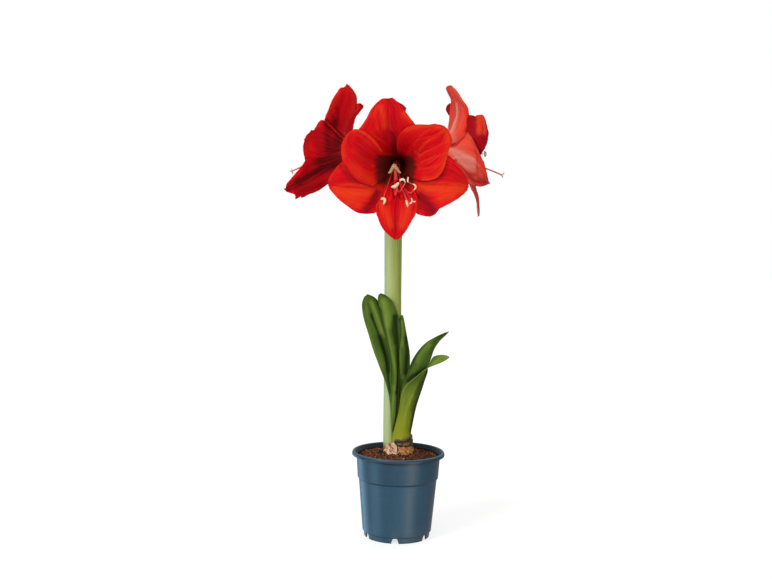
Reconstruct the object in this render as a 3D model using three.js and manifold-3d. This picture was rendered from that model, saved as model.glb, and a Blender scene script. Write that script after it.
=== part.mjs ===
// Flowering amaryllis (Hippeastrum) in a nursery pot. Millimetres, +Z up.
// Origin: the centre of the overall footprint, on the plane the pot stands on.
import * as THREE from 'three';
import { mergeVertices } from 'three/addons/utils/BufferGeometryUtils.js';
import Module from 'manifold-3d';

// ---------------------------------------------------------------- driving dimensions
const POT_X = 11.2;              // pot axis, from the origin
const POT_Y = 7.6;
const POT_HEIGHT = 112;
const RIM_R = 60.7;              // 12 cm pot, measured over the lip
const RIM_LIP = 5.0;             // height of the turned-down lip
const STEP_Z = 77;               // stacking step in the wall
const FOOT_Z = 7;                // height of the foot ring
const WALL = 1.5;
const NOTCHES = 6;               // drainage notches in the foot ring
const NOTCH_PHASE = -93.5;       // degrees
const SOIL_EDGE_Z = 105.2;
const SOIL_MOUND_Z = 113.2;
const GAP = 0.35;                // clearance between touching pieces
const BULB_TOP_Z = 121;
const BULB_R = 33;
const NECK_R = 17.4;
const SCAPE_FOOT_Z = 104;
const SCAPE_TOP_Z = 440;
const SCAPE_R = 11.4;
const PEDICEL_Z = 440.7;        // where the three flower stalks begin
const LEAF_T = 1.5;              // leaf thickness
const PETAL_T = 0.9;             // tepal thickness
const WHORL_GAP = 3.6;           // distance between the inner and outer whorl

const wasm = await Module();
wasm.setup();
const root = new THREE.Group();
root.name = 'amaryllis_in_pot';

// ---------------------------------------------------------------- materials
const std = (color, roughness) => new THREE.MeshStandardMaterial({ color, roughness, metalness: 0 });
const M = {
  pot: () => std(0x3c5468, 0.5),
  soil: () => std(0x4a2b1c, 0.95),
  bulb: () => std(0xb98a5c, 0.7),
  tunic: () => std(0x5a4a2a, 0.85),
  scape: () => std(0xa9bb78, 0.5),
  leaf: () => std(0x4d7a22, 0.45),
  petal: () => std(0xd4140f, 0.5),
  stalk: () => std(0x8fa84e, 0.5),
  stamen: () => std(0xd98a6a, 0.55),
  pistil: () => std(0xe0808a, 0.5),
  spathe: () => std(0xa88a5e, 0.8),
};

// ---------------------------------------------------------------- helpers
const geo = (pos, idx) => {
  const g = new THREE.BufferGeometry();
  g.setAttribute('position', new THREE.Float32BufferAttribute(pos, 3));
  g.setIndex(idx);
  return g;
};
const volume = (g) => {
  const p = g.attributes.position, i = g.index.array;
  const a = new THREE.Vector3(), b = new THREE.Vector3(), c = new THREE.Vector3();
  let v = 0;
  for (let k = 0; k < i.length; k += 3) {
    a.fromBufferAttribute(p, i[k]); b.fromBufferAttribute(p, i[k + 1]); c.fromBufferAttribute(p, i[k + 2]);
    v += a.dot(b.cross(c)) / 6;
  }
  return v;
};
const outward = (g) => {
  if (volume(g) < 0) {
    const i = g.index.array;
    for (let k = 0; k < i.length; k += 3) [i[k + 1], i[k + 2]] = [i[k + 2], i[k + 1]];
  }
  return g;
};
const clean = (g) => {
  g = g.clone();
  g.deleteAttribute('normal');
  g.deleteAttribute('uv');
  return mergeVertices(g.index ? g : g, 1e-3);
};
const dropFlat = (g) => {
  const i = g.index.array, out = [];
  for (let k = 0; k < i.length; k += 3)
    if (i[k] !== i[k + 1] && i[k + 1] !== i[k + 2] && i[k] !== i[k + 2]) out.push(i[k], i[k + 1], i[k + 2]);
  g.setIndex(out);
  return g;
};
const solid = (g) => {
  g = outward(dropFlat(clean(g)));
  return new wasm.Manifold(new wasm.Mesh({
    numProp: 3,
    vertProperties: new Float32Array(g.attributes.position.array),
    triVerts: new Uint32Array(g.index.array),
  }));
};
const fromSolid = (m) => {
  const r = m.getMesh();
  return geo(Array.from(r.vertProperties), Array.from(r.triVerts));
};
const add = (name, g, material) => {
  const mesh = new THREE.Mesh(outward(dropFlat(clean(g))), material);
  mesh.name = name;
  mesh.geometry.computeVertexNormals();
  mesh.position.set(POT_X, POT_Y, 0);
  root.add(mesh);
};
const V = (x, y, z) => new THREE.Vector3(x, y, z);
const smooth = (a, b, x) => {
  const t = Math.min(1, Math.max(0, (x - a) / (b - a)));
  return t * t * (3 - 2 * t);
};

// rows of a table read as a Catmull-Rom curve
function curveRow(rows, x) {
  const k = rows.length, j = Math.min(Math.floor(x), k - 2), f = x - j, n = rows[0].length, o = [];
  for (let c = 0; c < n; c++) {
    const p1 = rows[j][c], p2 = rows[j + 1][c];
    const p0 = j > 0 ? rows[j - 1][c] : 2 * p1 - p2;
    const p3 = j + 2 < k ? rows[j + 2][c] : 2 * p2 - p1;
    o.push(0.5 * (2 * p1 + (p2 - p0) * f + (2 * p0 - 5 * p1 + 4 * p2 - p3) * f * f + (3 * p1 - p0 - 3 * p2 + p3) * f ** 3));
  }
  return o;
}
const curveRows = (rows, n) => Array.from({ length: n }, (_, i) => curveRow(rows, (i / (n - 1)) * (rows.length - 1)));

// a closed thin solid on both sides of a grid of points
function sheet(grid, thick) {
  const n = grid.length, m = grid[0].length, pos = [], idx = [];
  const normal = (i, j) => {
    const a = grid[Math.max(i - 1, 0)][j], b = grid[Math.min(i + 1, n - 1)][j];
    const c = grid[i][Math.max(j - 1, 0)], d = grid[i][Math.min(j + 1, m - 1)];
    return b.clone().sub(a).cross(d.clone().sub(c)).normalize();
  };
  for (const s of [1, -1])
    for (let i = 0; i < n; i++)
      for (let j = 0; j < m; j++) {
        const p = grid[i][j].clone().addScaledVector(normal(i, j), (s * thick) / 2);
        pos.push(p.x, p.y, p.z);
      }
  const T = (i, j) => i * m + j, B = (i, j) => n * m + i * m + j;
  const quad = (a, b, c, d) => idx.push(a, b, c, a, c, d);
  for (let i = 0; i < n - 1; i++)
    for (let j = 0; j < m - 1; j++) {
      quad(T(i, j), T(i + 1, j), T(i + 1, j + 1), T(i, j + 1));
      quad(B(i, j), B(i, j + 1), B(i + 1, j + 1), B(i + 1, j));
    }
  for (let i = 0; i < n - 1; i++) {
    quad(T(i, 0), B(i, 0), B(i + 1, 0), T(i + 1, 0));
    quad(T(i, m - 1), T(i + 1, m - 1), B(i + 1, m - 1), B(i, m - 1));
  }
  for (let j = 0; j < m - 1; j++) {
    quad(T(0, j), T(0, j + 1), B(0, j + 1), B(0, j));
    quad(T(n - 1, j), B(n - 1, j), B(n - 1, j + 1), T(n - 1, j + 1));
  }
  return geo(pos, idx);
}

// rings of given radii along a path, closed by end caps
function rod(path, radii, sides, samples, flat = 1) {
  const rows = curveRows(path.map((p, i) => [...p, radii[i]]), samples);
  const pts = rows.map((r) => V(r[0], r[1], r[2]));
  const pos = [], idx = [];
  let x = null;
  for (let i = 0; i < samples; i++) {
    const t = pts[Math.min(i + 1, samples - 1)].clone().sub(pts[Math.max(i - 1, 0)]).normalize();
    if (!x) x = Math.abs(t.x) < 0.9 ? V(1, 0, 0) : V(0, 1, 0);
    x = x.clone().addScaledVector(t, -x.dot(t)).normalize();
    const y = t.clone().cross(x);
    for (let k = 0; k < sides; k++) {
      const a = (2 * Math.PI * k) / sides;
      const p = pts[i].clone().addScaledVector(x, rows[i][3] * Math.cos(a)).addScaledVector(y, rows[i][3] * flat * Math.sin(a));
      pos.push(p.x, p.y, p.z);
    }
  }
  for (let i = 0; i < samples - 1; i++)
    for (let k = 0; k < sides; k++) {
      const a = i * sides + k, b = i * sides + ((k + 1) % sides), c = a + sides, d = b + sides;
      idx.push(a, b, d, a, d, c);
    }
  const c0 = pos.length / 3;
  pos.push(pts[0].x, pts[0].y, pts[0].z, pts[samples - 1].x, pts[samples - 1].y, pts[samples - 1].z);
  for (let k = 0; k < sides; k++) {
    idx.push(c0, (k + 1) % sides, k);
    const e = (samples - 1) * sides;
    idx.push(c0 + 1, e + k, e + ((k + 1) % sides));
  }
  return geo(pos, idx);
}

// a body of revolution about Z; the profile runs from axis to axis or closes on itself
function turned(profile, segments) {
  const g = new THREE.LatheGeometry(profile.map(([r, z]) => new THREE.Vector2(r, z)), segments);
  g.rotateX(Math.PI / 2);
  return g;
}

// ---------------------------------------------------------------- pot
{
  const top = POT_HEIGHT, lip = top - RIM_LIP;
  const profile = [
    [0, FOOT_Z + 0.2], [41.4, FOOT_Z + 0.2], [41.2, 0], [42.8, 0], [43.5, FOOT_Z], [45.2, FOOT_Z + 0.8],
    [51.3, STEP_Z - 1], [52.9, STEP_Z + 0.6], [55.0, lip + 1.2], [56.6, lip + 2.4], [58.3, lip + 2.4], [58.6, lip],
    [RIM_R, lip], [RIM_R, top - 1.6], [59.4, top], [56.9, top], [55.4, top - 2.5],
    [53.5, lip], [51.3, STEP_Z], [49.8, STEP_Z - 2.4], [43.7, FOOT_Z + 2.4], [42.6, FOOT_Z + 1.8], [0, FOOT_Z + 1.8],
  ];
  let pot = solid(turned(profile, 40));
  for (let k = 0; k < NOTCHES; k++) {
    const s = new THREE.Shape([
      new THREE.Vector2(-5, -1), new THREE.Vector2(5, -1), new THREE.Vector2(3.9, 3.6), new THREE.Vector2(2.6, FOOT_Z - 0.2), new THREE.Vector2(-2.6, FOOT_Z - 0.2), new THREE.Vector2(-3.9, 3.6),
    ]);
    const g = new THREE.ExtrudeGeometry(s, { depth: 12, bevelEnabled: false });
    g.rotateX(Math.PI / 2);           // profile upright, depth along -Y
    g.translate(0, -37, 0);
    g.rotateZ(THREE.MathUtils.degToRad(NOTCH_PHASE + 90 + k * 60));
    pot = pot.subtract(solid(g));
    const hole = new THREE.CylinderGeometry(4, 4, 8, 12);
    hole.rotateX(Math.PI / 2);
    hole.translate(0, -34, FOOT_Z + 1);
    hole.rotateZ(THREE.MathUtils.degToRad(NOTCH_PHASE + 90 + k * 60));
    pot = pot.subtract(solid(hole));
  }
  add('pot', fromSolid(pot), M.pot());
}

// ---------------------------------------------------------------- scape
const SCAPE = [[-8.3, 12.2, SCAPE_FOOT_Z], [-8.5, 12, 122], [-9.8, 11, 200], [-11.6, 8.5, 320], [-13.4, 4, SCAPE_TOP_Z]];
add('scape', rod(SCAPE, [SCAPE_R + 0.4, SCAPE_R + 0.4, SCAPE_R, SCAPE_R - 0.2, SCAPE_R + 0.2], 20, 8), M.scape());
const scapeHole = solid(rod([[-8.3, 12.2, SCAPE_FOOT_Z - GAP], [-8.5, 12, 130]], [SCAPE_R + 0.6 + GAP, SCAPE_R + 0.6 + GAP], 20, 2));

// ---------------------------------------------------------------- bulb, soil, neck tunic
const bulbProfile = (g) => [
  [0, 52 - g], [14 + g, 52 - g], [24 + g, 60 - g], [31 + g, 72], [BULB_R + g, 84], [28.4 + g, 97], [21.4 + g, 108], [NECK_R + 0.4 + g, 113.6],
];
{
  const body = solid(turned([...bulbProfile(0), [NECK_R, 117.8], [NECK_R - 1, BULB_TOP_Z], [0, BULB_TOP_Z]], 28));
  add('bulb', fromSolid(body.subtract(scapeHole)), M.bulb());

  const r = 53.1, z0 = FOOT_Z + 1.8 + GAP;
  const dirt = solid(turned([
    [0, z0], [42.3, z0], [43.3, z0 + 1.2], [49.4, STEP_Z - 2.2], [50.9, STEP_Z + 0.4], [r - 0.2, SOIL_EDGE_Z - 0.4], [48, SOIL_EDGE_Z],
    [38, 106.6], [28, 109.2], [20, SOIL_MOUND_Z - 0.6], [0, SOIL_MOUND_Z],
  ], 36));
  const hole = solid(turned([...bulbProfile(GAP), [NECK_R + 0.4 + GAP, 125], [0, 125]], 28));
  add('soil', fromSolid(dirt.subtract(hole).subtract(scapeHole)), M.soil());

  // dried scale ends standing round the leaf bases, open on the side of the scape
  const cx = 5, cy = -4.5, ax = 13.4, ay = 12.8, n = 15, rows = [];
  for (let i = 0; i < n; i++) {
    const a = THREE.MathUtils.degToRad(-128 + (212 * i) / (n - 1)), c = Math.cos(a), s = Math.sin(a);
    const top = 127.2 + 5.2 * smooth(-0.1, 1, c) + 0.9 * Math.sin(5 * a + 1);
    rows.push([0, 0.5, 1].map((q) => V(cx + (ax + 0.3 - 0.8 * q) * c, cy + (ay + 0.3 - 0.8 * q) * s, BULB_TOP_Z + GAP + q * (top - BULB_TOP_Z))));
  }
  add('neck_tunic', sheet(rows, 1.0), M.tunic());
}

// ---------------------------------------------------------------- leaves
// each row: left edge, centre line, right edge
const LEAVES = {
  leaf_1: [
    [-8.8, -1.7, 121.6, -5.9, -3.5, 121.6, -3.2, -1.7, 121.6],
    [-9.4, -1.6, 131.5, -6.4, -3.5, 131.5, -3.5, -1.6, 131.6],
    [-10.6, -1.9, 152.8, -6.9, -4, 152.8, -3.3, -1.8, 152.9],
    [-11.9, -2.1, 172.6, -7.5, -4.4, 172.7, -3.1, -2, 172.8],
    [-15.3, -2.4, 189.8, -9.7, -4.9, 189.9, -4.1, -2.1, 190],
    [-20.2, -2.7, 205.5, -12.7, -5.4, 205.7, -5.1, -2.3, 205.8],
    [-28, -3, 225.2, -18.1, -5.8, 225.3, -8.2, -2.5, 225.5],
    [-35.4, -3.2, 244.7, -23.6, -6.3, 245, -11.9, -2.7, 245.2],
    [-41.9, -3.5, 264.3, -29.7, -6.7, 264.5, -17.5, -2.9, 264.8],
    [-48.2, -3.8, 283.9, -36, -7.2, 284.1, -23.8, -3.1, 284.3],
    [-51.2, -4.1, 299.5, -39.7, -7.7, 299.7, -28.3, -3.2, 299.9],
    [-50.1, -4.3, 310, -41.2, -8.1, 310.1, -32.4, -3.4, 310.3],
    [-46.6, -4.6, 315.9, -44.3, -8.6, 316, -42, -3.6, 316],
  ],
  leaf_2: [
    [-8.8, -5.5, 121.6, -6.3, -7.5, 121.6, -3.8, -5.5, 121.6],
    [-9.4, -5.5, 132.2, -6.8, -7.6, 132.2, -4.2, -5.5, 132.3],
    [-10.3, -5.9, 153.5, -6.5, -8.1, 153.6, -2.7, -5.8, 153.7],
    [-11, -6.3, 173.4, -6.4, -8.6, 173.4, -1.9, -6.1, 173.5],
    [-11.8, -6.7, 193.1, -6.9, -9.1, 193.2, -1.9, -6.5, 193.3],
    [-12.5, -7.1, 212.9, -7.3, -9.6, 213, -2.1, -6.8, 213.1],
    [-14.2, -7.5, 232.6, -7.9, -10.1, 232.7, -1.6, -7.1, 232.8],
    [-17.9, -8, 252.2, -9.4, -10.5, 252.3, -1, -7.4, 252.5],
    [-21.2, -8.4, 271.8, -11.3, -11, 271.9, -1.4, -7.7, 272.1],
    [-25.8, -8.8, 290, -14.8, -11.5, 290.2, -3.7, -8, 290.4],
    [-28.8, -9.2, 304.3, -19.4, -12, 304.4, -9.9, -8.4, 304.6],
    [-29.9, -9.6, 313.4, -24, -12.5, 313.5, -18.1, -8.7, 313.5],
    [-29, -10, 318.6, -27.6, -13, 318.6, -26.2, -9, 318.6],
  ],
  leaf_3: [
    [1.9, 0.4, 121.6, 4.4, -0.9, 121.6, 6.9, 1.4, 121.6],
    [1.8, 0.6, 133.6, 4.4, -0.8, 133.6, 7, 1.6, 133.5],
    [0.5, 0.4, 159.2, 4.1, -1.2, 159.2, 7.7, 1.4, 159.2],
    [-0.6, 0, 179.1, 4, -1.8, 179.1, 8.6, 1, 179.2],
    [-1.7, -1, 199.1, 4.2, -2.6, 199.1, 10.1, 0.4, 199.1],
    [-3.1, -2, 219, 4.6, -4, 219.1, 12.3, -1, 219.2],
    [-4.5, -2.4, 238.7, 3.9, -5, 238.8, 12.2, -1, 238.9],
    [-4.6, -2.4, 258.4, 2.3, -5, 258.5, 9.2, -1, 258.6],
    [-3.8, -2.4, 275.5, 0.8, -4.5, 275.5, 5.4, -1, 275.6],
    [-1.9, -2.4, 286, 0.6, -3.8, 286, 3.1, -1.6, 286.1],
    [0.2, -2.4, 291.3, 0.9, -2.9, 291.3, 1.7, -2.2, 291.3],
  ],
  leaf_4: [
    [-1.9, -3.3, 121.6, 5.6, -6.1, 121.6, 13.2, -3.3, 121.6],
    [-2.2, -3.2, 133.1, 5.6, -6.2, 133.8, 13.5, -3.2, 134.5],
    [-1.2, -3.4, 147, 6.9, -6.6, 147.8, 15.1, -3.6, 148.5],
    [-0.3, -3.8, 163.9, 7.9, -7.2, 164.1, 16.1, -4.2, 164.3],
    [0.6, -4.6, 182.5, 9.1, -7.8, 180.8, 17.7, -5.2, 179],
    [4.1, -5.2, 199.8, 13.3, -8, 197.4, 22.5, -5.8, 195],
    [9, -5.2, 214.4, 18.2, -8, 211.4, 27.4, -6.2, 208.4],
    [15.2, -5, 232.2, 25, -8, 227, 34.9, -7, 221.8],
    [23.3, -6, 245.6, 31.5, -9, 240.4, 39.7, -9, 235.2],
    [32.8, -8, 256.1, 38, -11, 251.7, 43.3, -11, 247.3],
    [45.5, -11, 264.6, 48.1, -13, 262, 50.6, -13.6, 259.5],
    [61.3, -14.4, 273, 62, -15.2, 272.3, 62.7, -15.2, 271.6],
  ],
  leaf_5: [
    [-7.6, -8.8, 121.6, 3.9, -14.1, 121.6, 15.5, -7.9, 121.6],
    [-8.1, -9, 132.2, 3.9, -14.5, 135, 15.9, -8, 137.7],
    [-5.6, -10, 145.7, 6, -15, 147, 17.6, -9, 148.3],
    [-1.7, -12, 164, 9.4, -16.5, 164.1, 20.5, -10.6, 164.2],
    [1.1, -14, 181.5, 12.9, -18, 182.2, 24.6, -12, 182.9],
    [5.8, -20, 199.5, 18.2, -19, 199.9, 30.6, -13.5, 200.3],
    [18.9, -27, 213.1, 27.3, -22, 214.7, 35.7, -14.5, 216.3],
    [30.8, -31, 223.8, 33.7, -24, 225, 36.6, -15.5, 226.2],
    [40.8, -33, 229.2, 41.3, -27, 234.2, 41.8, -19, 239.1],
    [51.5, -34, 233.7, 51.9, -31, 238.4, 52.3, -26, 243],
    [62, -34, 239.3, 62.2, -33, 240.7, 62.4, -32, 242.1],
  ],
};
function blade(rows, n, m) {
  return curveRows(rows, n).map((r) => {
    const L = V(r[0], r[1], r[2]), C = V(r[3], r[4], r[5]), R = V(r[6], r[7], r[8]);
    return Array.from({ length: m }, (_, j) => {
      const t = -1 + (2 * j) / (m - 1);
      return C.clone().addScaledVector(L.clone().sub(R), t / 2).addScaledVector(L.clone().add(R).multiplyScalar(0.5).sub(C), t * t);
    });
  });
}
for (const [name, rows] of Object.entries(LEAVES)) add(name, sheet(blade(rows, 13, 5), LEAF_T), M.leaf());

// ---------------------------------------------------------------- flowers
// the funnel all tepals follow: distance from the flower's axis against distance along it
const FUNNEL = [[7.0, 12.4], [10, 26], [15, 43], [22, 58], [31, 69.5], [42, 78.5], [55, 85], [70, 88.5], [85, 89], [100, 87]];
const SLOPE = FUNNEL.map((_, i) => {
  const d = (k) => (FUNNEL[k + 1][1] - FUNNEL[k][1]) / (FUNNEL[k + 1][0] - FUNNEL[k][0]);
  const n = FUNNEL.length;
  if (i === 0) return d(0);
  if (i === n - 1) return d(n - 2);
  const h0 = FUNNEL[i][0] - FUNNEL[i - 1][0], h1 = FUNNEL[i + 1][0] - FUNNEL[i][0];
  return (d(i - 1) * h1 + d(i) * h0) / (h0 + h1);
});
function funnel(r) {
  const n = FUNNEL.length;
  if (r < FUNNEL[0][0]) return FUNNEL[0][1] + (r - FUNNEL[0][0]) * SLOPE[0];
  if (r > FUNNEL[n - 1][0]) return FUNNEL[n - 1][1] + (r - FUNNEL[n - 1][0]) * SLOPE[n - 1];
  let j = 0;
  while (j < n - 2 && r > FUNNEL[j + 1][0]) j++;
  const h = FUNNEL[j + 1][0] - FUNNEL[j][0], t = (r - FUNNEL[j][0]) / h, t2 = t * t, t3 = t2 * t;
  return (2 * t3 - 3 * t2 + 1) * FUNNEL[j][1] + (t3 - 2 * t2 + t) * h * SLOPE[j] + (3 * t2 - 2 * t3) * FUNNEL[j + 1][1] + (t3 - t2) * h * SLOPE[j + 1];
}
const funnelSlope = (r) => (funnel(r + 0.05) - funnel(r - 0.05)) / 0.1;

// flower frame: w along the axis out of the mouth, u to the right seen from the front, v up
function frame(origin, dir) {
  const w = V(...dir).normalize();
  const u = V(0, 0, 1).cross(w).normalize();
  const v = w.clone().cross(u);
  const at = (x, y, z) => V(...origin).addScaledVector(u, x).addScaledVector(v, y).addScaledVector(w, z);
  return { u, v, w, at };
}
const place = (f, p) => f.at(...p).toArray();

// rows: distance out, left edge, right edge, depth change at centre, left and right edge
function tepal(f, phi, rows, outer, n, m) {
  const c = Math.cos(THREE.MathUtils.degToRad(phi)), s = Math.sin(THREE.MathUtils.degToRad(phi));
  return curveRows(rows, n).map(([a, bl, br, dc, dl, dr]) =>
    Array.from({ length: m }, (_, j) => {
      const t = -1 + (2 * j) / (m - 1), b = (bl + br) / 2 + ((bl - br) / 2) * t;
      const k = 1 - smooth(14, 45, a), th = Math.min(1.3, Math.max(-1.3, b / a));
      let x = a * (1 - k) + a * Math.cos(th) * k, y = b * (1 - k) + a * Math.sin(th) * k;
      const rho = Math.hypot(x, y), off = outer ? WHORL_GAP * smooth(6.5, 15, rho) : 0;
      const sl = funnelSlope(rho), q = Math.hypot(1, sl);
      const z = funnel(rho) - off / q + dc * (1 - t * t) + (t > 0 ? dl : dr) * t * t;
      const e = (rho + (off * sl) / q) / rho;
      x *= e; y *= e;
      return f.at(x * c - y * s, x * s + y * c, z);
    }));
}

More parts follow.
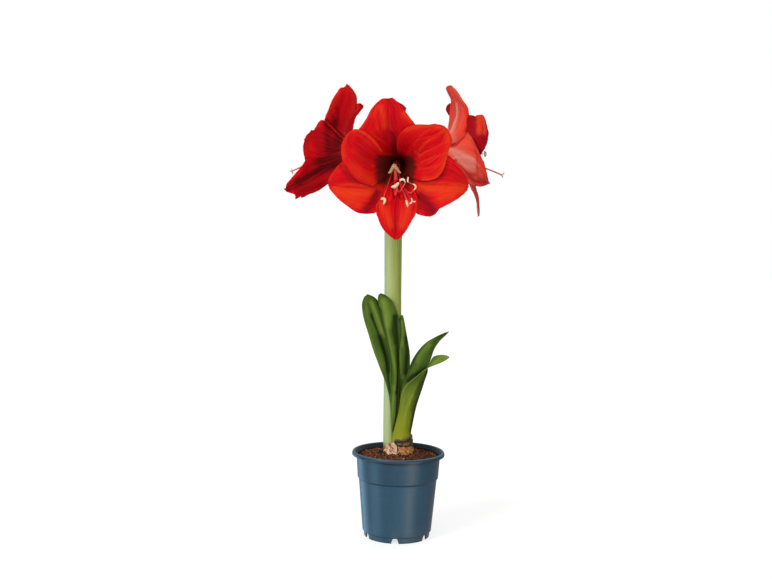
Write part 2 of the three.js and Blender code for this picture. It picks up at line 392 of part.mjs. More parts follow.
const FLOWERS = {
  front: {
    origin: [-10.7, -32.3, 484.8], dir: [0, -0.9962, -0.0872],
    foot: [-13.3, -2.6, 440.4], bend: [[-13, -3.6, 456], [-12.2, -7, 474]], ovary: -17,
    stamens: [[19.8, -22.6, 98, -60], [7.4, -16.2, 90, -20], [-2.8, -3.1, 60, 60], [-15.1, -41, 87, 80], [-1.3, -22.7, 92, 20], [13.4, -43.5, 93, 70]],
    style: [[0, 0, 2.6], [0, -0.6, 24], [-0.3, -3.3, 42], [0.2, -5.8, 54], [9, -26, 86], [18.2, -39.7, 108]],
    tepals: {
      top: [94, true, [
        [7.2, 2.2, -3.2, 0, 0, 0],
        [11, 4.3, -5.5, 0, 0, 0],
        [16, 10.4, -10.1, 0, 0, 0],
        [27.7, 23.4, -22.6, 0, 0, 0],
        [38.7, 42.6, -28, -0.2, -0.2, -0.2],
        [49, 40.7, -23.6, -1, -1, -1],
        [58.5, 33, -16.6, -2.4, -2.4, -2.4],
        [66.8, 27.2, -12.4, -4.4, -4.4, -4.4],
        [73.8, 20.4, -6.9, -6.6, -6.6, -6.6],
        [78.3, 12.9, -0.5, -8.4, -8.4, -8.4],
        [79.8, 3.9, 1.5, -9, -9, -9],
      ]],
      upper_left: [162, false, [
        [7.2, 1.2, -4.2, 0, 0, 0],
        [11, 3.1, -6.7, 0, 0, 0],
        [16, 12.3, -10.2, 0, 0, 0],
        [25.9, 28.1, -14.9, 0, 0, 0],
        [35.1, 33.3, -19, -0.1, -0.1, -0.1],
        [43.8, 30.9, -22.1, -0.5, -0.5, -0.5],
        [51.7, 25.9, -24, -1.1, -1.1, -1.1],
        [58.8, 20, -23.9, -2, -2, -2],
        [64.7, 12.5, -20.2, -2.9, -2.9, -2.9],
        [68.5, 5.8, -12.9, -3.7, -3.7, -3.7],
        [70, 4.6, 2.2, -4, -4, -4],
      ]],
      upper_right: [24, false, [
        [7.2, 3.5, -1.9, 0, 0, 0],
        [11, 5.8, -4, 0, 0, 0],
        [16, 14.8, -13.2, 0, 0, 0],
        [26.2, 29.8, -29, 0, 0, 0],
        [35.9, 35.6, -30.5, -0.1, -0.1, -0.1],
        [44.9, 33.1, -27, -0.3, -0.3, -0.3],
        [53.2, 29.7, -20.3, -0.8, -0.8, -0.8],
        [60.5, 26.8, -12, -1.5, -1.5, -1.5],
        [66.6, 22.4, -4.8, -2.2, -2.2, -2.2],
        [70.5, 16.1, 2.2, -2.8, -2.8, -2.8],
        [72, 10.1, 7.7, -3, -3, -3],
      ]],
      lower_left: [197, true, [
        [7.2, 4.3, -1.1, 0, 0, 0],
        [11, 6.9, -2.9, 0, 0, 0],
        [16, 13.8, -6.2, 0, 0, 0],
        [28.7, 28.5, -8, 0, 0, 0],
        [40.8, 44.1, -11.1, -0.1, -0.1, -0.1],
        [52, 44.3, -18.3, -0.8, -0.8, -0.8],
        [62.2, 40.4, -21.9, -2.1, -2.1, -2.1],
        [71.3, 29.8, -18.8, -3.9, -3.9, -3.9],
        [78.9, 16.1, -11.7, -5.9, -5.9, -5.9],
        [83.9, 7.1, -3.2, -7.5, -7.5, -7.5],
        [85.4, 4.4, 2, -8, -8, -8],
      ]],
      lower_right: [-15, true, [
        [7.2, 0.8, -4.6, 0, 0, 0],
        [11, 2.6, -7.2, 0, 0, 0],
        [16, 6.4, -14.6, 0, 0, 0],
        [29.5, 10.8, -31.5, 0, 0, 0],
        [42.2, 21.4, -44.6, -0.1, -0.1, -0.1],
        [54.1, 28.2, -45.2, -0.7, -0.7, -0.7],
        [65, 26.7, -33.3, -1.8, -1.8, -1.8],
        [74.6, 21.1, -22.8, -3.4, -3.4, -3.4],
        [82.7, 13.4, -14.1, -5.2, -5.2, -5.2],
        [87.9, 5.4, -4.4, -6.6, -6.6, -6.6],
        [89.4, 1.6, -0.8, -7, -7, -7],
      ]],
      bottom: [-90, false, [
        [7.2, 2.7, -2.7, 0, 0, 0],
        [11, 4.9, -4.9, 0, 0, 0],
        [16, 11.3, -9, 0, 0, 0],
        [29.2, 21, -16, 0, 0, 0],
        [41.6, 24.6, -22.3, 0, 0, 0],
        [53.2, 23.8, -23.8, -0.3, -0.3, -0.3],
        [63.8, 19.1, -19.5, -0.8, -0.8, -0.8],
        [73.3, 13.6, -13.7, -1.4, -1.4, -1.4],
        [81.1, 8.7, -7.5, -2.2, -2.2, -2.2],
        [86.2, 4.3, -2.7, -2.8, -2.8, -2.8],
        [87.7, 1.9, -0.5, -3, -3, -3],
      ]],
    },
  },
  left: {
    origin: [-30, 20, 503], dir: [-0.87, 0.49, -0.03],
    foot: [-18.4, 7.2, 440.4], bend: [[-19.2, 8.4, 458], [-20.2, 11.4, 480], [-18.6, 13.6, 494]], ovary: -10,
    stamens: [[12, 2, 96, 60], [1, 8, 104, 20], [-9, -4, 108, -20], [-12, -24, 98, 80], [2, -27, 112, -60], [13, -18, 102, 70]],
    style: [[0, 0, 2.6], [0, 0, 26], [0, 0.5, 60], [-1, -5, 100], [0, -18.3, 143]],
    tepals: {
      top: [90, true, [
        [7.2, 2.7, -2.7, 0, 0, 0],
        [11, 4.9, -4.9, 0, 0, 0],
        [16, 9.2, -9.2, 0, 0, 0],
        [30.4, 16.2, -19.8, -3, -3, -3],
        [41.4, 22.1, -27.2, -13.8, -13.8, -13.8],
        [52.4, 25, -31.2, -22.4, -22.4, -22.4],
        [63.5, 25.5, -32.5, -28.9, -28.9, -28.9],
        [72.7, 22, -29.1, -32.8, -32.8, -32.8],
        [81, 15.3, -21.8, -34.9, -34.9, -34.9],
        [87.4, 7.7, -13.2, -35.8, -35.8, -35.8],
        [92, -1, -3.3, -36, -36, -36],
      ]],
      near_upper: [20, false, [
        [7.2, 4, -1.4, 0, 0, 0],
        [11, 6.4, -3.4, 0, 0, 0],
        [16, 10.6, -7.8, 0, 0, 0],
        [20.8, 18.8, -19.7, 0, 0, 0],
        [28.4, 24.9, -27.6, 0, 0, 0],
        [35.9, 28.3, -31.3, -0.1, -0.1, -0.1],
        [43.5, 28.9, -31.9, -0.2, -0.2, -0.2],
        [49.8, 25.2, -27.8, -0.3, -0.3, -0.3],
        [55.4, 18.1, -20, -0.6, -0.6, -0.6],
        [59.8, 10.1, -11.2, -0.8, -0.8, -0.8],
        [63, 1.2, -1.3, -1, -1, -1],
      ]],
      near_lower: [-32.5, true, [
        [7.2, 3, -2.4, 0, 0, 0],
        [11, 5.3, -4.5, 0, 0, 0],
        [16, 9.5, -8.9, 0, 0, 0],
        [29.7, 13.4, -18.8, 0, 0, 0],
        [40.5, 17.4, -25.3, 0, 0, 0],
        [51.3, 18.3, -27, 0.2, 0.2, 0.2],
        [62.1, 16.5, -25.3, 1.3, 1.3, 1.3],
        [71.1, 12.4, -20.2, 4, 4, 4],
        [79.2, 7.1, -13.6, 9.4, 9.4, 9.4],
        [85.5, 2.5, -7.8, 16.6, 16.6, 16.6],
        [90, -1.1, -3.3, 24, 24, 24],
      ]],
      bottom: [-84, false, [
        [7.2, 1.9, -3.5, 0, 0, 0],
        [11, 4, -5.8, 0, 0, 0],
        [16, 8.4, -10, 0, 0, 0],
        [18.5, 12.1, -12.7, 2.9, 2.9, 2.9],
        [25.2, 17, -17, 13, 13, 13],
        [31.9, 19.4, -19.4, 21.4, 21.4, 21.4],
        [38.6, 20, -20, 28, 28, 28],
        [44.2, 17.6, -17.6, 32.3, 32.3, 32.3],
        [49.3, 12.8, -12.8, 35.3, 35.3, 35.3],
        [53.2, 7.2, -7.2, 37, 37, 37],
        [56, 1.1, -1.1, 38, 38, 38],
      ]],
      far_lower: [210, true, [
        [7.2, 2.7, -2.7, 0, 0, 0],
        [11, 4.9, -4.9, 0, 0, 0],
        [16, 9.2, -9.2, 0, 0, 0],
        [27.1, 18.6, -18.6, 0, 0, 0],
        [36.9, 25.5, -25.5, 0, 0, 0],
        [46.7, 29.1, -29.1, 0, 0, 0],
        [56.6, 30, -30, 0, 0, 0],
        [64.8, 26.4, -26.4, 0, 0, 0],
        [72.2, 19.2, -19.2, 0, 0, 0],
        [77.9, 10.8, -10.8, 0, 0, 0],
        [82, 1.2, -1.2, 0, 0, 0],
      ]],
      far_upper: [126, false, [
        [7.2, 5.7, 0.3, 0, 0, 0],
        [11, 8.6, -1.2, 0, 0, 0],
        [16, 12.6, -5.8, 0, 0, 0],
        [27.7, 14.1, -10.7, -0.8, -0.8, -0.8],
        [37.8, 16.5, -16.5, -4, -4, -4],
        [47.9, 17.8, -17.8, -7.5, -7.5, -7.5],
        [58, 16.9, -16.9, -11.8, -11.8, -11.8],
        [66.4, 13.5, -13.5, -16.6, -16.6, -16.6],
        [73.9, 8.9, -8.9, -22.2, -22.2, -22.2],
        [79.8, 4.6, -4.6, -27.6, -27.6, -27.6],
        [84, 1.1, -1.1, -32, -32, -32],
      ]],
    },
  },
  right: {
    origin: [4, 20, 506], dir: [0.87, 0.49, -0.03],
    foot: [-8.2, 7.4, 440.4], bend: [[-7.4, 8.6, 458], [-6.2, 11.6, 482], [-7.4, 13.8, 496]], ovary: -10,
    stamens: [[11, 3, 110, 60], [-3, 6, 121, 20], [-5, -7, 117, -20], [-15, -20, 106, 80], [2, -27, 104, -60], [13, -16, 108, 70]],
    style: [[0, 0, 2.6], [0, 0, 26], [-1.5, -1, 60], [-9.5, -14.1, 118], [-15, -21.5, 142.6]],
    tepals: {
      top: [90, true, [
        [7.2, 2.7, -2.7, 0, 0, 0],
        [11, 4.9, -4.9, 0, 0, 0],
        [16, 9.2, -9.2, 0, 0, 0],
        [30.4, 14.3, -14.3, -0.6, -0.6, -0.6],
        [41.4, 19.6, -19.6, -2.9, -2.9, -2.9],
        [52.4, 22.3, -22.3, -5.6, -5.6, -5.6],
        [63.5, 23, -23, -9.3, -9.3, -9.3],
        [72.7, 20.2, -20.2, -13.6, -13.6, -13.6],
        [81, 14.7, -14.7, -18.7, -18.7, -18.7],
        [87.4, 8.3, -8.3, -23.8, -23.8, -23.8],
        [92, 1.1, -1.1, -28, -28, -28],
      ]],
      near_upper: [151, false, [
        [7.2, 2.6, -2.8, 0, 0, 0],
        [11, 4.7, -5.1, 0, 0, 0],
        [16, 9.1, -9.3, 0, 0, 0],
        [24.4, 17.6, -19.6, -0.2, -0.2, -0.2],
        [33.3, 24.2, -26.8, -0.8, -0.8, -0.8],
        [42.2, 27.6, -30.6, -1.5, -1.5, -1.5],
        [51.1, 28.5, -31.5, -2.3, -2.3, -2.3],
        [58.5, 25.1, -27.7, -3.2, -3.2, -3.2],
        [65.1, 18.2, -20.2, -4.2, -4.2, -4.2],
        [70.3, 10.3, -11.3, -5.2, -5.2, -5.2],
        [74, 1.1, -1.3, -6, -6, -6],
      ]],
      near_lower: [201, true, [
        [7.2, 3.8, -1.6, 0, 0, 0],
        [11, 6.3, -3.5, 0, 0, 0],
        [16, 10.5, -7.9, 0, 0, 0],
        [26.7, 14.9, -24.7, 0, 0, 0],
        [36.5, 19.5, -32.9, 0, 0, 0],
        [46.2, 21.9, -33.2, -0.2, -0.2, -0.2],
        [55.9, 22.4, -27.8, -0.7, -0.7, -0.7],
        [64, 20.7, -17.7, -1.4, -1.4, -1.4],
        [71.3, 18.2, -5.7, -2.3, -2.3, -2.3],
        [77, 16.3, 4.6, -3.2, -3.2, -3.2],
        [81, 14.9, 12.4, -4, -4, -4],
      ]],
      bottom: [-90, false, [
        [7.2, 2.7, -2.7, 0, 0, 0],
        [11, 4.9, -4.9, 0, 0, 0],
        [16, 9.2, -9.2, 0, 0, 0],
        [27.1, 6.2, -6.2, 2.1, 2.1, 2.1],
        [36.9, 8.5, -8.5, 9.6, 9.6, 9.6],
        [46.7, 9.7, -9.7, 15.7, 15.7, 15.7],
        [56.6, 10, -10, 20.4, 20.4, 20.4],
        [64.8, 8.8, -8.8, 23.4, 23.4, 23.4],
        [72.2, 6.4, -6.4, 25.4, 25.4, 25.4],
        [77.9, 3.6, -3.6, 26.5, 26.5, 26.5],
        [82, 1.1, -1.1, 27, 27, 27],
      ]],
      far_lower: [-30, true, [
        [7.2, 2.7, -2.7, 0, 0, 0],
        [11, 4.9, -4.9, 0, 0, 0],
        [16, 9.2, -9.2, 0, 0, 0],
        [26.4, 18.6, -18.6, 0, 0, 0],
        [36, 25.5, -25.5, 0, 0, 0],
        [45.6, 29.1, -29.1, 0, 0, 0],
        [55.2, 30, -30, 0, 0, 0],
        [63.2, 26.4, -26.4, 0, 0, 0],
        [70.4, 19.2, -19.2, 0, 0, 0],
        [76, 10.8, -10.8, 0, 0, 0],
        [80, 1.2, -1.2, 0, 0, 0],
      ]],
      far_upper: [60, false, [
        [7.2, -1.1, -6.5, 0, 0, 0],
        [11, 0.3, -9.5, 0, 0, 0],
        [16, 5, -13.4, 0, 0, 0],
        [27.7, 8.9, -13.3, 0, 0, 0],
        [37.8, 14.9, -14.9, 0, 0, 0],
        [47.9, 16, -16, -0.2, -0.2, -0.2],
        [58, 15.2, -15.2, -0.7, -0.7, -0.7],
        [66.4, 12.2, -12.2, -1.4, -1.4, -1.4],
        [73.9, 8, -8, -2.3, -2.3, -2.3],
        [79.8, 4.1, -4.1, -3.2, -3.2, -3.2],
        [84, 1.1, -1.1, -4, -4, -4],
      ]],
    },
  },
};

for (const [tag, fl] of Object.entries(FLOWERS)) {
  const f = frame(fl.origin, fl.dir);
  for (const [name, [phi, outer, rows]] of Object.entries(fl.tepals))
    add(`${tag}_tepal_${name}`, sheet(tepal(f, phi, rows, outer, 11, 5), PETAL_T), M.petal());

  // pedicel, ovary and short flower tube, grown as one piece
  const o = fl.ovary, [fx, fy] = fl.foot;
  const path = [[fx, fy, PEDICEL_Z], [fx, fy, PEDICEL_Z + 5.5], ...fl.bend, ...[0, 0.35, 0.7, 1].map((q) => place(f, [0, 0, o + (1 - o) * q]))];
  const rr = [4.6, 4.5, ...fl.bend.map(() => 4.3), 5.0, 6.8, 6.9, 6.0];
  let stalk = solid(rod(path, rr, 10, 2 * path.length - 1));
  const cup = turned([[0, -1], [6.0, -1], [6.5, 6], [8.1, 12], [7.2, 12], [5.3, 6], [4.9, 2.2], [0, 2.2]], 14);
  const m4 = new THREE.Matrix4().makeBasis(f.u, f.v, f.w).setPosition(...fl.origin);
  cup.applyMatrix4(m4);
  stalk = stalk.add(solid(cup));
  // the bore of the tube
  const bore = turned([[0, 2.2], [4.9, 2.2], [5.3, 6], [7.2, 12], [7.2, 14], [0, 14]], 14);
  bore.applyMatrix4(m4);
  stalk = stalk.subtract(solid(bore));
  add(`${tag}_pedicel_ovary`, fromSolid(stalk), M.stalk());

  // six filaments on a small collar, each with an anther across its end
  const collar = turned([[2.3, 2.6], [4.4, 2.6], [4.4, 5], [2.3, 5], [2.3, 2.6]], 12);
  collar.applyMatrix4(m4);
  let stamens = solid(collar);
  fl.stamens.forEach(([x, y, w, tilt], k) => {
    const a = THREE.MathUtils.degToRad(60 * k + 30), cx = Math.cos(a), sy = Math.sin(a);
    const pts = [
      [3.3 * cx, 3.3 * sy, 4], [3.8 * cx, 3.8 * sy - 0.4, 24],
      [x * 0.25 + 3.2 * cx, y * 0.25 + 3.2 * sy - 0.8, 24 + (w - 24) * 0.42],
      [x * 0.72 + 0.8 * cx, y * 0.66 + 0.5 * sy, 24 + (w - 24) * 0.8], [x, y, w],
    ].map((p) => place(f, p));
    stamens = stamens.add(solid(rod(pts, [0.9, 0.85, 0.8, 0.75, 0.7], 4, 8)));
    const an = new THREE.SphereGeometry(1, 6, 4);
    an.scale(4.2, 1.5, 1.5);
    an.rotateZ(THREE.MathUtils.degToRad(tilt));
    an.applyMatrix4(new THREE.Matrix4().makeBasis(f.u, f.v, f.w).setPosition(f.at(x, y, w + 0.8)));
    stamens = stamens.add(solid(an));
  });
  add(`${tag}_stamens`, fromSolid(stamens), M.stamen());

  // style with three stigma lobes
  const sp = fl.style.map((p) => place(f, p));
  let pistil = solid(rod(sp, sp.map((_, i) => 1.3 - 0.12 * i), 5, 11));
  const end = sp[sp.length - 1], before = sp[sp.length - 2];
  const d = V(...end).sub(V(...before)).normalize();
  const e1 = V(0, 0, 1).addScaledVector(d, -d.z).normalize(), e2 = d.clone().cross(e1);
  for (let k = 0; k < 3; k++) {
    const a = (2 * Math.PI * k) / 3 + 0.5;
    const o = e1.clone().multiplyScalar(Math.cos(a)).addScaledVector(e2, Math.sin(a));
    const lobe = [0, 1, 2].map((i) => V(...end).addScaledVector(o, [0, 2.0, 4.2][i]).addScaledVector(d, [-0.6, 1.2, 1.0][i]).toArray());
    pistil = pistil.add(solid(rod(lobe, [0.8, 0.85, 0.6], 4, 3)));
  }
  add(`${tag}_pistil`, fromSolid(pistil), M.pistil());
}

// ---------------------------------------------------------------- withered spathe bracts under the flowers
const BRACTS = {
  spathe_bract_1: [
    [-7.8, -6.9, 437, -10.3, -7.8, 437, -13.2, -8.2, 437], [-3.4, -11.2, 431, -9.6, -13.4, 432, -15.8, -11.8, 431],
    [-2.2, -13.2, 422, -9.2, -16.2, 422, -16.4, -13.6, 422], [-3.2, -14.0, 411, -8.9, -16.8, 411, -15.0, -14.2, 411],
    [-5.4, -14.4, 402, -8.6, -15.8, 402, -11.8, -14.6, 402], [-7.9, -14.8, 396, -8.4, -15.0, 396, -9.0, -14.8, 396],
  ],
  spathe_bract_2: [
    [-18.9, 15.2, 437, -15.9, 16.3, 437, -12.5, 16.6, 437], [-23.2, 18.8, 431, -16.8, 22.4, 432, -10.2, 20.2, 431],
    [-24.0, 20.4, 422, -17.2, 24.8, 422, -10.0, 21.8, 422], [-23.0, 21.4, 411, -17.4, 25.0, 411, -11.4, 22.4, 411],
    [-20.4, 22.0, 401, -17.4, 23.8, 401, -14.2, 22.6, 401], [-18.0, 22.6, 394, -17.5, 22.8, 394, -16.9, 22.6, 394],
  ],
};
for (const [name, rows] of Object.entries(BRACTS)) add(name, sheet(blade(rows, 7, 5), 0.8), M.spathe());

export default root;
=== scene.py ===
"""Looks of the amaryllis in a pot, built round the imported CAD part. Lengths inside the builders are millimetres in the pot's frame."""
import math

import bmesh
import bpy
import numpy as np
from mathutils import Matrix, Vector


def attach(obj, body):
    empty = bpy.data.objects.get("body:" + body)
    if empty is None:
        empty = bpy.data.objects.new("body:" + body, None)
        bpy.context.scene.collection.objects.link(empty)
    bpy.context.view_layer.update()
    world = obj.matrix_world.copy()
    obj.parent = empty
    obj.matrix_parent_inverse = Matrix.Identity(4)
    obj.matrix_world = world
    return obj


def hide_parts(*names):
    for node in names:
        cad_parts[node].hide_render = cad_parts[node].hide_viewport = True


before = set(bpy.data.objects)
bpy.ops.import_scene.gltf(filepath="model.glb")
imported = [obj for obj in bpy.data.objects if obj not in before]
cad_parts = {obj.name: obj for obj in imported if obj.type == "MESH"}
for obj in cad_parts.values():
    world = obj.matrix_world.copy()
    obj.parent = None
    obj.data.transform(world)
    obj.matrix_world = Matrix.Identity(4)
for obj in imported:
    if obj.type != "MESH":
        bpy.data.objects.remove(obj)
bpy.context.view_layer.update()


POT = np.array([11.2, 7.6, 0.0])  # the pot's axis from the origin, mm
PI = math.pi

# ------------------------------------------------------------------ small maths


def smooth(a, b, x):
    t = np.clip((np.asarray(x, float) - a) / (b - a), 0, 1)
    return t * t * (3 - 2 * t)


def bump(a, b, c, d, x):
    """0 before a, 1 from b to c, 0 after d"""
    return smooth(a, b, x) * (1 - smooth(c, d, x))


def unit(v):
    v = np.asarray(v, float)
    return v / np.maximum(np.linalg.norm(v, axis=-1, keepdims=True), 1e-12)


def curve_rows(rows, n):
    """Catmull-Rom through the rows of a table, read at n places"""
    P = np.asarray(rows, float)
    k = len(P)
    x = np.linspace(0, k - 1, n)
    j = np.minimum(x.astype(int), k - 2)
    f = (x - j)[:, None]
    p1, p2 = P[j], P[j + 1]
    p0 = np.where((j > 0)[:, None], P[np.maximum(j - 1, 0)], 2 * p1 - p2)
    p3 = np.where((j + 2 < k)[:, None], P[np.minimum(j + 2, k - 1)], 2 * p2 - p1)
    return 0.5 * (2 * p1 + (p2 - p0) * f + (2 * p0 - 5 * p1 + 4 * p2 - p3) * f**2 + (3 * p1 - p0 - 3 * p2 + p3) * f**3)


def wob(P, scale, seed, waves=14):
    """smooth irregular field from -1 to 1 at points P, features about scale long"""
    P = np.asarray(P, float)
    r = np.random.default_rng(seed)
    K = unit(r.normal(size=(waves, P.shape[-1]))) * (2 * PI / scale) * r.uniform(0.6, 1.6, (waves, 1))
    ph = r.uniform(0, 2 * PI, waves)
    return np.sin(P @ K.T + ph).sum(-1) / (0.7071 * math.sqrt(waves)) * 0.5


def wave(x, seed, freqs=(1, 2, 3.3, 5.1), decay=0.7):
    """irregular 1-D wave from about -1 to 1"""
    r = np.random.default_rng(seed)
    out = np.zeros_like(np.asarray(x, float))
    total = 0.0
    for i, f in enumerate(freqs):
        a = decay**i
        out = out + a * np.sin(2 * PI * f * x + r.uniform(0, 2 * PI))
        total += a
    return out / total


# ------------------------------------------------------------------ meshes


def mesh(name, V, polys, attrs=None, node=None, slot=None, mats=(), index=None, sharp=None):
    """one piece: V in mm in the pot's frame, polys a list of index arrays, attrs name -> values per vertex"""
    me = bpy.data.meshes.new(name)
    V = np.asarray(V, float)
    me.vertices.add(len(V))
    me.vertices.foreach_set("co", ((V + POT) * 0.001).astype(np.float32).ravel())
    polys = [np.asarray(p, np.int32) for p in polys if len(p)]
    loops = np.concatenate([p.ravel() for p in polys])
    sizes = np.concatenate([np.full(len(p), p.shape[1], np.int32) for p in polys])
    starts = np.concatenate([[0], np.cumsum(sizes)[:-1]]).astype(np.int32)
    me.loops.add(len(loops))
    me.loops.foreach_set("vertex_index", loops)
    me.polygons.add(len(sizes))
    me.polygons.foreach_set("loop_start", starts)
    if index is not None:
        me.polygons.foreach_set("material_index", np.asarray(index, np.int32))
    me.update(calc_edges=True)
    me.shade_smooth()
    if sharp:
        me.set_sharp_from_angle(angle=math.radians(sharp))
    for key, values in (attrs or {}).items():
        values = np.asarray(values, np.float32)
        kind = "FLOAT" if values.ndim == 1 else "FLOAT_VECTOR"
        a = me.attributes.new(key, kind, "POINT")
        a.data.foreach_set("value" if values.ndim == 1 else "vector", values.ravel())
    for m in mats:
        me.materials.append(m)
    o = bpy.data.objects.new(name, me)
    bpy.context.scene.collection.objects.link(o)
    if node:
        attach(o, "root")
        for n in [node] if isinstance(node, str) else node:
            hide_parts(n)
    return o


class Bag:
    """collects closed bodies that make one piece"""

    def __init__(self):
        self.V, self.P, self.A, self.M, self.n = [], [], {}, [], 0

    def add(self, V, polys, mat=0, **attrs):
        V = np.asarray(V, float).reshape(-1, 3)
        self.V.append(V)
        for p in polys:
            p = np.asarray(p, np.int64)
            if len(p):
                self.P.append(p + self.n)
                self.M.append(np.full(len(p), mat))
        for k, v in attrs.items():
            v = np.asarray(v, float)
            if v.ndim == 0:
                v = np.full(len(V), float(v))
            self.A.setdefault(k, []).append((self.n, v))
        self.n += len(V)

    def build(self, name, **kw):
        V = np.concatenate(self.V)
        attrs = {}
        for k, parts in self.A.items():
            width = next((v.shape[1] for _, v in parts if v.ndim == 2), 0)
            full = np.zeros((len(V), width)) if width else np.zeros(len(V))
            for start, v in parts:
                full[start : start + len(v)] = v
            attrs[k] = full
        quads = [p for p in self.P if p.shape[1] == 4]
        tris = [p for p in self.P if p.shape[1] == 3]
        qm = [m for p, m in zip(self.P, self.M) if p.shape[1] == 4]
        tm = [m for p, m in zip(self.P, self.M) if p.shape[1] == 3]
        polys = ([np.concatenate(quads)] if quads else []) + ([np.concatenate(tris)] if tris else [])
        index = np.concatenate(qm + tm)
        return mesh(name, V, polys, attrs=attrs, index=index, **kw)


def grid_normals(G):
    a = np.gradient(G, axis=0)
    b = np.gradient(G, axis=1)
    return unit(np.cross(a, b))


def sheet(G, th, U=None):
    """a closed thin solid on both sides of grid G; th is the thickness at each point. Returns V, polys and the side of each vertex (1 on +normal)"""
    n, m = G.shape[:2]
    N = grid_normals(G)
    th = np.broadcast_to(np.asarray(th, float), (n, m))[..., None]
    V = np.concatenate([(G + N * th / 2).reshape(-1, 3), (G - N * th / 2).reshape(-1, 3)])
    T = np.arange(n * m).reshape(n, m)
    B = T + n * m

    def quad(a, b, c, d):
        return np.stack([a.ravel(), b.ravel(), c.ravel(), d.ravel()], -1)

    P = [
        quad(T[:-1, :-1], T[1:, :-1], T[1:, 1:], T[:-1, 1:]),
        quad(B[:-1, :-1], B[:-1, 1:], B[1:, 1:], B[1:, :-1]),
        quad(T[:-1, 0], B[:-1, 0], B[1:, 0], T[1:, 0]),
        quad(T[:-1, -1], T[1:, -1], B[1:, -1], B[:-1, -1]),
        quad(T[0, :-1], T[0, 1:], B[0, 1:], B[0, :-1]),
        quad(T[-1, :-1], B[-1, :-1], B[-1, 1:], T[-1, 1:]),
    ]
    side = np.concatenate([np.ones(n * m), np.zeros(n * m)])
    return V, P, side


def tube(path, radii, sides, samples, shape=None, up=None, caps=True):
    """a closed rod along a smooth path. shape(angle, s) scales the radius. Returns V, polys, s (0 to 1 along) and angle per vertex"""
    R = curve_rows([[*p, r] for p, r in zip(path, radii)], samples)
    C, rad = R[:, :3], R[:, 3]
    T = unit(np.gradient(C, axis=0))
    x = np.array(up, float) if up is not None else (np.array([1.0, 0, 0]) if abs(T[0][0]) < 0.9 else np.array([0, 1.0, 0]))
    ang = np.arange(sides) * 2 * PI / sides
    V = np.zeros((samples, sides, 3))
    for i in range(samples):
        x = x - T[i] * (x @ T[i])
        x = x / np.linalg.norm(x)
        y = np.cross(T[i], x)
        k = rad[i] * (shape(ang, i / (samples - 1)) if shape else 1.0) * np.ones(sides)
        V[i] = C[i] + np.outer(k * np.cos(ang), x) + np.outer(k * np.sin(ang), y)
    idx = np.arange(samples * sides).reshape(samples, sides)
    nxt = np.roll(idx, -1, axis=1)
    quads = np.stack([idx[:-1], nxt[:-1], nxt[1:], idx[1:]], -1).reshape(-1, 4)
    Vf = V.reshape(-1, 3)
    s = np.repeat(np.linspace(0, 1, samples), sides)
    a = np.tile(ang, samples)
    polys = [quads]
    if caps:
        c0 = len(Vf)
        Vf = np.concatenate([Vf, C[:1], C[-1:]])
        polys.append(np.stack([np.full(sides, c0), nxt[0], idx[0]], -1))
        polys.append(np.stack([np.full(sides, c0 + 1), idx[-1], nxt[-1]], -1))
        s = np.concatenate([s, [0, 1]])
        a = np.concatenate([a, [0, 0]])
    return Vf, polys, s, a


def turned(profile, sides, fn=None):
    """a body of revolution about Z. The profile runs from axis to axis. fn(r, z, angle) may change r and z. Returns V, polys, profile position, angle"""
    prof = np.asarray(profile, float)
    k = len(prof)
    ang = np.arange(sides) * 2 * PI / sides
    start, end = prof[0][0] < 1e-9, prof[-1][0] < 1e-9
    mid = prof[1 if start else 0 : k - 1 if end else k]
    r = np.repeat(mid[:, :1], sides, 1)
    z = np.repeat(mid[:, 1:2], sides, 1)
    A = np.repeat(ang[None], len(mid), 0)
    if fn:
        r, z = fn(r, z, A)
    V = np.stack([r * np.cos(A), r * np.sin(A), z], -1).reshape(-1, 3)
    idx = np.arange(len(mid) * sides).reshape(len(mid), sides)
    nxt = np.roll(idx, -1, axis=1)
    quads = np.stack([idx[:-1], nxt[:-1], nxt[1:], idx[1:]], -1).reshape(-1, 4)
    polys = [quads]
    pos = np.repeat(np.arange(len(mid)) / max(len(mid) - 1, 1), sides)
    a = A.ravel()
    if start:
        V = np.concatenate([V, [[0, 0, prof[0][1]]]])
        polys.append(np.stack([np.full(sides, len(V) - 1), nxt[0], idx[0]], -1))
        pos, a = np.append(pos, 0), np.append(a, 0)
    if end:
        V = np.concatenate([V, [[0, 0, prof[-1][1]]]])
        polys.append(np.stack([np.full(sides, len(V) - 1), idx[-1], nxt[-1]], -1))
        pos, a = np.append(pos, 1), np.append(a, 0)
    return V, polys, pos, a


def rounded(points, r, steps=4):
    """a profile with its corners rounded"""
    P = [np.array(p, float) for p in points]
    out = [P[0]]
    for i in range(1, len(P) - 1):
        a, b, c = P[i - 1], P[i], P[i + 1]
        rr = r[i] if isinstance(r, dict) and i in r else (r.get("all", 0.4) if isinstance(r, dict) else r)
        d = min(rr, np.linalg.norm(a - b) * 0.45, np.linalg.norm(c - b) * 0.45)
        p, q = b + unit(a - b) * d, b + unit(c - b) * d
        for t in np.linspace(0, 1, steps):
            out.append((1 - t) ** 2 * p + 2 * t * (1 - t) * b + t * t * q)
    out.append(P[-1])
    return np.array(out)


def clean(o, angle=None):
    """merges doubles and turns the faces outward"""
    bm = bmesh.new()
    bm.from_mesh(o.data)
    bmesh.ops.remove_doubles(bm, verts=bm.verts, dist=1e-6)
    bmesh.ops.recalc_face_normals(bm, faces=bm.faces)
    bm.to_mesh(o.data)
    bm.free()
    o.data.shade_smooth()
    if angle:
        o.data.set_sharp_from_angle(angle=math.radians(angle))


def outward(V, polys):
    """the same polys, turned if the body is inside out"""
    vol = 0.0
    for p in polys:
        for k in range(1, p.shape[1] - 1):
            vol += np.einsum("ij,ij->i", V[p[:, 0]], np.cross(V[p[:, k]], V[p[:, k + 1]])).sum()
    return [p[:, ::-1] for p in polys] if vol < 0 else polys


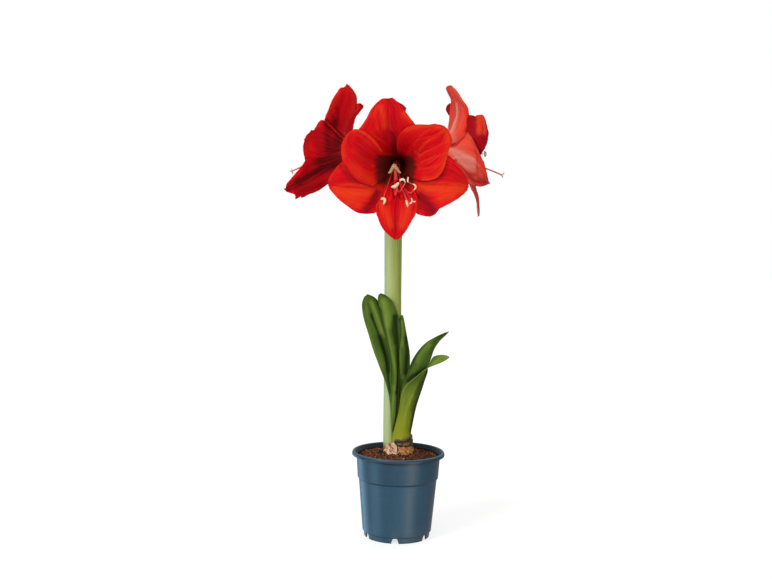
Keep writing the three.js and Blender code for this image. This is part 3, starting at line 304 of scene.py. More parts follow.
# ------------------------------------------------------------------ tables shared with the CAD part, mm in the pot frame
# each leaf row: left edge, centre line, right edge
LEAVES = {
    "leaf_1": [
        [-8.8, -1.7, 121.6, -5.9, -3.5, 121.6, -3.2, -1.7, 121.6],
        [-9.4, -1.6, 131.5, -6.4, -3.5, 131.5, -3.5, -1.6, 131.6],
        [-10.6, -1.9, 152.8, -6.9, -4, 152.8, -3.3, -1.8, 152.9],
        [-11.9, -2.1, 172.6, -7.5, -4.4, 172.7, -3.1, -2, 172.8],
        [-15.3, -2.4, 189.8, -9.7, -4.9, 189.9, -4.1, -2.1, 190],
        [-20.2, -2.7, 205.5, -12.7, -5.4, 205.7, -5.1, -2.3, 205.8],
        [-28, -3, 225.2, -18.1, -5.8, 225.3, -8.2, -2.5, 225.5],
        [-35.4, -3.2, 244.7, -23.6, -6.3, 245, -11.9, -2.7, 245.2],
        [-41.9, -3.5, 264.3, -29.7, -6.7, 264.5, -17.5, -2.9, 264.8],
        [-48.2, -3.8, 283.9, -36, -7.2, 284.1, -23.8, -3.1, 284.3],
        [-51.2, -4.1, 299.5, -39.7, -7.7, 299.7, -28.3, -3.2, 299.9],
        [-50.1, -4.3, 310, -41.2, -8.1, 310.1, -32.4, -3.4, 310.3],
        [-46.6, -4.6, 315.9, -44.3, -8.6, 316, -42, -3.6, 316],
    ],
    "leaf_2": [
        [-8.8, -5.5, 121.6, -6.3, -7.5, 121.6, -3.8, -5.5, 121.6],
        [-9.4, -5.5, 132.2, -6.8, -7.6, 132.2, -4.2, -5.5, 132.3],
        [-10.3, -5.9, 153.5, -6.5, -8.1, 153.6, -2.7, -5.8, 153.7],
        [-11, -6.3, 173.4, -6.4, -8.6, 173.4, -1.9, -6.1, 173.5],
        [-11.8, -6.7, 193.1, -6.9, -9.1, 193.2, -1.9, -6.5, 193.3],
        [-12.5, -7.1, 212.9, -7.3, -9.6, 213, -2.1, -6.8, 213.1],
        [-14.2, -7.5, 232.6, -7.9, -10.1, 232.7, -1.6, -7.1, 232.8],
        [-17.9, -8, 252.2, -9.4, -10.5, 252.3, -1, -7.4, 252.5],
        [-21.2, -8.4, 271.8, -11.3, -11, 271.9, -1.4, -7.7, 272.1],
        [-25.8, -8.8, 290, -14.8, -11.5, 290.2, -3.7, -8, 290.4],
        [-28.8, -9.2, 304.3, -19.4, -12, 304.4, -9.9, -8.4, 304.6],
        [-29.9, -9.6, 313.4, -24, -12.5, 313.5, -18.1, -8.7, 313.5],
        [-29, -10, 318.6, -27.6, -13, 318.6, -26.2, -9, 318.6],
    ],
    "leaf_3": [
        [1.9, 0.4, 121.6, 4.4, -0.9, 121.6, 6.9, 1.4, 121.6],
        [1.8, 0.6, 133.6, 4.4, -0.8, 133.6, 7, 1.6, 133.5],
        [0.5, 0.4, 159.2, 4.1, -1.2, 159.2, 7.7, 1.4, 159.2],
        [-0.6, 0, 179.1, 4, -1.8, 179.1, 8.6, 1, 179.2],
        [-1.7, -1, 199.1, 4.2, -2.6, 199.1, 10.1, 0.4, 199.1],
        [-3.1, -2, 219, 4.6, -4, 219.1, 12.3, -1, 219.2],
        [-4.5, -2.4, 238.7, 3.9, -5, 238.8, 12.2, -1, 238.9],
        [-4.6, -2.4, 258.4, 2.3, -5, 258.5, 9.2, -1, 258.6],
        [-3.8, -2.4, 275.5, 0.8, -4.5, 275.5, 5.4, -1, 275.6],
        [-1.9, -2.4, 286, 0.6, -3.8, 286, 3.1, -1.6, 286.1],
        [0.2, -2.4, 291.3, 0.9, -2.9, 291.3, 1.7, -2.2, 291.3],
    ],
    "leaf_4": [
        [-1.9, -3.3, 121.6, 5.6, -6.1, 121.6, 13.2, -3.3, 121.6],
        [-2.2, -3.2, 133.1, 5.6, -6.2, 133.8, 13.5, -3.2, 134.5],
        [-1.2, -3.4, 147, 6.9, -6.6, 147.8, 15.1, -3.6, 148.5],
        [-0.3, -3.8, 163.9, 7.9, -7.2, 164.1, 16.1, -4.2, 164.3],
        [0.6, -4.6, 182.5, 9.1, -7.8, 180.8, 17.7, -5.2, 179],
        [4.1, -5.2, 199.8, 13.3, -8, 197.4, 22.5, -5.8, 195],
        [9, -5.2, 214.4, 18.2, -8, 211.4, 27.4, -6.2, 208.4],
        [15.2, -5, 232.2, 25, -8, 227, 34.9, -7, 221.8],
        [23.3, -6, 245.6, 31.5, -9, 240.4, 39.7, -9, 235.2],
        [32.8, -8, 256.1, 38, -11, 251.7, 43.3, -11, 247.3],
        [45.5, -11, 264.6, 48.1, -13, 262, 50.6, -13.6, 259.5],
        [61.3, -14.4, 273, 62, -15.2, 272.3, 62.7, -15.2, 271.6],
    ],
    "leaf_5": [
        [-7.6, -8.8, 121.6, 3.9, -14.1, 121.6, 15.5, -7.9, 121.6],
        [-8.1, -9, 132.2, 3.9, -14.5, 135, 15.9, -8, 137.7],
        [-5.6, -10, 145.7, 6, -15, 147, 17.6, -9, 148.3],
        [-1.7, -12, 164, 9.4, -16.5, 164.1, 20.5, -10.6, 164.2],
        [1.1, -14, 181.5, 12.9, -18, 182.2, 24.6, -12, 182.9],
        [5.8, -20, 199.5, 18.2, -19, 199.9, 30.6, -13.5, 200.3],
        [18.9, -27, 213.1, 27.3, -22, 214.7, 35.7, -14.5, 216.3],
        [30.8, -31, 223.8, 33.7, -24, 225, 36.6, -15.5, 226.2],
        [40.8, -33, 229.2, 41.3, -27, 234.2, 41.8, -19, 239.1],
        [51.5, -34, 233.7, 51.9, -31, 238.4, 52.3, -26, 243],
        [62, -34, 239.3, 62.2, -33, 240.7, 62.4, -32, 242.1],
    ],
}
# each tepal: angle, outer whorl, rows of distance out, left edge, right edge, depth change at centre, left and right edge
FLOWERS = {
    "front": {
        "origin": [-10.7, -32.3, 484.8], "dir": [0, -0.9962, -0.0872],
        "foot": [-13.3, -2.6, 440.4], "bend": [[-13, -3.6, 456], [-12.2, -7, 474]], "ovary": -17,
        "stamens": [[19.8, -22.6, 98, -60], [7.4, -16.2, 90, -20], [-2.8, -3.1, 60, 60], [-15.1, -41, 87, 80], [-1.3, -22.7, 92, 20], [13.4, -43.5, 93, 70]],
        "style": [[0, 0, 2.6], [0, -0.6, 24], [-0.3, -3.3, 42], [0.2, -5.8, 54], [9, -26, 86], [18.2, -39.7, 108]],
        "tepals": {
            "top": (94, True, [
                [7.2, 2.2, -3.2, 0, 0, 0],
                [11, 4.3, -5.5, 0, 0, 0],
                [16, 10.4, -10.1, 0, 0, 0],
                [27.7, 23.4, -22.6, 0, 0, 0],
                [38.7, 42.6, -28, -0.2, -0.2, -0.2],
                [49, 40.7, -23.6, -1, -1, -1],
                [58.5, 33, -16.6, -2.4, -2.4, -2.4],
                [66.8, 27.2, -12.4, -4.4, -4.4, -4.4],
                [73.8, 20.4, -6.9, -6.6, -6.6, -6.6],
                [78.3, 12.9, -0.5, -8.4, -8.4, -8.4],
                [79.8, 3.9, 1.5, -9, -9, -9],
            ]),
            "upper_left": (162, False, [
                [7.2, 1.2, -4.2, 0, 0, 0],
                [11, 3.1, -6.7, 0, 0, 0],
                [16, 12.3, -10.2, 0, 0, 0],
                [25.9, 28.1, -14.9, 0, 0, 0],
                [35.1, 33.3, -19, -0.1, -0.1, -0.1],
                [43.8, 30.9, -22.1, -0.5, -0.5, -0.5],
                [51.7, 25.9, -24, -1.1, -1.1, -1.1],
                [58.8, 20, -23.9, -2, -2, -2],
                [64.7, 12.5, -20.2, -2.9, -2.9, -2.9],
                [68.5, 5.8, -12.9, -3.7, -3.7, -3.7],
                [70, 4.6, 2.2, -4, -4, -4],
            ]),
            "upper_right": (24, False, [
                [7.2, 3.5, -1.9, 0, 0, 0],
                [11, 5.8, -4, 0, 0, 0],
                [16, 14.8, -13.2, 0, 0, 0],
                [26.2, 29.8, -29, 0, 0, 0],
                [35.9, 35.6, -30.5, -0.1, -0.1, -0.1],
                [44.9, 33.1, -27, -0.3, -0.3, -0.3],
                [53.2, 29.7, -20.3, -0.8, -0.8, -0.8],
                [60.5, 26.8, -12, -1.5, -1.5, -1.5],
                [66.6, 22.4, -4.8, -2.2, -2.2, -2.2],
                [70.5, 16.1, 2.2, -2.8, -2.8, -2.8],
                [72, 10.1, 7.7, -3, -3, -3],
            ]),
            "lower_left": (197, True, [
                [7.2, 4.3, -1.1, 0, 0, 0],
                [11, 6.9, -2.9, 0, 0, 0],
                [16, 13.8, -6.2, 0, 0, 0],
                [28.7, 28.5, -8, 0, 0, 0],
                [40.8, 44.1, -11.1, -0.1, -0.1, -0.1],
                [52, 44.3, -18.3, -0.8, -0.8, -0.8],
                [62.2, 40.4, -21.9, -2.1, -2.1, -2.1],
                [71.3, 29.8, -18.8, -3.9, -3.9, -3.9],
                [78.9, 16.1, -11.7, -5.9, -5.9, -5.9],
                [83.9, 7.1, -3.2, -7.5, -7.5, -7.5],
                [85.4, 4.4, 2, -8, -8, -8],
            ]),
            "lower_right": (-15, True, [
                [7.2, 0.8, -4.6, 0, 0, 0],
                [11, 2.6, -7.2, 0, 0, 0],
                [16, 6.4, -14.6, 0, 0, 0],
                [29.5, 10.8, -31.5, 0, 0, 0],
                [42.2, 21.4, -44.6, -0.1, -0.1, -0.1],
                [54.1, 28.2, -45.2, -0.7, -0.7, -0.7],
                [65, 26.7, -33.3, -1.8, -1.8, -1.8],
                [74.6, 21.1, -22.8, -3.4, -3.4, -3.4],
                [82.7, 13.4, -14.1, -5.2, -5.2, -5.2],
                [87.9, 5.4, -4.4, -6.6, -6.6, -6.6],
                [89.4, 1.6, -0.8, -7, -7, -7],
            ]),
            "bottom": (-90, False, [
                [7.2, 2.7, -2.7, 0, 0, 0],
                [11, 4.9, -4.9, 0, 0, 0],
                [16, 11.3, -9, 0, 0, 0],
                [29.2, 21, -16, 0, 0, 0],
                [41.6, 24.6, -22.3, 0, 0, 0],
                [53.2, 23.8, -23.8, -0.3, -0.3, -0.3],
                [63.8, 19.1, -19.5, -0.8, -0.8, -0.8],
                [73.3, 13.6, -13.7, -1.4, -1.4, -1.4],
                [81.1, 8.7, -7.5, -2.2, -2.2, -2.2],
                [86.2, 4.3, -2.7, -2.8, -2.8, -2.8],
                [87.7, 1.9, -0.5, -3, -3, -3],
            ]),
        },
    },
    "left": {
        "origin": [-30, 20, 503], "dir": [-0.87, 0.49, -0.03],
        "foot": [-18.4, 7.2, 440.4], "bend": [[-19.2, 8.4, 458], [-20.2, 11.4, 480], [-18.6, 13.6, 494]], "ovary": -10,
        "stamens": [[12, 2, 96, 60], [1, 8, 104, 20], [-9, -4, 108, -20], [-12, -24, 98, 80], [2, -27, 112, -60], [13, -18, 102, 70]],
        "style": [[0, 0, 2.6], [0, 0, 26], [0, 0.5, 60], [-1, -5, 100], [0, -18.3, 143]],
        "tepals": {
            "top": (90, True, [
                [7.2, 2.7, -2.7, 0, 0, 0],
                [11, 4.9, -4.9, 0, 0, 0],
                [16, 9.2, -9.2, 0, 0, 0],
                [30.4, 16.2, -19.8, -3, -3, -3],
                [41.4, 22.1, -27.2, -13.8, -13.8, -13.8],
                [52.4, 25, -31.2, -22.4, -22.4, -22.4],
                [63.5, 25.5, -32.5, -28.9, -28.9, -28.9],
                [72.7, 22, -29.1, -32.8, -32.8, -32.8],
                [81, 15.3, -21.8, -34.9, -34.9, -34.9],
                [87.4, 7.7, -13.2, -35.8, -35.8, -35.8],
                [92, -1, -3.3, -36, -36, -36],
            ]),
            "near_upper": (20, False, [
                [7.2, 4, -1.4, 0, 0, 0],
                [11, 6.4, -3.4, 0, 0, 0],
                [16, 10.6, -7.8, 0, 0, 0],
                [20.8, 18.8, -19.7, 0, 0, 0],
                [28.4, 24.9, -27.6, 0, 0, 0],
                [35.9, 28.3, -31.3, -0.1, -0.1, -0.1],
                [43.5, 28.9, -31.9, -0.2, -0.2, -0.2],
                [49.8, 25.2, -27.8, -0.3, -0.3, -0.3],
                [55.4, 18.1, -20, -0.6, -0.6, -0.6],
                [59.8, 10.1, -11.2, -0.8, -0.8, -0.8],
                [63, 1.2, -1.3, -1, -1, -1],
            ]),
            "near_lower": (-32.5, True, [
                [7.2, 3, -2.4, 0, 0, 0],
                [11, 5.3, -4.5, 0, 0, 0],
                [16, 9.5, -8.9, 0, 0, 0],
                [29.7, 13.4, -18.8, 0, 0, 0],
                [40.5, 17.4, -25.3, 0, 0, 0],
                [51.3, 18.3, -27, 0.2, 0.2, 0.2],
                [62.1, 16.5, -25.3, 1.3, 1.3, 1.3],
                [71.1, 12.4, -20.2, 4, 4, 4],
                [79.2, 7.1, -13.6, 9.4, 9.4, 9.4],
                [85.5, 2.5, -7.8, 16.6, 16.6, 16.6],
                [90, -1.1, -3.3, 24, 24, 24],
            ]),
            "bottom": (-84, False, [
                [7.2, 1.9, -3.5, 0, 0, 0],
                [11, 4, -5.8, 0, 0, 0],
                [16, 8.4, -10, 0, 0, 0],
                [18.5, 12.1, -12.7, 2.9, 2.9, 2.9],
                [25.2, 17, -17, 13, 13, 13],
                [31.9, 19.4, -19.4, 21.4, 21.4, 21.4],
                [38.6, 20, -20, 28, 28, 28],
                [44.2, 17.6, -17.6, 32.3, 32.3, 32.3],
                [49.3, 12.8, -12.8, 35.3, 35.3, 35.3],
                [53.2, 7.2, -7.2, 37, 37, 37],
                [56, 1.1, -1.1, 38, 38, 38],
            ]),
            "far_lower": (210, True, [
                [7.2, 2.7, -2.7, 0, 0, 0],
                [11, 4.9, -4.9, 0, 0, 0],
                [16, 9.2, -9.2, 0, 0, 0],
                [27.1, 18.6, -18.6, 0, 0, 0],
                [36.9, 25.5, -25.5, 0, 0, 0],
                [46.7, 29.1, -29.1, 0, 0, 0],
                [56.6, 30, -30, 0, 0, 0],
                [64.8, 26.4, -26.4, 0, 0, 0],
                [72.2, 19.2, -19.2, 0, 0, 0],
                [77.9, 10.8, -10.8, 0, 0, 0],
                [82, 1.2, -1.2, 0, 0, 0],
            ]),
            "far_upper": (126, False, [
                [7.2, 5.7, 0.3, 0, 0, 0],
                [11, 8.6, -1.2, 0, 0, 0],
                [16, 12.6, -5.8, 0, 0, 0],
                [27.7, 14.1, -10.7, -0.8, -0.8, -0.8],
                [37.8, 16.5, -16.5, -4, -4, -4],
                [47.9, 17.8, -17.8, -7.5, -7.5, -7.5],
                [58, 16.9, -16.9, -11.8, -11.8, -11.8],
                [66.4, 13.5, -13.5, -16.6, -16.6, -16.6],
                [73.9, 8.9, -8.9, -22.2, -22.2, -22.2],
                [79.8, 4.6, -4.6, -27.6, -27.6, -27.6],
                [84, 1.1, -1.1, -32, -32, -32],
            ]),
        },
    },
    "right": {
        "origin": [4, 20, 506], "dir": [0.87, 0.49, -0.03],
        "foot": [-8.2, 7.4, 440.4], "bend": [[-7.4, 8.6, 458], [-6.2, 11.6, 482], [-7.4, 13.8, 496]], "ovary": -10,
        "stamens": [[11, 3, 110, 60], [-3, 6, 121, 20], [-5, -7, 117, -20], [-15, -20, 106, 80], [2, -27, 104, -60], [13, -16, 108, 70]],
        "style": [[0, 0, 2.6], [0, 0, 26], [-1.5, -1, 60], [-9.5, -14.1, 118], [-15, -21.5, 142.6]],
        "tepals": {
            "top": (90, True, [
                [7.2, 2.7, -2.7, 0, 0, 0],
                [11, 4.9, -4.9, 0, 0, 0],
                [16, 9.2, -9.2, 0, 0, 0],
                [30.4, 14.3, -14.3, -0.6, -0.6, -0.6],
                [41.4, 19.6, -19.6, -2.9, -2.9, -2.9],
                [52.4, 22.3, -22.3, -5.6, -5.6, -5.6],
                [63.5, 23, -23, -9.3, -9.3, -9.3],
                [72.7, 20.2, -20.2, -13.6, -13.6, -13.6],
                [81, 14.7, -14.7, -18.7, -18.7, -18.7],
                [87.4, 8.3, -8.3, -23.8, -23.8, -23.8],
                [92, 1.1, -1.1, -28, -28, -28],
            ]),
            "near_upper": (151, False, [
                [7.2, 2.6, -2.8, 0, 0, 0],
                [11, 4.7, -5.1, 0, 0, 0],
                [16, 9.1, -9.3, 0, 0, 0],
                [24.4, 17.6, -19.6, -0.2, -0.2, -0.2],
                [33.3, 24.2, -26.8, -0.8, -0.8, -0.8],
                [42.2, 27.6, -30.6, -1.5, -1.5, -1.5],
                [51.1, 28.5, -31.5, -2.3, -2.3, -2.3],
                [58.5, 25.1, -27.7, -3.2, -3.2, -3.2],
                [65.1, 18.2, -20.2, -4.2, -4.2, -4.2],
                [70.3, 10.3, -11.3, -5.2, -5.2, -5.2],
                [74, 1.1, -1.3, -6, -6, -6],
            ]),
            "near_lower": (201, True, [
                [7.2, 3.8, -1.6, 0, 0, 0],
                [11, 6.3, -3.5, 0, 0, 0],
                [16, 10.5, -7.9, 0, 0, 0],
                [26.7, 14.9, -24.7, 0, 0, 0],
                [36.5, 19.5, -32.9, 0, 0, 0],
                [46.2, 21.9, -33.2, -0.2, -0.2, -0.2],
                [55.9, 22.4, -27.8, -0.7, -0.7, -0.7],
                [64, 20.7, -17.7, -1.4, -1.4, -1.4],
                [71.3, 18.2, -5.7, -2.3, -2.3, -2.3],
                [77, 16.3, 4.6, -3.2, -3.2, -3.2],
                [81, 14.9, 12.4, -4, -4, -4],
            ]),
            "bottom": (-90, False, [
                [7.2, 2.7, -2.7, 0, 0, 0],
                [11, 4.9, -4.9, 0, 0, 0],
                [16, 9.2, -9.2, 0, 0, 0],
                [27.1, 6.2, -6.2, 2.1, 2.1, 2.1],
                [36.9, 8.5, -8.5, 9.6, 9.6, 9.6],
                [46.7, 9.7, -9.7, 15.7, 15.7, 15.7],
                [56.6, 10, -10, 20.4, 20.4, 20.4],
                [64.8, 8.8, -8.8, 23.4, 23.4, 23.4],
                [72.2, 6.4, -6.4, 25.4, 25.4, 25.4],
                [77.9, 3.6, -3.6, 26.5, 26.5, 26.5],
                [82, 1.1, -1.1, 27, 27, 27],
            ]),
            "far_lower": (-30, True, [
                [7.2, 2.7, -2.7, 0, 0, 0],
                [11, 4.9, -4.9, 0, 0, 0],
                [16, 9.2, -9.2, 0, 0, 0],
                [26.4, 18.6, -18.6, 0, 0, 0],
                [36, 25.5, -25.5, 0, 0, 0],
                [45.6, 29.1, -29.1, 0, 0, 0],
                [55.2, 30, -30, 0, 0, 0],
                [63.2, 26.4, -26.4, 0, 0, 0],
                [70.4, 19.2, -19.2, 0, 0, 0],
                [76, 10.8, -10.8, 0, 0, 0],
                [80, 1.2, -1.2, 0, 0, 0],
            ]),
            "far_upper": (60, False, [
                [7.2, -1.1, -6.5, 0, 0, 0],
                [11, 0.3, -9.5, 0, 0, 0],
                [16, 5, -13.4, 0, 0, 0],
                [27.7, 8.9, -13.3, 0, 0, 0],
                [37.8, 14.9, -14.9, 0, 0, 0],
                [47.9, 16, -16, -0.2, -0.2, -0.2],
                [58, 15.2, -15.2, -0.7, -0.7, -0.7],
                [66.4, 12.2, -12.2, -1.4, -1.4, -1.4],
                [73.9, 8, -8, -2.3, -2.3, -2.3],
                [79.8, 4.1, -4.1, -3.2, -3.2, -3.2],
                [84, 1.1, -1.1, -4, -4, -4],
            ]),
        },
    },
}

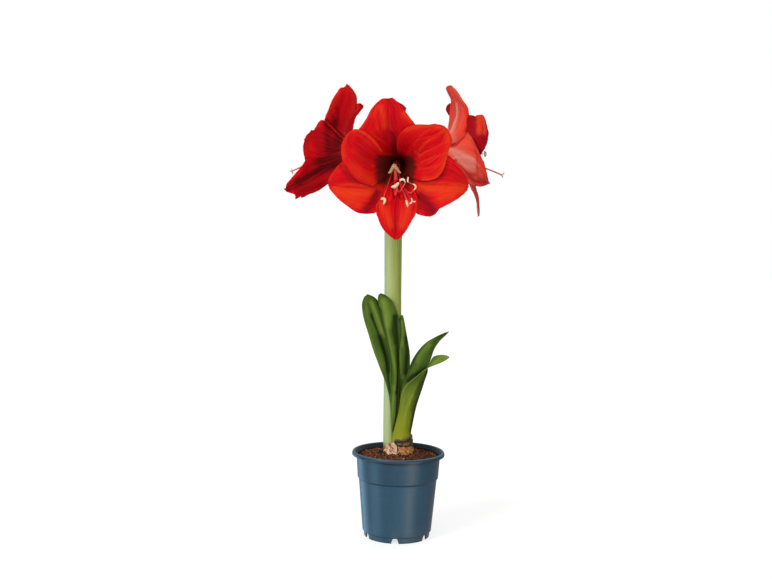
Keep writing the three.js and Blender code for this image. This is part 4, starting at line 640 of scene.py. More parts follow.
# strokes on tepals and leaves, of painted light, painted shade, pale, clearing (which lifts the painted shade) and
# brown: kind, strength, width mm, rise mm, then places as (along, across)
PAINT = {
    "front/top": [
        ("painted_light", 0.75, 3.2, 0.5, [(0.866, 0.47), (0.743, 0.22), (0.565, 0.1)]),
        ("painted_light", 0.45, 2.2, 0.3, [(0.798, 0.92), (0.683, 0.96), (0.598, 0.96)]),
        ("painted_light", 0.6, 3.0, 0.3, [(0.743, -0.8), (0.662, -0.92), (0.576, -0.96)]),
        ("painted_light", 0.35, 1.6, 0.2, [(0.905, 0.92), (0.752, 0.63), (0.531, 0.35)]),
        ("painted_shade", 0.42, 5.5, -0.8, [(0.925, -0.43), (0.723, -0.27), (0.462, -0.1)]),
        ("painted_shade", 0.95, 4.0, 0, [(0.438, -0.1), (0.286, 0.1), (0.14, 0.27)]),
        ("painted_shade", 0.45, 5, 0, [(0.45, 0.18), (0.3, 0.43), (0.178, 0.47)]),
        ("painted_shade", 0.95, 1.3, 0, [(0.905, -1.0), (0.85, -0.92), (0.771, -1.0)]),
    ],
    "front/upper_left": [
        ("painted_light", 0.95, 1.3, 0.7, [(0.991, 0.18), (0.988, -0.96), (0.924, -0.92), (0.766, -0.92), (0.567, -0.92), (0.376, -0.92)]),
        ("painted_light", 0.4, 2.6, 0.2, [(0.988, 0.8), (0.912, 0.76), (0.828, 0.8)]),
        ("painted_light", 0.45, 6, 0.2, [(0.681, 0.63), (0.524, 0.63), (0.399, 0.8)]),
        ("painted_light", 0.35, 1.6, 0.1, [(0.802, 0.02), (0.589, 0.02), (0.388, 0.1)]),
        ("painted_shade", 0.2, 8, -0.3, [(0.784, -0.43), (0.61, -0.22), (0.434, -0.1)]),
        ("painted_shade", 0.55, 4, 0, [(0.388, -0.35), (0.312, 0.43), (0.339, 1.0)]),
        ("painted_shade", 0.5, 1.8, 0, [(0.739, 0.96), (0.61, 0.96), (0.513, 1.0), (0.434, 1.0)]),
    ],
    "front/upper_right": [
        ("painted_shade", 0.1, 8, -0.5, [(0.345, 1.0), (0.319, 0.67), (0.319, 0.31)]),
        ("painted_light", 0.65, 3.2, 0.4, [(0.464, 0.96), (0.639, 0.92), (0.884, 0.84), (0.97, 0.1)]),
        ("painted_light", 0.75, 4.2, 0.4, [(0.947, -0.14), (0.884, -0.88), (0.776, -1.0), (0.66, -1.0)]),
        ("painted_light", 0.6, 5.5, 0.2, [(0.608, -1.0), (0.487, -1.0), (0.406, -1.0)]),
        ("painted_light", 0.6, 1.3, 0.5, [(0.441, 0.14), (0.639, 0.31), (0.912, 0.31)]),
        ("painted_light", 0.55, 1.1, 0.5, [(0.406, -0.02), (0.608, -0.02), (0.876, -0.47)]),
        ("painted_light", 0.55, 1.1, 0.5, [(0.394, -0.27), (0.587, -0.35), (0.811, -1.0)]),
        ("painted_light", 0.5, 1.1, 0.4, [(0.358, -0.51), (0.499, -0.59), (0.69, -0.92)]),
        ("painted_light", 0.4, 1.1, 0.4, [(0.406, 0.39), (0.565, 0.55), (0.767, 0.76)]),
        # a faint pale spot beside the throat, a painted sheen
        ("pale", 0.14, 2.0, 0, [(0.382, 0.18), (0.406, -0.02)]),
        ("painted_shade", 0.5, 2.2, 0, [(0.332, -0.96), (0.382, -0.96)]),
    ],
    "front/lower_left": [
        ("painted_shade", 0.18, 7, 0, [(0.688, -0.47), (0.536, -0.35), (0.38, -0.06)]),
        ("painted_shade", 0.5, 2.8, 0, [(0.757, -0.92), (0.678, -0.43), (0.57, -0.27)]),
        ("painted_light", 0.5, 1.6, 0.5, [(0.954, -0.71), (0.903, -1.0), (0.804, -1.0)]),
        ("painted_light", 0.9, 7.0, 0.3, [(0.888, 0.43), (0.698, 0.22), (0.501, 0.14), (0.393, 0.39)]),
        ("painted_light", 0.55, 5.0, 0.2, [(0.795, 0.71), (0.668, 0.63)]),
        ("painted_light", 0.7, 1.2, 0.9, [(0.936, 0.31), (0.688, -0.14), (0.442, -0.1), (0.316, 0.35)]),
        ("painted_light", 0.6, 1.0, 0.5, [(0.917, 0.43), (0.708, 0.06), (0.501, 0.02)]),
        ("painted_shade", 1.0, 5.4, -1.2, [(0.38, 0.51), (0.466, 0.55), (0.592, 0.92)]),
        ("painted_shade", 0.5, 2.2, -0.3, [(0.668, 0.92), (0.536, 0.67), (0.43, 0.59)]),
    ],
    "front/lower_right": [
        ("painted_shade", 0.25, 8, 0, [(0.566, 0.39), (0.717, 0.51), (0.873, 0.67)]),
        ("painted_shade", 0.5, 2.0, 0, [(0.387, 0.02), (0.543, 0.14), (0.644, 0.43)]),
        ("painted_light", 0.85, 6.5, 0.3, [(0.387, -0.18), (0.566, -0.1), (0.766, -0.27), (0.904, -0.27)]),
        ("painted_light", 0.6, 5.0, 0.2, [(0.665, -0.47), (0.812, -0.63)]),
        ("painted_light", 0.7, 1.1, 0.9, [(0.387, 0.02), (0.6, 0.1), (0.821, 0.02), (0.96, 0.06)]),
        ("painted_light", 0.6, 1.0, 0.5, [(0.424, -0.1), (0.611, -0.02), (0.839, -0.22)]),
        ("painted_light", 0.45, 1.6, 0.4, [(0.96, 1.0), (0.873, 1.0), (0.757, 1.0)]),
        ("painted_shade", 1.0, 5.6, -1.2, [(0.411, -0.47), (0.519, -0.55), (0.633, -0.84)]),
        ("painted_shade", 0.6, 4.0, -0.4, [(0.472, -0.71), (0.566, -0.84)]),
        ("painted_light", 0.8, 0.8, 0.6, [(0.387, -0.43), (0.436, -0.71), (0.46, -0.92)]),
    ],
    "front/bottom": [
        ("painted_shade", 0.4, 3.4, -0.5, [(0.327, -0.22), (0.521, -0.02), (0.757, 0.02), (0.911, 0.06)]),
        ("painted_shade", 0.45, 7, 0, [(0.27, -0.71), (0.299, -0.1), (0.299, 0.47)]),
        ("painted_shade", 0.9, 1.3, -0.4, [(0.285, -0.55), (0.352, -0.35), (0.426, -0.22)]),
        ("painted_shade", 0.8, 1.2, -0.3, [(0.299, 0.02), (0.402, 0.06)]),
        ("painted_light", 0.7, 4.2, 0.4, [(0.51, -0.8), (0.645, -0.55), (0.795, -0.39)]),
        ("painted_light", 0.7, 4.2, 0.4, [(0.462, 0.63), (0.634, 0.55), (0.805, 0.51)]),
        ("painted_light", 0.4, 1.0, 0.4, [(0.414, -0.55), (0.623, -0.31), (0.814, -0.18)]),
        ("painted_light", 0.4, 1.0, 0.4, [(0.402, 0.22), (0.623, 0.27), (0.805, 0.27)]),
    ],
    "left/top": [
        ("painted_light", 0.95, 4.6, 0.4, [(0.599, -0.95), (0.761, -0.95), (0.9, -0.91), (0.972, -1.0)]),
        ("painted_light", 0.55, 3.6, 0.2, [(0.506, -0.91), (0.611, -0.86), (0.752, -0.72)]),
        ("painted_light", 0.95, 4.2, 0.4, [(0.927, 0.35), (0.835, 0.72), (0.692, 0.77), (0.552, 1.0)]),
        ("painted_light", 0.85, 3.6, 0.3, [(0.869, 0.58), (0.743, 0.58), (0.599, 0.63)]),
        ("painted_light", 0.9, 2.6, 0.3, [(0.877, -0.91), (0.927, -0.77), (0.946, -0.35)]),
        ("painted_light", 0.45, 3.0, 0.2, [(0.575, -0.72), (0.723, -0.77), (0.853, -0.67)]),
        ("painted_light", 0.4, 4, 0.2, [(0.635, 0.53), (0.459, 1.0)]),
        ("painted_shade", 0.22, 3.5, -0.3, [(0.826, -0.49), (0.682, -0.3)]),
        ("painted_shade", 0.55, 3.6, -1.0, [(0.647, -0.49), (0.482, -0.26), (0.236, -0.44)]),
        ("painted_shade", 0.85, 5.5, 0, [(0.448, -0.49), (0.302, -0.44), (0.219, -0.58)]),
        ("painted_shade", 0.85, 2.6, 0, [(0.459, -0.91), (0.369, -0.58), (0.236, -0.44)]),
        ("painted_shade", 0.45, 4, 0, [(0.529, -0.63), (0.414, -0.35)]),
    ],
    "left/far_upper": [
        ("painted_light", 0.75, 2.4, 0.3, [(0.952, -0.91), (0.907, -0.02), (0.808, 0.95)]),
        ("painted_shade", 0.85, 1.8, 0, [(0.972, -0.67), (0.982, 1.0), (0.946, 1.0)]),
    ],
    "left/near_upper": [
        ("painted_shade", 1.0, 2.4, 0, [(0.529, 0.95), (0.437, 0.91), (0.313, 0.81)]),
        ("painted_shade", 0.98, 11, -0.6, [(0.363, 0.86), (0.341, 0.16), (0.352, -0.49)]),
        ("painted_shade", 0.85, 9, 0, [(0.495, 0.86), (0.483, 0.4), (0.437, -0.16)]),
        ("painted_shade", 0.4, 6, 0, [(0.624, 0.53), (0.624, -0.02), (0.541, -0.4)]),
        ("painted_light", 0.8, 3.6, 0.4, [(0.78, -0.77), (0.884, -0.44), (0.933, 0.21)]),
        ("painted_light", 0.85, 3.0, 0.4, [(0.771, 0.81), (0.647, 0.91), (0.576, 0.95)]),
        ("painted_light", 0.45, 3.0, 0.2, [(0.852, 0.35), (0.723, -0.3)]),
    ],
    "left/near_lower": [
        ("painted_shade", 0.98, 11, -0.4, [(0.222, 0.49), (0.318, 0.67), (0.403, 0.67)]),
        ("painted_shade", 0.98, 6.0, -1.2, [(0.254, -0.07), (0.414, 0.16), (0.612, 0.21), (0.807, 0.21)]),
        ("painted_shade", 0.8, 4.6, -0.5, [(0.807, 0.21), (0.9, 0.12), (0.952, 0.07)]),
        ("painted_shade", 0.42, 6, 0, [(0.448, -0.67), (0.647, -0.53), (0.798, -0.53)]),
        ("painted_shade", 0.3, 3.0, 0, [(0.448, 0.77), (0.647, 0.58), (0.835, 0.49)]),
        ("painted_shade", 0.55, 3, 0, [(0.459, -1.0), (0.391, -1.0), (0.303, -0.91)]),
    ],
    "right/top": [
        ("pale", 0.95, 1.9, 0.6, [(0.752, 0.12), (0.623, 0.02), (0.436, 0.07), (0.302, 0.21)]),
        ("pale", 0.4, 3.6, 0, [(0.471, -0.16), (0.302, 0.35), (0.269, 0.81)]),
        ("painted_light", 0.85, 3.0, 0.3, [(0.946, -0.63), (0.869, -0.02), (0.78, 0.02)]),
        ("painted_light", 0.75, 2.4, 0.2, [(0.733, -0.81), (0.623, -0.77), (0.506, -0.63)]),
        ("painted_light", 0.95, 3.8, 0.3, [(0.835, 0.86), (0.682, 0.77), (0.517, 0.86), (0.369, 0.86)]),
        ("pale", 0.3, 1.2, 0, [(0.972, 0.67), (0.885, 0.81), (0.771, 0.81)]),
        ("painted_shade", 0.45, 1.4, 0, [(0.921, -0.81), (0.817, -0.95), (0.703, -0.67)]),
        ("painted_shade", 0.75, 1.3, 0, [(0.219, 0.95), (0.269, 1.0), (0.357, 0.95), (0.436, 0.95)]),
        ("painted_shade", 0.55, 1.6, 0, [(0.692, 0.86), (0.552, 0.91), (0.436, 0.95)]),
    ],
    "right/far_upper": [
        ("painted_shade", 0.95, 5, 0, [(0.972, -0.67), (0.86, -0.86), (0.636, -0.3)]),
    ],
    "right/near_upper": [
        ("painted_shade", 0.98, 9, 0, [(0.636, -0.81), (0.576, -0.4), (0.459, -0.02)]),
        ("painted_shade", 0.98, 9, 0, [(0.588, 0.16), (0.713, 0.49), (0.808, 0.63)]),
        ("painted_shade", 0.98, 6, 0, [(0.624, 0.77), (0.713, 1.0)]),
        # a painted lit patch near the tip: clearing lifts the painted shade and the crimson here, and painted light is
        # laid over it
        ("clear", 1.0, 6.0, 0.4, [(0.826, -0.77), (0.79, -0.4), (0.743, -0.12)]),
        ("clear", 1.0, 4.0, 0.2, [(0.914, -0.81), (0.899, -0.16), (0.852, 0.21)]),
        ("painted_light", 1.0, 4.5, 0.2, [(0.852, -0.81), (0.799, -0.4), (0.743, -0.12)]),
        ("painted_light", 0.8, 2.4, 0.2, [(0.94, -0.77), (0.92, 0.02), (0.844, 0.49)]),
    ],
    "right/near_lower": [
        ("painted_shade", 0.85, 1.5, 0, [(0.291, 0.12), (0.355, 0.4), (0.425, 0.53), (0.495, 0.67)]),
        ("painted_shade", 0.9, 1.6, 0, [(0.413, -1.0), (0.379, -0.86), (0.331, -0.86), (0.291, -0.86), (0.236, -0.91)]),
        ("painted_light", 0.55, 5, 0, [(0.367, -0.91), (0.402, -0.63), (0.507, -0.35)]),
        ("pale", 0.85, 3.2, 0, [(0.236, -0.81), (0.331, -0.26), (0.507, -0.07)]),
        ("pale", 0.75, 2.6, 0, [(0.25, -0.44), (0.355, 0.07), (0.541, 0.07)]),
        ("pale", 0.8, 2.8, 0, [(0.331, 0.21), (0.448, 0.3), (0.553, 0.21)]),
        ("pale", 0.45, 2.2, 0, [(0.413, 0.4), (0.483, 0.44), (0.565, 0.4)]),
        ("painted_light", 1.0, 4.6, 0, [(0.647, -0.4), (0.723, -0.07), (0.835, 0.16)]),
        ("painted_shade", 0.5, 1.3, 0, [(0.53, -0.53), (0.588, -0.26), (0.624, 0.26), (0.67, 0.72)]),
        ("painted_shade", 0.75, 3.6, 0, [(0.518, 0.67), (0.6, 0.81), (0.713, 0.72), (0.869, 0.58)]),
        ("painted_shade", 0.45, 3.0, 0, [(0.46, 0.58), (0.53, 0.63), (0.588, 0.53)]),
        ("painted_shade", 0.6, 1.6, 0, [(0.636, 1.0), (0.733, 1.0), (0.861, 0.95)]),
        ("painted_shade", 0.45, 1.5, 0, [(0.835, -0.91), (0.869, -0.49), (0.986, -1.0)]),
    ],
    "right/bottom": [
        ("pale", 0.85, 3.2, 0.2, [(0.587, 0.3), (0.703, 0.77), (0.826, 0.44), (0.952, -0.21)]),
        ("painted_shade", 0.25, 1.2, 0, [(0.587, 1.0), (0.723, -0.02), (0.9, 0.77)]),
    ],
    "leaf_1": [
        ("painted_shade", 0.45, 1.3, -0.6, [(0.929, 0.26), (0.884, 0.1), (0.831, -0.01)]),
        ("painted_shade", 0.95, 1.9, -0.9, [(0.864, 0.12), (0.806, -0.01), (0.752, -0.06), (0.651, -0.12), (0.551, -0.15), (0.436, 0.21), (0.331, 0.46)]),
        ("painted_shade", 1.0, 4.0, -0.4, [(0.712, -0.15), (0.637, -0.17), (0.565, -0.21), (0.478, -0.06)]),
        ("painted_shade", 0.45, 1.6, -0.2, [(0.968, -0.75), (0.929, -0.91), (0.868, -1.0), (0.797, -1.0)]),
        ("painted_light", 0.65, 2.4, 0.5, [(0.943, -0.12), (0.884, -0.39), (0.803, -0.53), (0.717, -0.55)]),
        ("painted_light", 0.3, 2.6, 0.2, [(0.889, 0.96), (0.797, 1.0), (0.669, 0.89), (0.501, 0.96)]),
        ("painted_shade", 0.35, 1.4, 0, [(0.966, 1.0), (0.992, 1.0), (1.0, -0.73), (0.981, -0.96)]),
    ],
    "leaf_2": [
        ("painted_shade", 0.95, 3.4, -0.9, [(0.841, -0.69), (0.757, -0.48), (0.68, -0.55), (0.603, -0.71), (0.526, -0.91), (0.435, -0.91), (0.337, -0.69)]),
        ("painted_shade", 0.75, 2.4, -0.3, [(0.834, -0.37), (0.757, -0.08), (0.661, -0.24)]),
        ("painted_shade", 0.45, 1.4, 0, [(0.977, 0.82), (1.0, -0.42), (0.978, -0.62)]),
        ("painted_light", 0.7, 5, 0.3, [(0.934, 0.26), (0.853, 0.33), (0.782, 0.48)]),
        ("painted_light", 0.55, 1.5, 0.6, [(0.834, 0.53), (0.705, 0.57), (0.578, 0.26), (0.468, -0.26), (0.36, -0.15)]),
        ("painted_shade", 0.5, 1.3, -0.2, [(0.886, 0.91), (0.787, 0.96), (0.661, 0.84), (0.551, 0.73), (0.404, 0.64)]),
        ("painted_shade", 0.95, 1.1, -0.2, [(0.371, -0.66), (0.274, -0.51), (0.177, -0.3), (0.086, 0.19)]),
        ("painted_light", 0.6, 1.2, 0.2, [(0.385, -0.01), (0.282, 0.28), (0.177, 0.6), (0.073, 1.0)]),
    ],
    "leaf_3": [
        ("painted_shade", 0.85, 4.2, -0.5, [(0.827, -0.71), (0.737, -0.62), (0.645, -0.37), (0.555, -0.26)]),
        ("painted_light", 0.45, 2.2, 0.3, [(0.947, -0.15), (0.85, -0.17), (0.767, 0.17)]),
        ("painted_light", 0.5, 1.0, 0.4, [(0.767, 0.51), (0.661, 0.48), (0.547, 0.46)]),
        ("painted_shade", 0.6, 3.0, 0, [(0.494, 0.24), (0.393, 0.44), (0.323, 1.0)]),
    ],
    "leaf_4": [
        ("painted_shade", 0.95, 3.4, 0, [(0.5, 0.48), (0.539, 0.19), (0.584, -0.33), (0.647, -0.89)]),
        ("painted_shade", 0.35, 3.2, 0, [(0.48, 0.78), (0.571, 0.84), (0.65, 0.73)]),
        ("painted_light", 0.4, 3.0, 0.4, [(0.655, 0.37), (0.732, 0.37), (0.817, 0.33)]),
        ("painted_shade", 0.4, 1.3, 0, [(0.642, 0.93), (0.732, 1.0), (0.813, 0.98), (0.897, 0.93), (0.989, 1.0)]),
        ("painted_shade", 0.45, 2.2, -0.3, [(0.592, 0.84), (0.694, 0.87), (0.798, 1.0)]),
        ("painted_shade", 0.5, 2.6, -0.3, [(0.767, -0.62), (0.871, -0.28), (0.968, 0.64)]),
        ("brown", 0.9, 1.4, 0, [(0.989, -0.26), (1.0, -0.87)]),
    ],
    "leaf_5": [
        ("painted_light", 0.55, 1.4, 0.5, [(0.184, -0.08), (0.275, 0.08), (0.405, -0.03), (0.476, -0.15)]),
        ("painted_shade", 1.0, 4.6, -0.3, [(0.73, -0.82), (0.623, -1.0), (0.488, -1.0), (0.378, -0.93), (0.248, -0.93), (0.103, -1.0)]),
        ("painted_shade", 0.45, 3.0, 0, [(0.588, -0.51), (0.455, -0.53), (0.328, -0.48)]),
        ("painted_light", 1.0, 1.2, 0.3, [(0.553, 1.0), (0.638, 1.0), (0.713, 1.0), (0.777, 0.1)]),
        ("painted_light", 0.6, 1.2, 0.3, [(0.42, 1.0), (0.485, 0.96), (0.553, 1.0)]),
        ("painted_shade", 0.3, 3.0, 0, [(0.697, -0.28), (0.588, -0.51), (0.491, -0.42)]),
        ("painted_light", 0.9, 4.5, 0.2, [(0.85, 0.37), (0.926, -0.1), (0.986, -0.39)]),
        ("brown", 0.8, 1.2, 0, [(0.998, -1.0), (1.0, -0.44)]),
    ],
}

# how far the margins of some tepals stand from the smooth shape: along, then right and up in mm for the margin at -1 and at +1
WARP = {
    "front/top": [
        (0.2, 0.0, 0.0, 0.0, 0.0),
        (0.22, 0.0, 0.0, 0.0, 0.0),
        (0.25, 0.0, 0.0, 0.0, 0.0),
        (0.27, 0.0, 0.0, 0.0, 0.0),
        (0.3, 0.0, 0.0, 0.0, 0.0),
        (0.32, 0.0, 0.0, 0.0, 0.0),
        (0.35, 0.0, 0.0, 0.0, 0.0),
        (0.37, 0.0, 0.0, 0.0, 0.0),
        (0.39, -0.0, -0.0, 0.0, -0.0),
        (0.42, -0.01, -0.01, 0.0, -0.01),
        (0.44, -0.06, -0.05, 0.0, -0.04),
        (0.47, -0.15, -0.12, 0.0, -0.09),
        (0.49, -0.28, -0.22, 0.0, -0.15),
        (0.52, -0.46, -0.35, 0.0, -0.22),
        (0.54, -0.68, -0.52, 0.01, -0.32),
        (0.56, -0.94, -0.72, 0.01, -0.44),
        (0.59, -1.25, -0.94, 0.23, -0.61),
        (0.61, -1.6, -0.79, 1.04, -0.96),
        (0.64, -1.6, -0.35, 1.36, -1.09),
        (0.66, -1.93, -0.15, 1.25, -0.91),
        (0.68, -2.14, 0.12, 1.24, -0.77),
        (0.71, -1.87, 0.85, 1.0, -0.46),
        (0.73, -2.05, 1.13, 0.75, -0.18),
        (0.76, -2.11, 1.2, 0.26, 0.2),
        (0.78, -1.8, 1.66, 0.37, 0.26),
        (0.81, 0.56, 1.63, 0.27, 0.4),
        (0.83, 0.43, 1.66, -0.08, 0.74),
        (0.85, -0.23, 1.57, 0.01, 0.78),
        (0.88, -0.74, 1.42, -0.14, 1.03),
        (0.9, -1.66, 0.8, -0.2, 1.19),
        (0.93, -2.41, 0.54, -0.24, 1.42),
        (0.95, -2.72, 0.91, -0.06, 1.4),
        (0.98, -2.46, 1.55, 0.05, 1.46),
        (1.0, -3.42, -1.01, -0.97, -1.18),
    ],
    "front/upper_left": [
        (0.2, -0.1, -0.21, 0.0, 0.0),
        (0.22, -0.36, -0.75, 0.0, -0.0),
        (0.25, -0.66, -1.37, 0.01, -0.1),
        (0.27, -0.98, -2.04, 0.05, -0.39),
        (0.3, -1.34, -2.78, 0.11, -0.8),
        (0.32, -1.73, -3.6, 0.19, -1.35),
        (0.35, -1.5, -3.91, 0.29, -2.05),
        (0.37, -0.37, -3.36, 0.41, -2.94),
        (0.39, 0.52, -3.09, 0.57, -4.05),
        (0.42, 1.27, -2.96, 0.75, -5.36),
        (0.44, 1.98, -2.82, 0.14, -3.74),
        (0.47, 2.6, -2.77, -0.72, -2.15),
        (0.49, 3.31, -2.65, -1.39, -0.78),
        (0.52, 3.84, -2.64, -1.96, 0.18),
        (0.54, 4.2, -2.78, -2.3, 1.49),
        (0.56, 4.58, -2.87, -2.65, 2.52),
        (0.59, 4.89, -2.99, -3.01, 3.25),
        (0.61, 5.59, -2.5, -3.72, 3.43),
        (0.64, 5.82, -2.65, -3.85, 4.07),
        (0.66, 6.02, -2.8, -4.13, 4.55),
        (0.68, 6.4, -2.59, -4.63, 4.95),
        (0.71, 6.62, -2.66, -4.82, 5.55),
        (0.73, 6.97, -2.54, -4.94, 6.16),
        (0.76, 7.31, -2.38, -4.72, 6.99),
        (0.78, 7.74, -1.84, -4.96, 7.65),
        (0.81, 8.12, -1.64, -4.49, 8.52),
        (0.83, 8.45, -1.54, -3.67, 9.48),
        (0.85, 8.88, -0.77, -3.24, 10.39),
        (0.88, 9.19, -0.2, -2.63, 11.32),
        (0.9, 9.51, 0.81, -1.97, 12.27),
        (0.93, 9.7, 2.29, -0.89, 13.18),
        (0.95, 9.57, 4.59, 0.7, 14.14),
        (0.98, 8.5, 7.95, 3.44, 14.64),
        (1.0, 6.02, 12.95, 6.81, 15.18),
    ],
    "front/upper_right": [
        (0.2, -0.05, -0.05, -0.18, 0.09),
        (0.22, -0.13, -0.15, -0.63, 0.32),
        (0.25, -0.21, -0.26, -1.15, 0.58),
        (0.27, -0.31, -0.37, -1.73, 0.87),
        (0.3, -0.41, -0.49, -2.37, 1.2),
        (0.32, -0.53, -0.63, -3.09, 1.56),
        (0.35, -0.28, -0.57, -3.91, 1.98),
        (0.37, 0.16, -0.85, -4.26, 1.96),
        (0.39, 0.73, -0.77, -4.82, 2.04),
        (0.42, 1.3, -0.9, -4.7, 1.76),
        (0.44, 1.9, -1.06, -4.78, 1.61),
        (0.47, 2.38, -1.09, -4.36, 0.88),
        (0.49, 2.92, -1.16, -4.3, 0.61),
        (0.52, 3.1, -0.66, -4.24, 0.05),
        (0.54, 3.19, 0.05, -4.18, -0.25),
        (0.56, 3.21, 0.62, -4.33, -0.13),
        (0.59, 3.07, 1.17, -4.43, -0.1),
        (0.61, 2.86, 1.78, -4.54, 0.21),
        (0.64, 2.49, 2.42, -4.56, -0.11),
        (0.66, 2.53, 2.8, -4.64, 0.1),
        (0.68, 2.73, 3.14, -4.69, 0.39),
        (0.71, 1.97, 3.86, -4.7, 0.25),
        (0.73, 1.45, 4.47, -4.76, 0.35),
        (0.76, 1.2, 5.0, -4.81, 0.19),
        (0.78, 1.14, 5.5, -4.85, -0.01),
        (0.81, 0.67, 6.06, -4.89, -0.16),
        (0.83, 0.5, 6.57, -4.99, 0.16),
        (0.85, 1.16, 6.9, -5.04, 1.03),
        (0.88, 1.59, 7.12, -5.14, 1.47),
        (0.9, 1.68, 7.31, -5.34, 1.98),
        (0.93, 1.31, 7.85, -5.38, 2.12),
        (0.95, 0.48, 8.41, -5.11, 3.32),
        (0.98, -2.33, 8.24, -4.67, 5.0),
        (1.0, -4.77, 8.77, -3.91, 6.55),
    ],
    "front/lower_left": [
        (0.2, 0.0, 0.0, 0.0, 0.0),
        (0.22, 0.0, 0.0, 0.0, 0.0),
        (0.25, 0.0, 0.0, 0.0, 0.0),
        (0.27, 0.0, 0.0, 0.0, -0.0),
        (0.3, 0.0, 0.0, 0.04, -0.03),
        (0.32, 0.0, 0.0, 0.16, -0.11),
        (0.35, 0.0, 0.0, 0.36, -0.26),
        (0.37, 0.0, 0.0, 0.65, -0.47),
        (0.39, 0.0, 0.0, 1.03, -0.74),
        (0.42, 0.0, 0.0, 1.5, -1.09),
        (0.44, 0.0, 0.0, 2.06, -1.5),
        (0.47, 0.0, 0.0, 2.73, -1.98),
        (0.49, 0.0, 0.0, 2.27, -1.13),
        (0.52, 0.0, 0.0, 1.64, -0.31),
        (0.54, 0.0, 0.0, 1.39, 0.11),
        (0.56, 0.0, 0.0, 1.27, 0.21),
        (0.59, 0.01, 0.01, 1.12, 0.15),
        (0.61, 0.03, 0.02, 0.95, 0.56),
        (0.64, 0.05, 0.03, 0.84, 0.66),
        (0.66, 0.07, 0.05, 0.7, 0.74),
        (0.68, 0.1, 0.07, 0.52, 1.17),
        (0.71, 0.15, 0.08, 0.56, 1.6),
        (0.73, 0.49, -0.49, 0.54, 1.88),
        (0.76, 0.63, -0.65, 0.53, 2.24),
        (0.78, 1.06, -1.07, 0.62, 2.72),
        (0.81, 1.35, -1.21, 0.45, 2.8),
        (0.83, 1.4, -1.12, -0.04, 2.52),
        (0.85, 1.78, -1.34, -0.37, 2.42),
        (0.88, 1.69, -1.16, -1.02, 1.98),
        (0.9, 1.25, -0.77, -1.43, 1.9),
        (0.93, 0.63, -0.34, -1.74, 1.95),
        (0.95, -0.16, 0.13, -1.85, 2.16),
        (0.98, -1.1, 0.6, -1.87, 2.42),
        (1.0, -0.52, 1.31, -0.98, 3.29),
    ],
    "front/lower_right": [
        (0.2, 0.0, 0.0, 0.0, 0.0),
        (0.22, 0.0, 0.0, 0.0, 0.0),
        (0.25, -0.0, -0.0, 0.0, 0.0),
        (0.27, -0.04, -0.04, 0.0, 0.0),
        (0.3, -0.15, -0.14, 0.0, 0.0),
        (0.32, -0.36, -0.34, 0.0, 0.0),
        (0.35, -0.68, -0.63, 0.0, 0.0),
        (0.37, -1.1, -1.02, 0.0, 0.0),
        (0.39, -1.63, -1.51, 0.0, 0.0),
        (0.42, -2.27, -2.11, 0.0, 0.0),
        (0.44, -3.03, -2.81, 0.01, 0.01),
        (0.47, -3.24, -2.9, 0.03, 0.03),
        (0.49, -2.37, -1.86, 0.08, 0.06),
        (0.52, -1.91, -1.33, 0.14, 0.11),
        (0.54, -1.62, -0.97, 0.23, 0.18),
        (0.56, -1.43, -0.75, 0.34, 0.26),
        (0.59, -1.21, -1.19, 0.46, 0.36),
        (0.61, -1.04, -1.41, 0.57, 0.38),
        (0.64, -0.85, -1.41, -0.03, -0.91),
        (0.66, -0.64, -1.72, -0.31, -1.37),
        (0.68, -1.1, -0.86, -0.54, -1.76),
        (0.71, -2.08, 0.5, -0.82, -2.05),
        (0.73, -1.86, 0.58, -1.16, -2.43),
        (0.76, -1.42, 0.32, -1.19, -2.48),
        (0.78, -1.1, 0.24, -1.32, -2.58),
        (0.81, -0.87, 0.28, -1.54, -2.73),
        (0.83, -0.63, 0.35, -1.44, -2.62),
        (0.85, -0.44, 0.49, -1.49, -2.63),
        (0.88, 0.03, 0.15, -1.26, -2.43),
        (0.9, 0.02, 0.39, -0.98, -2.22),
        (0.93, 0.29, 0.47, -0.45, -1.96),
        (0.95, 1.08, 0.0, 0.17, -1.66),
        (0.98, 1.48, 0.05, 0.31, -1.44),
        (1.0, 0.19, 0.98, -0.61, -1.29),
    ],
    "front/bottom": [
        (0.2, 0.0, 0.0, 0.0, 0.0),
        (0.22, 0.0, -0.0, 0.0, 0.0),
        (0.25, 0.06, -0.02, 0.0, 0.0),
        (0.27, 0.22, -0.08, 0.03, 0.02),
        (0.3, 0.48, -0.17, 0.1, 0.05),
        (0.32, 0.87, -0.3, 0.2, 0.09),
        (0.35, 1.42, -0.49, 0.35, 0.16),
        (0.37, 2.1, -0.73, 0.54, 0.25),
        (0.39, 2.94, -1.02, 0.77, 0.37),
        (0.42, 3.92, -1.36, 1.06, 0.5),
        (0.44, 4.48, -1.36, 1.39, 0.66),
        (0.47, 2.86, -0.14, 1.15, 0.58),
        (0.49, 1.45, 0.79, 1.02, 0.44),
        (0.52, 0.43, 1.15, 1.13, 0.31),
        (0.54, -0.05, 1.3, 0.99, 0.19),
        (0.56, -0.04, 1.2, 0.73, 0.08),
        (0.59, -0.48, 1.07, 1.11, -0.1),
        (0.61, -0.66, 0.96, 0.86, -0.16),
        (0.64, -0.86, 0.81, 0.72, -0.25),
        (0.66, -1.12, 0.68, 0.68, -0.37),
        (0.68, -1.08, 0.5, 0.45, -0.44),
        (0.71, -1.27, 0.28, 0.2, -0.44),
        (0.73, -1.14, 0.18, -0.2, -0.42),
        (0.76, -1.46, -0.18, -0.16, -0.65),
        (0.78, -1.86, -0.52, -0.08, -0.85),
        (0.81, -1.96, -0.68, -0.03, -1.03),
        (0.83, -1.99, -0.86, 0.08, -1.25),
        (0.85, -1.65, -0.8, -0.32, -1.2),
        (0.88, -1.52, -0.86, -0.32, -1.36),
        (0.9, -1.08, -0.66, -0.67, -1.3),
        (0.93, -0.62, -0.44, -0.97, -1.32),
        (0.95, -0.28, -0.26, -0.81, -1.66),
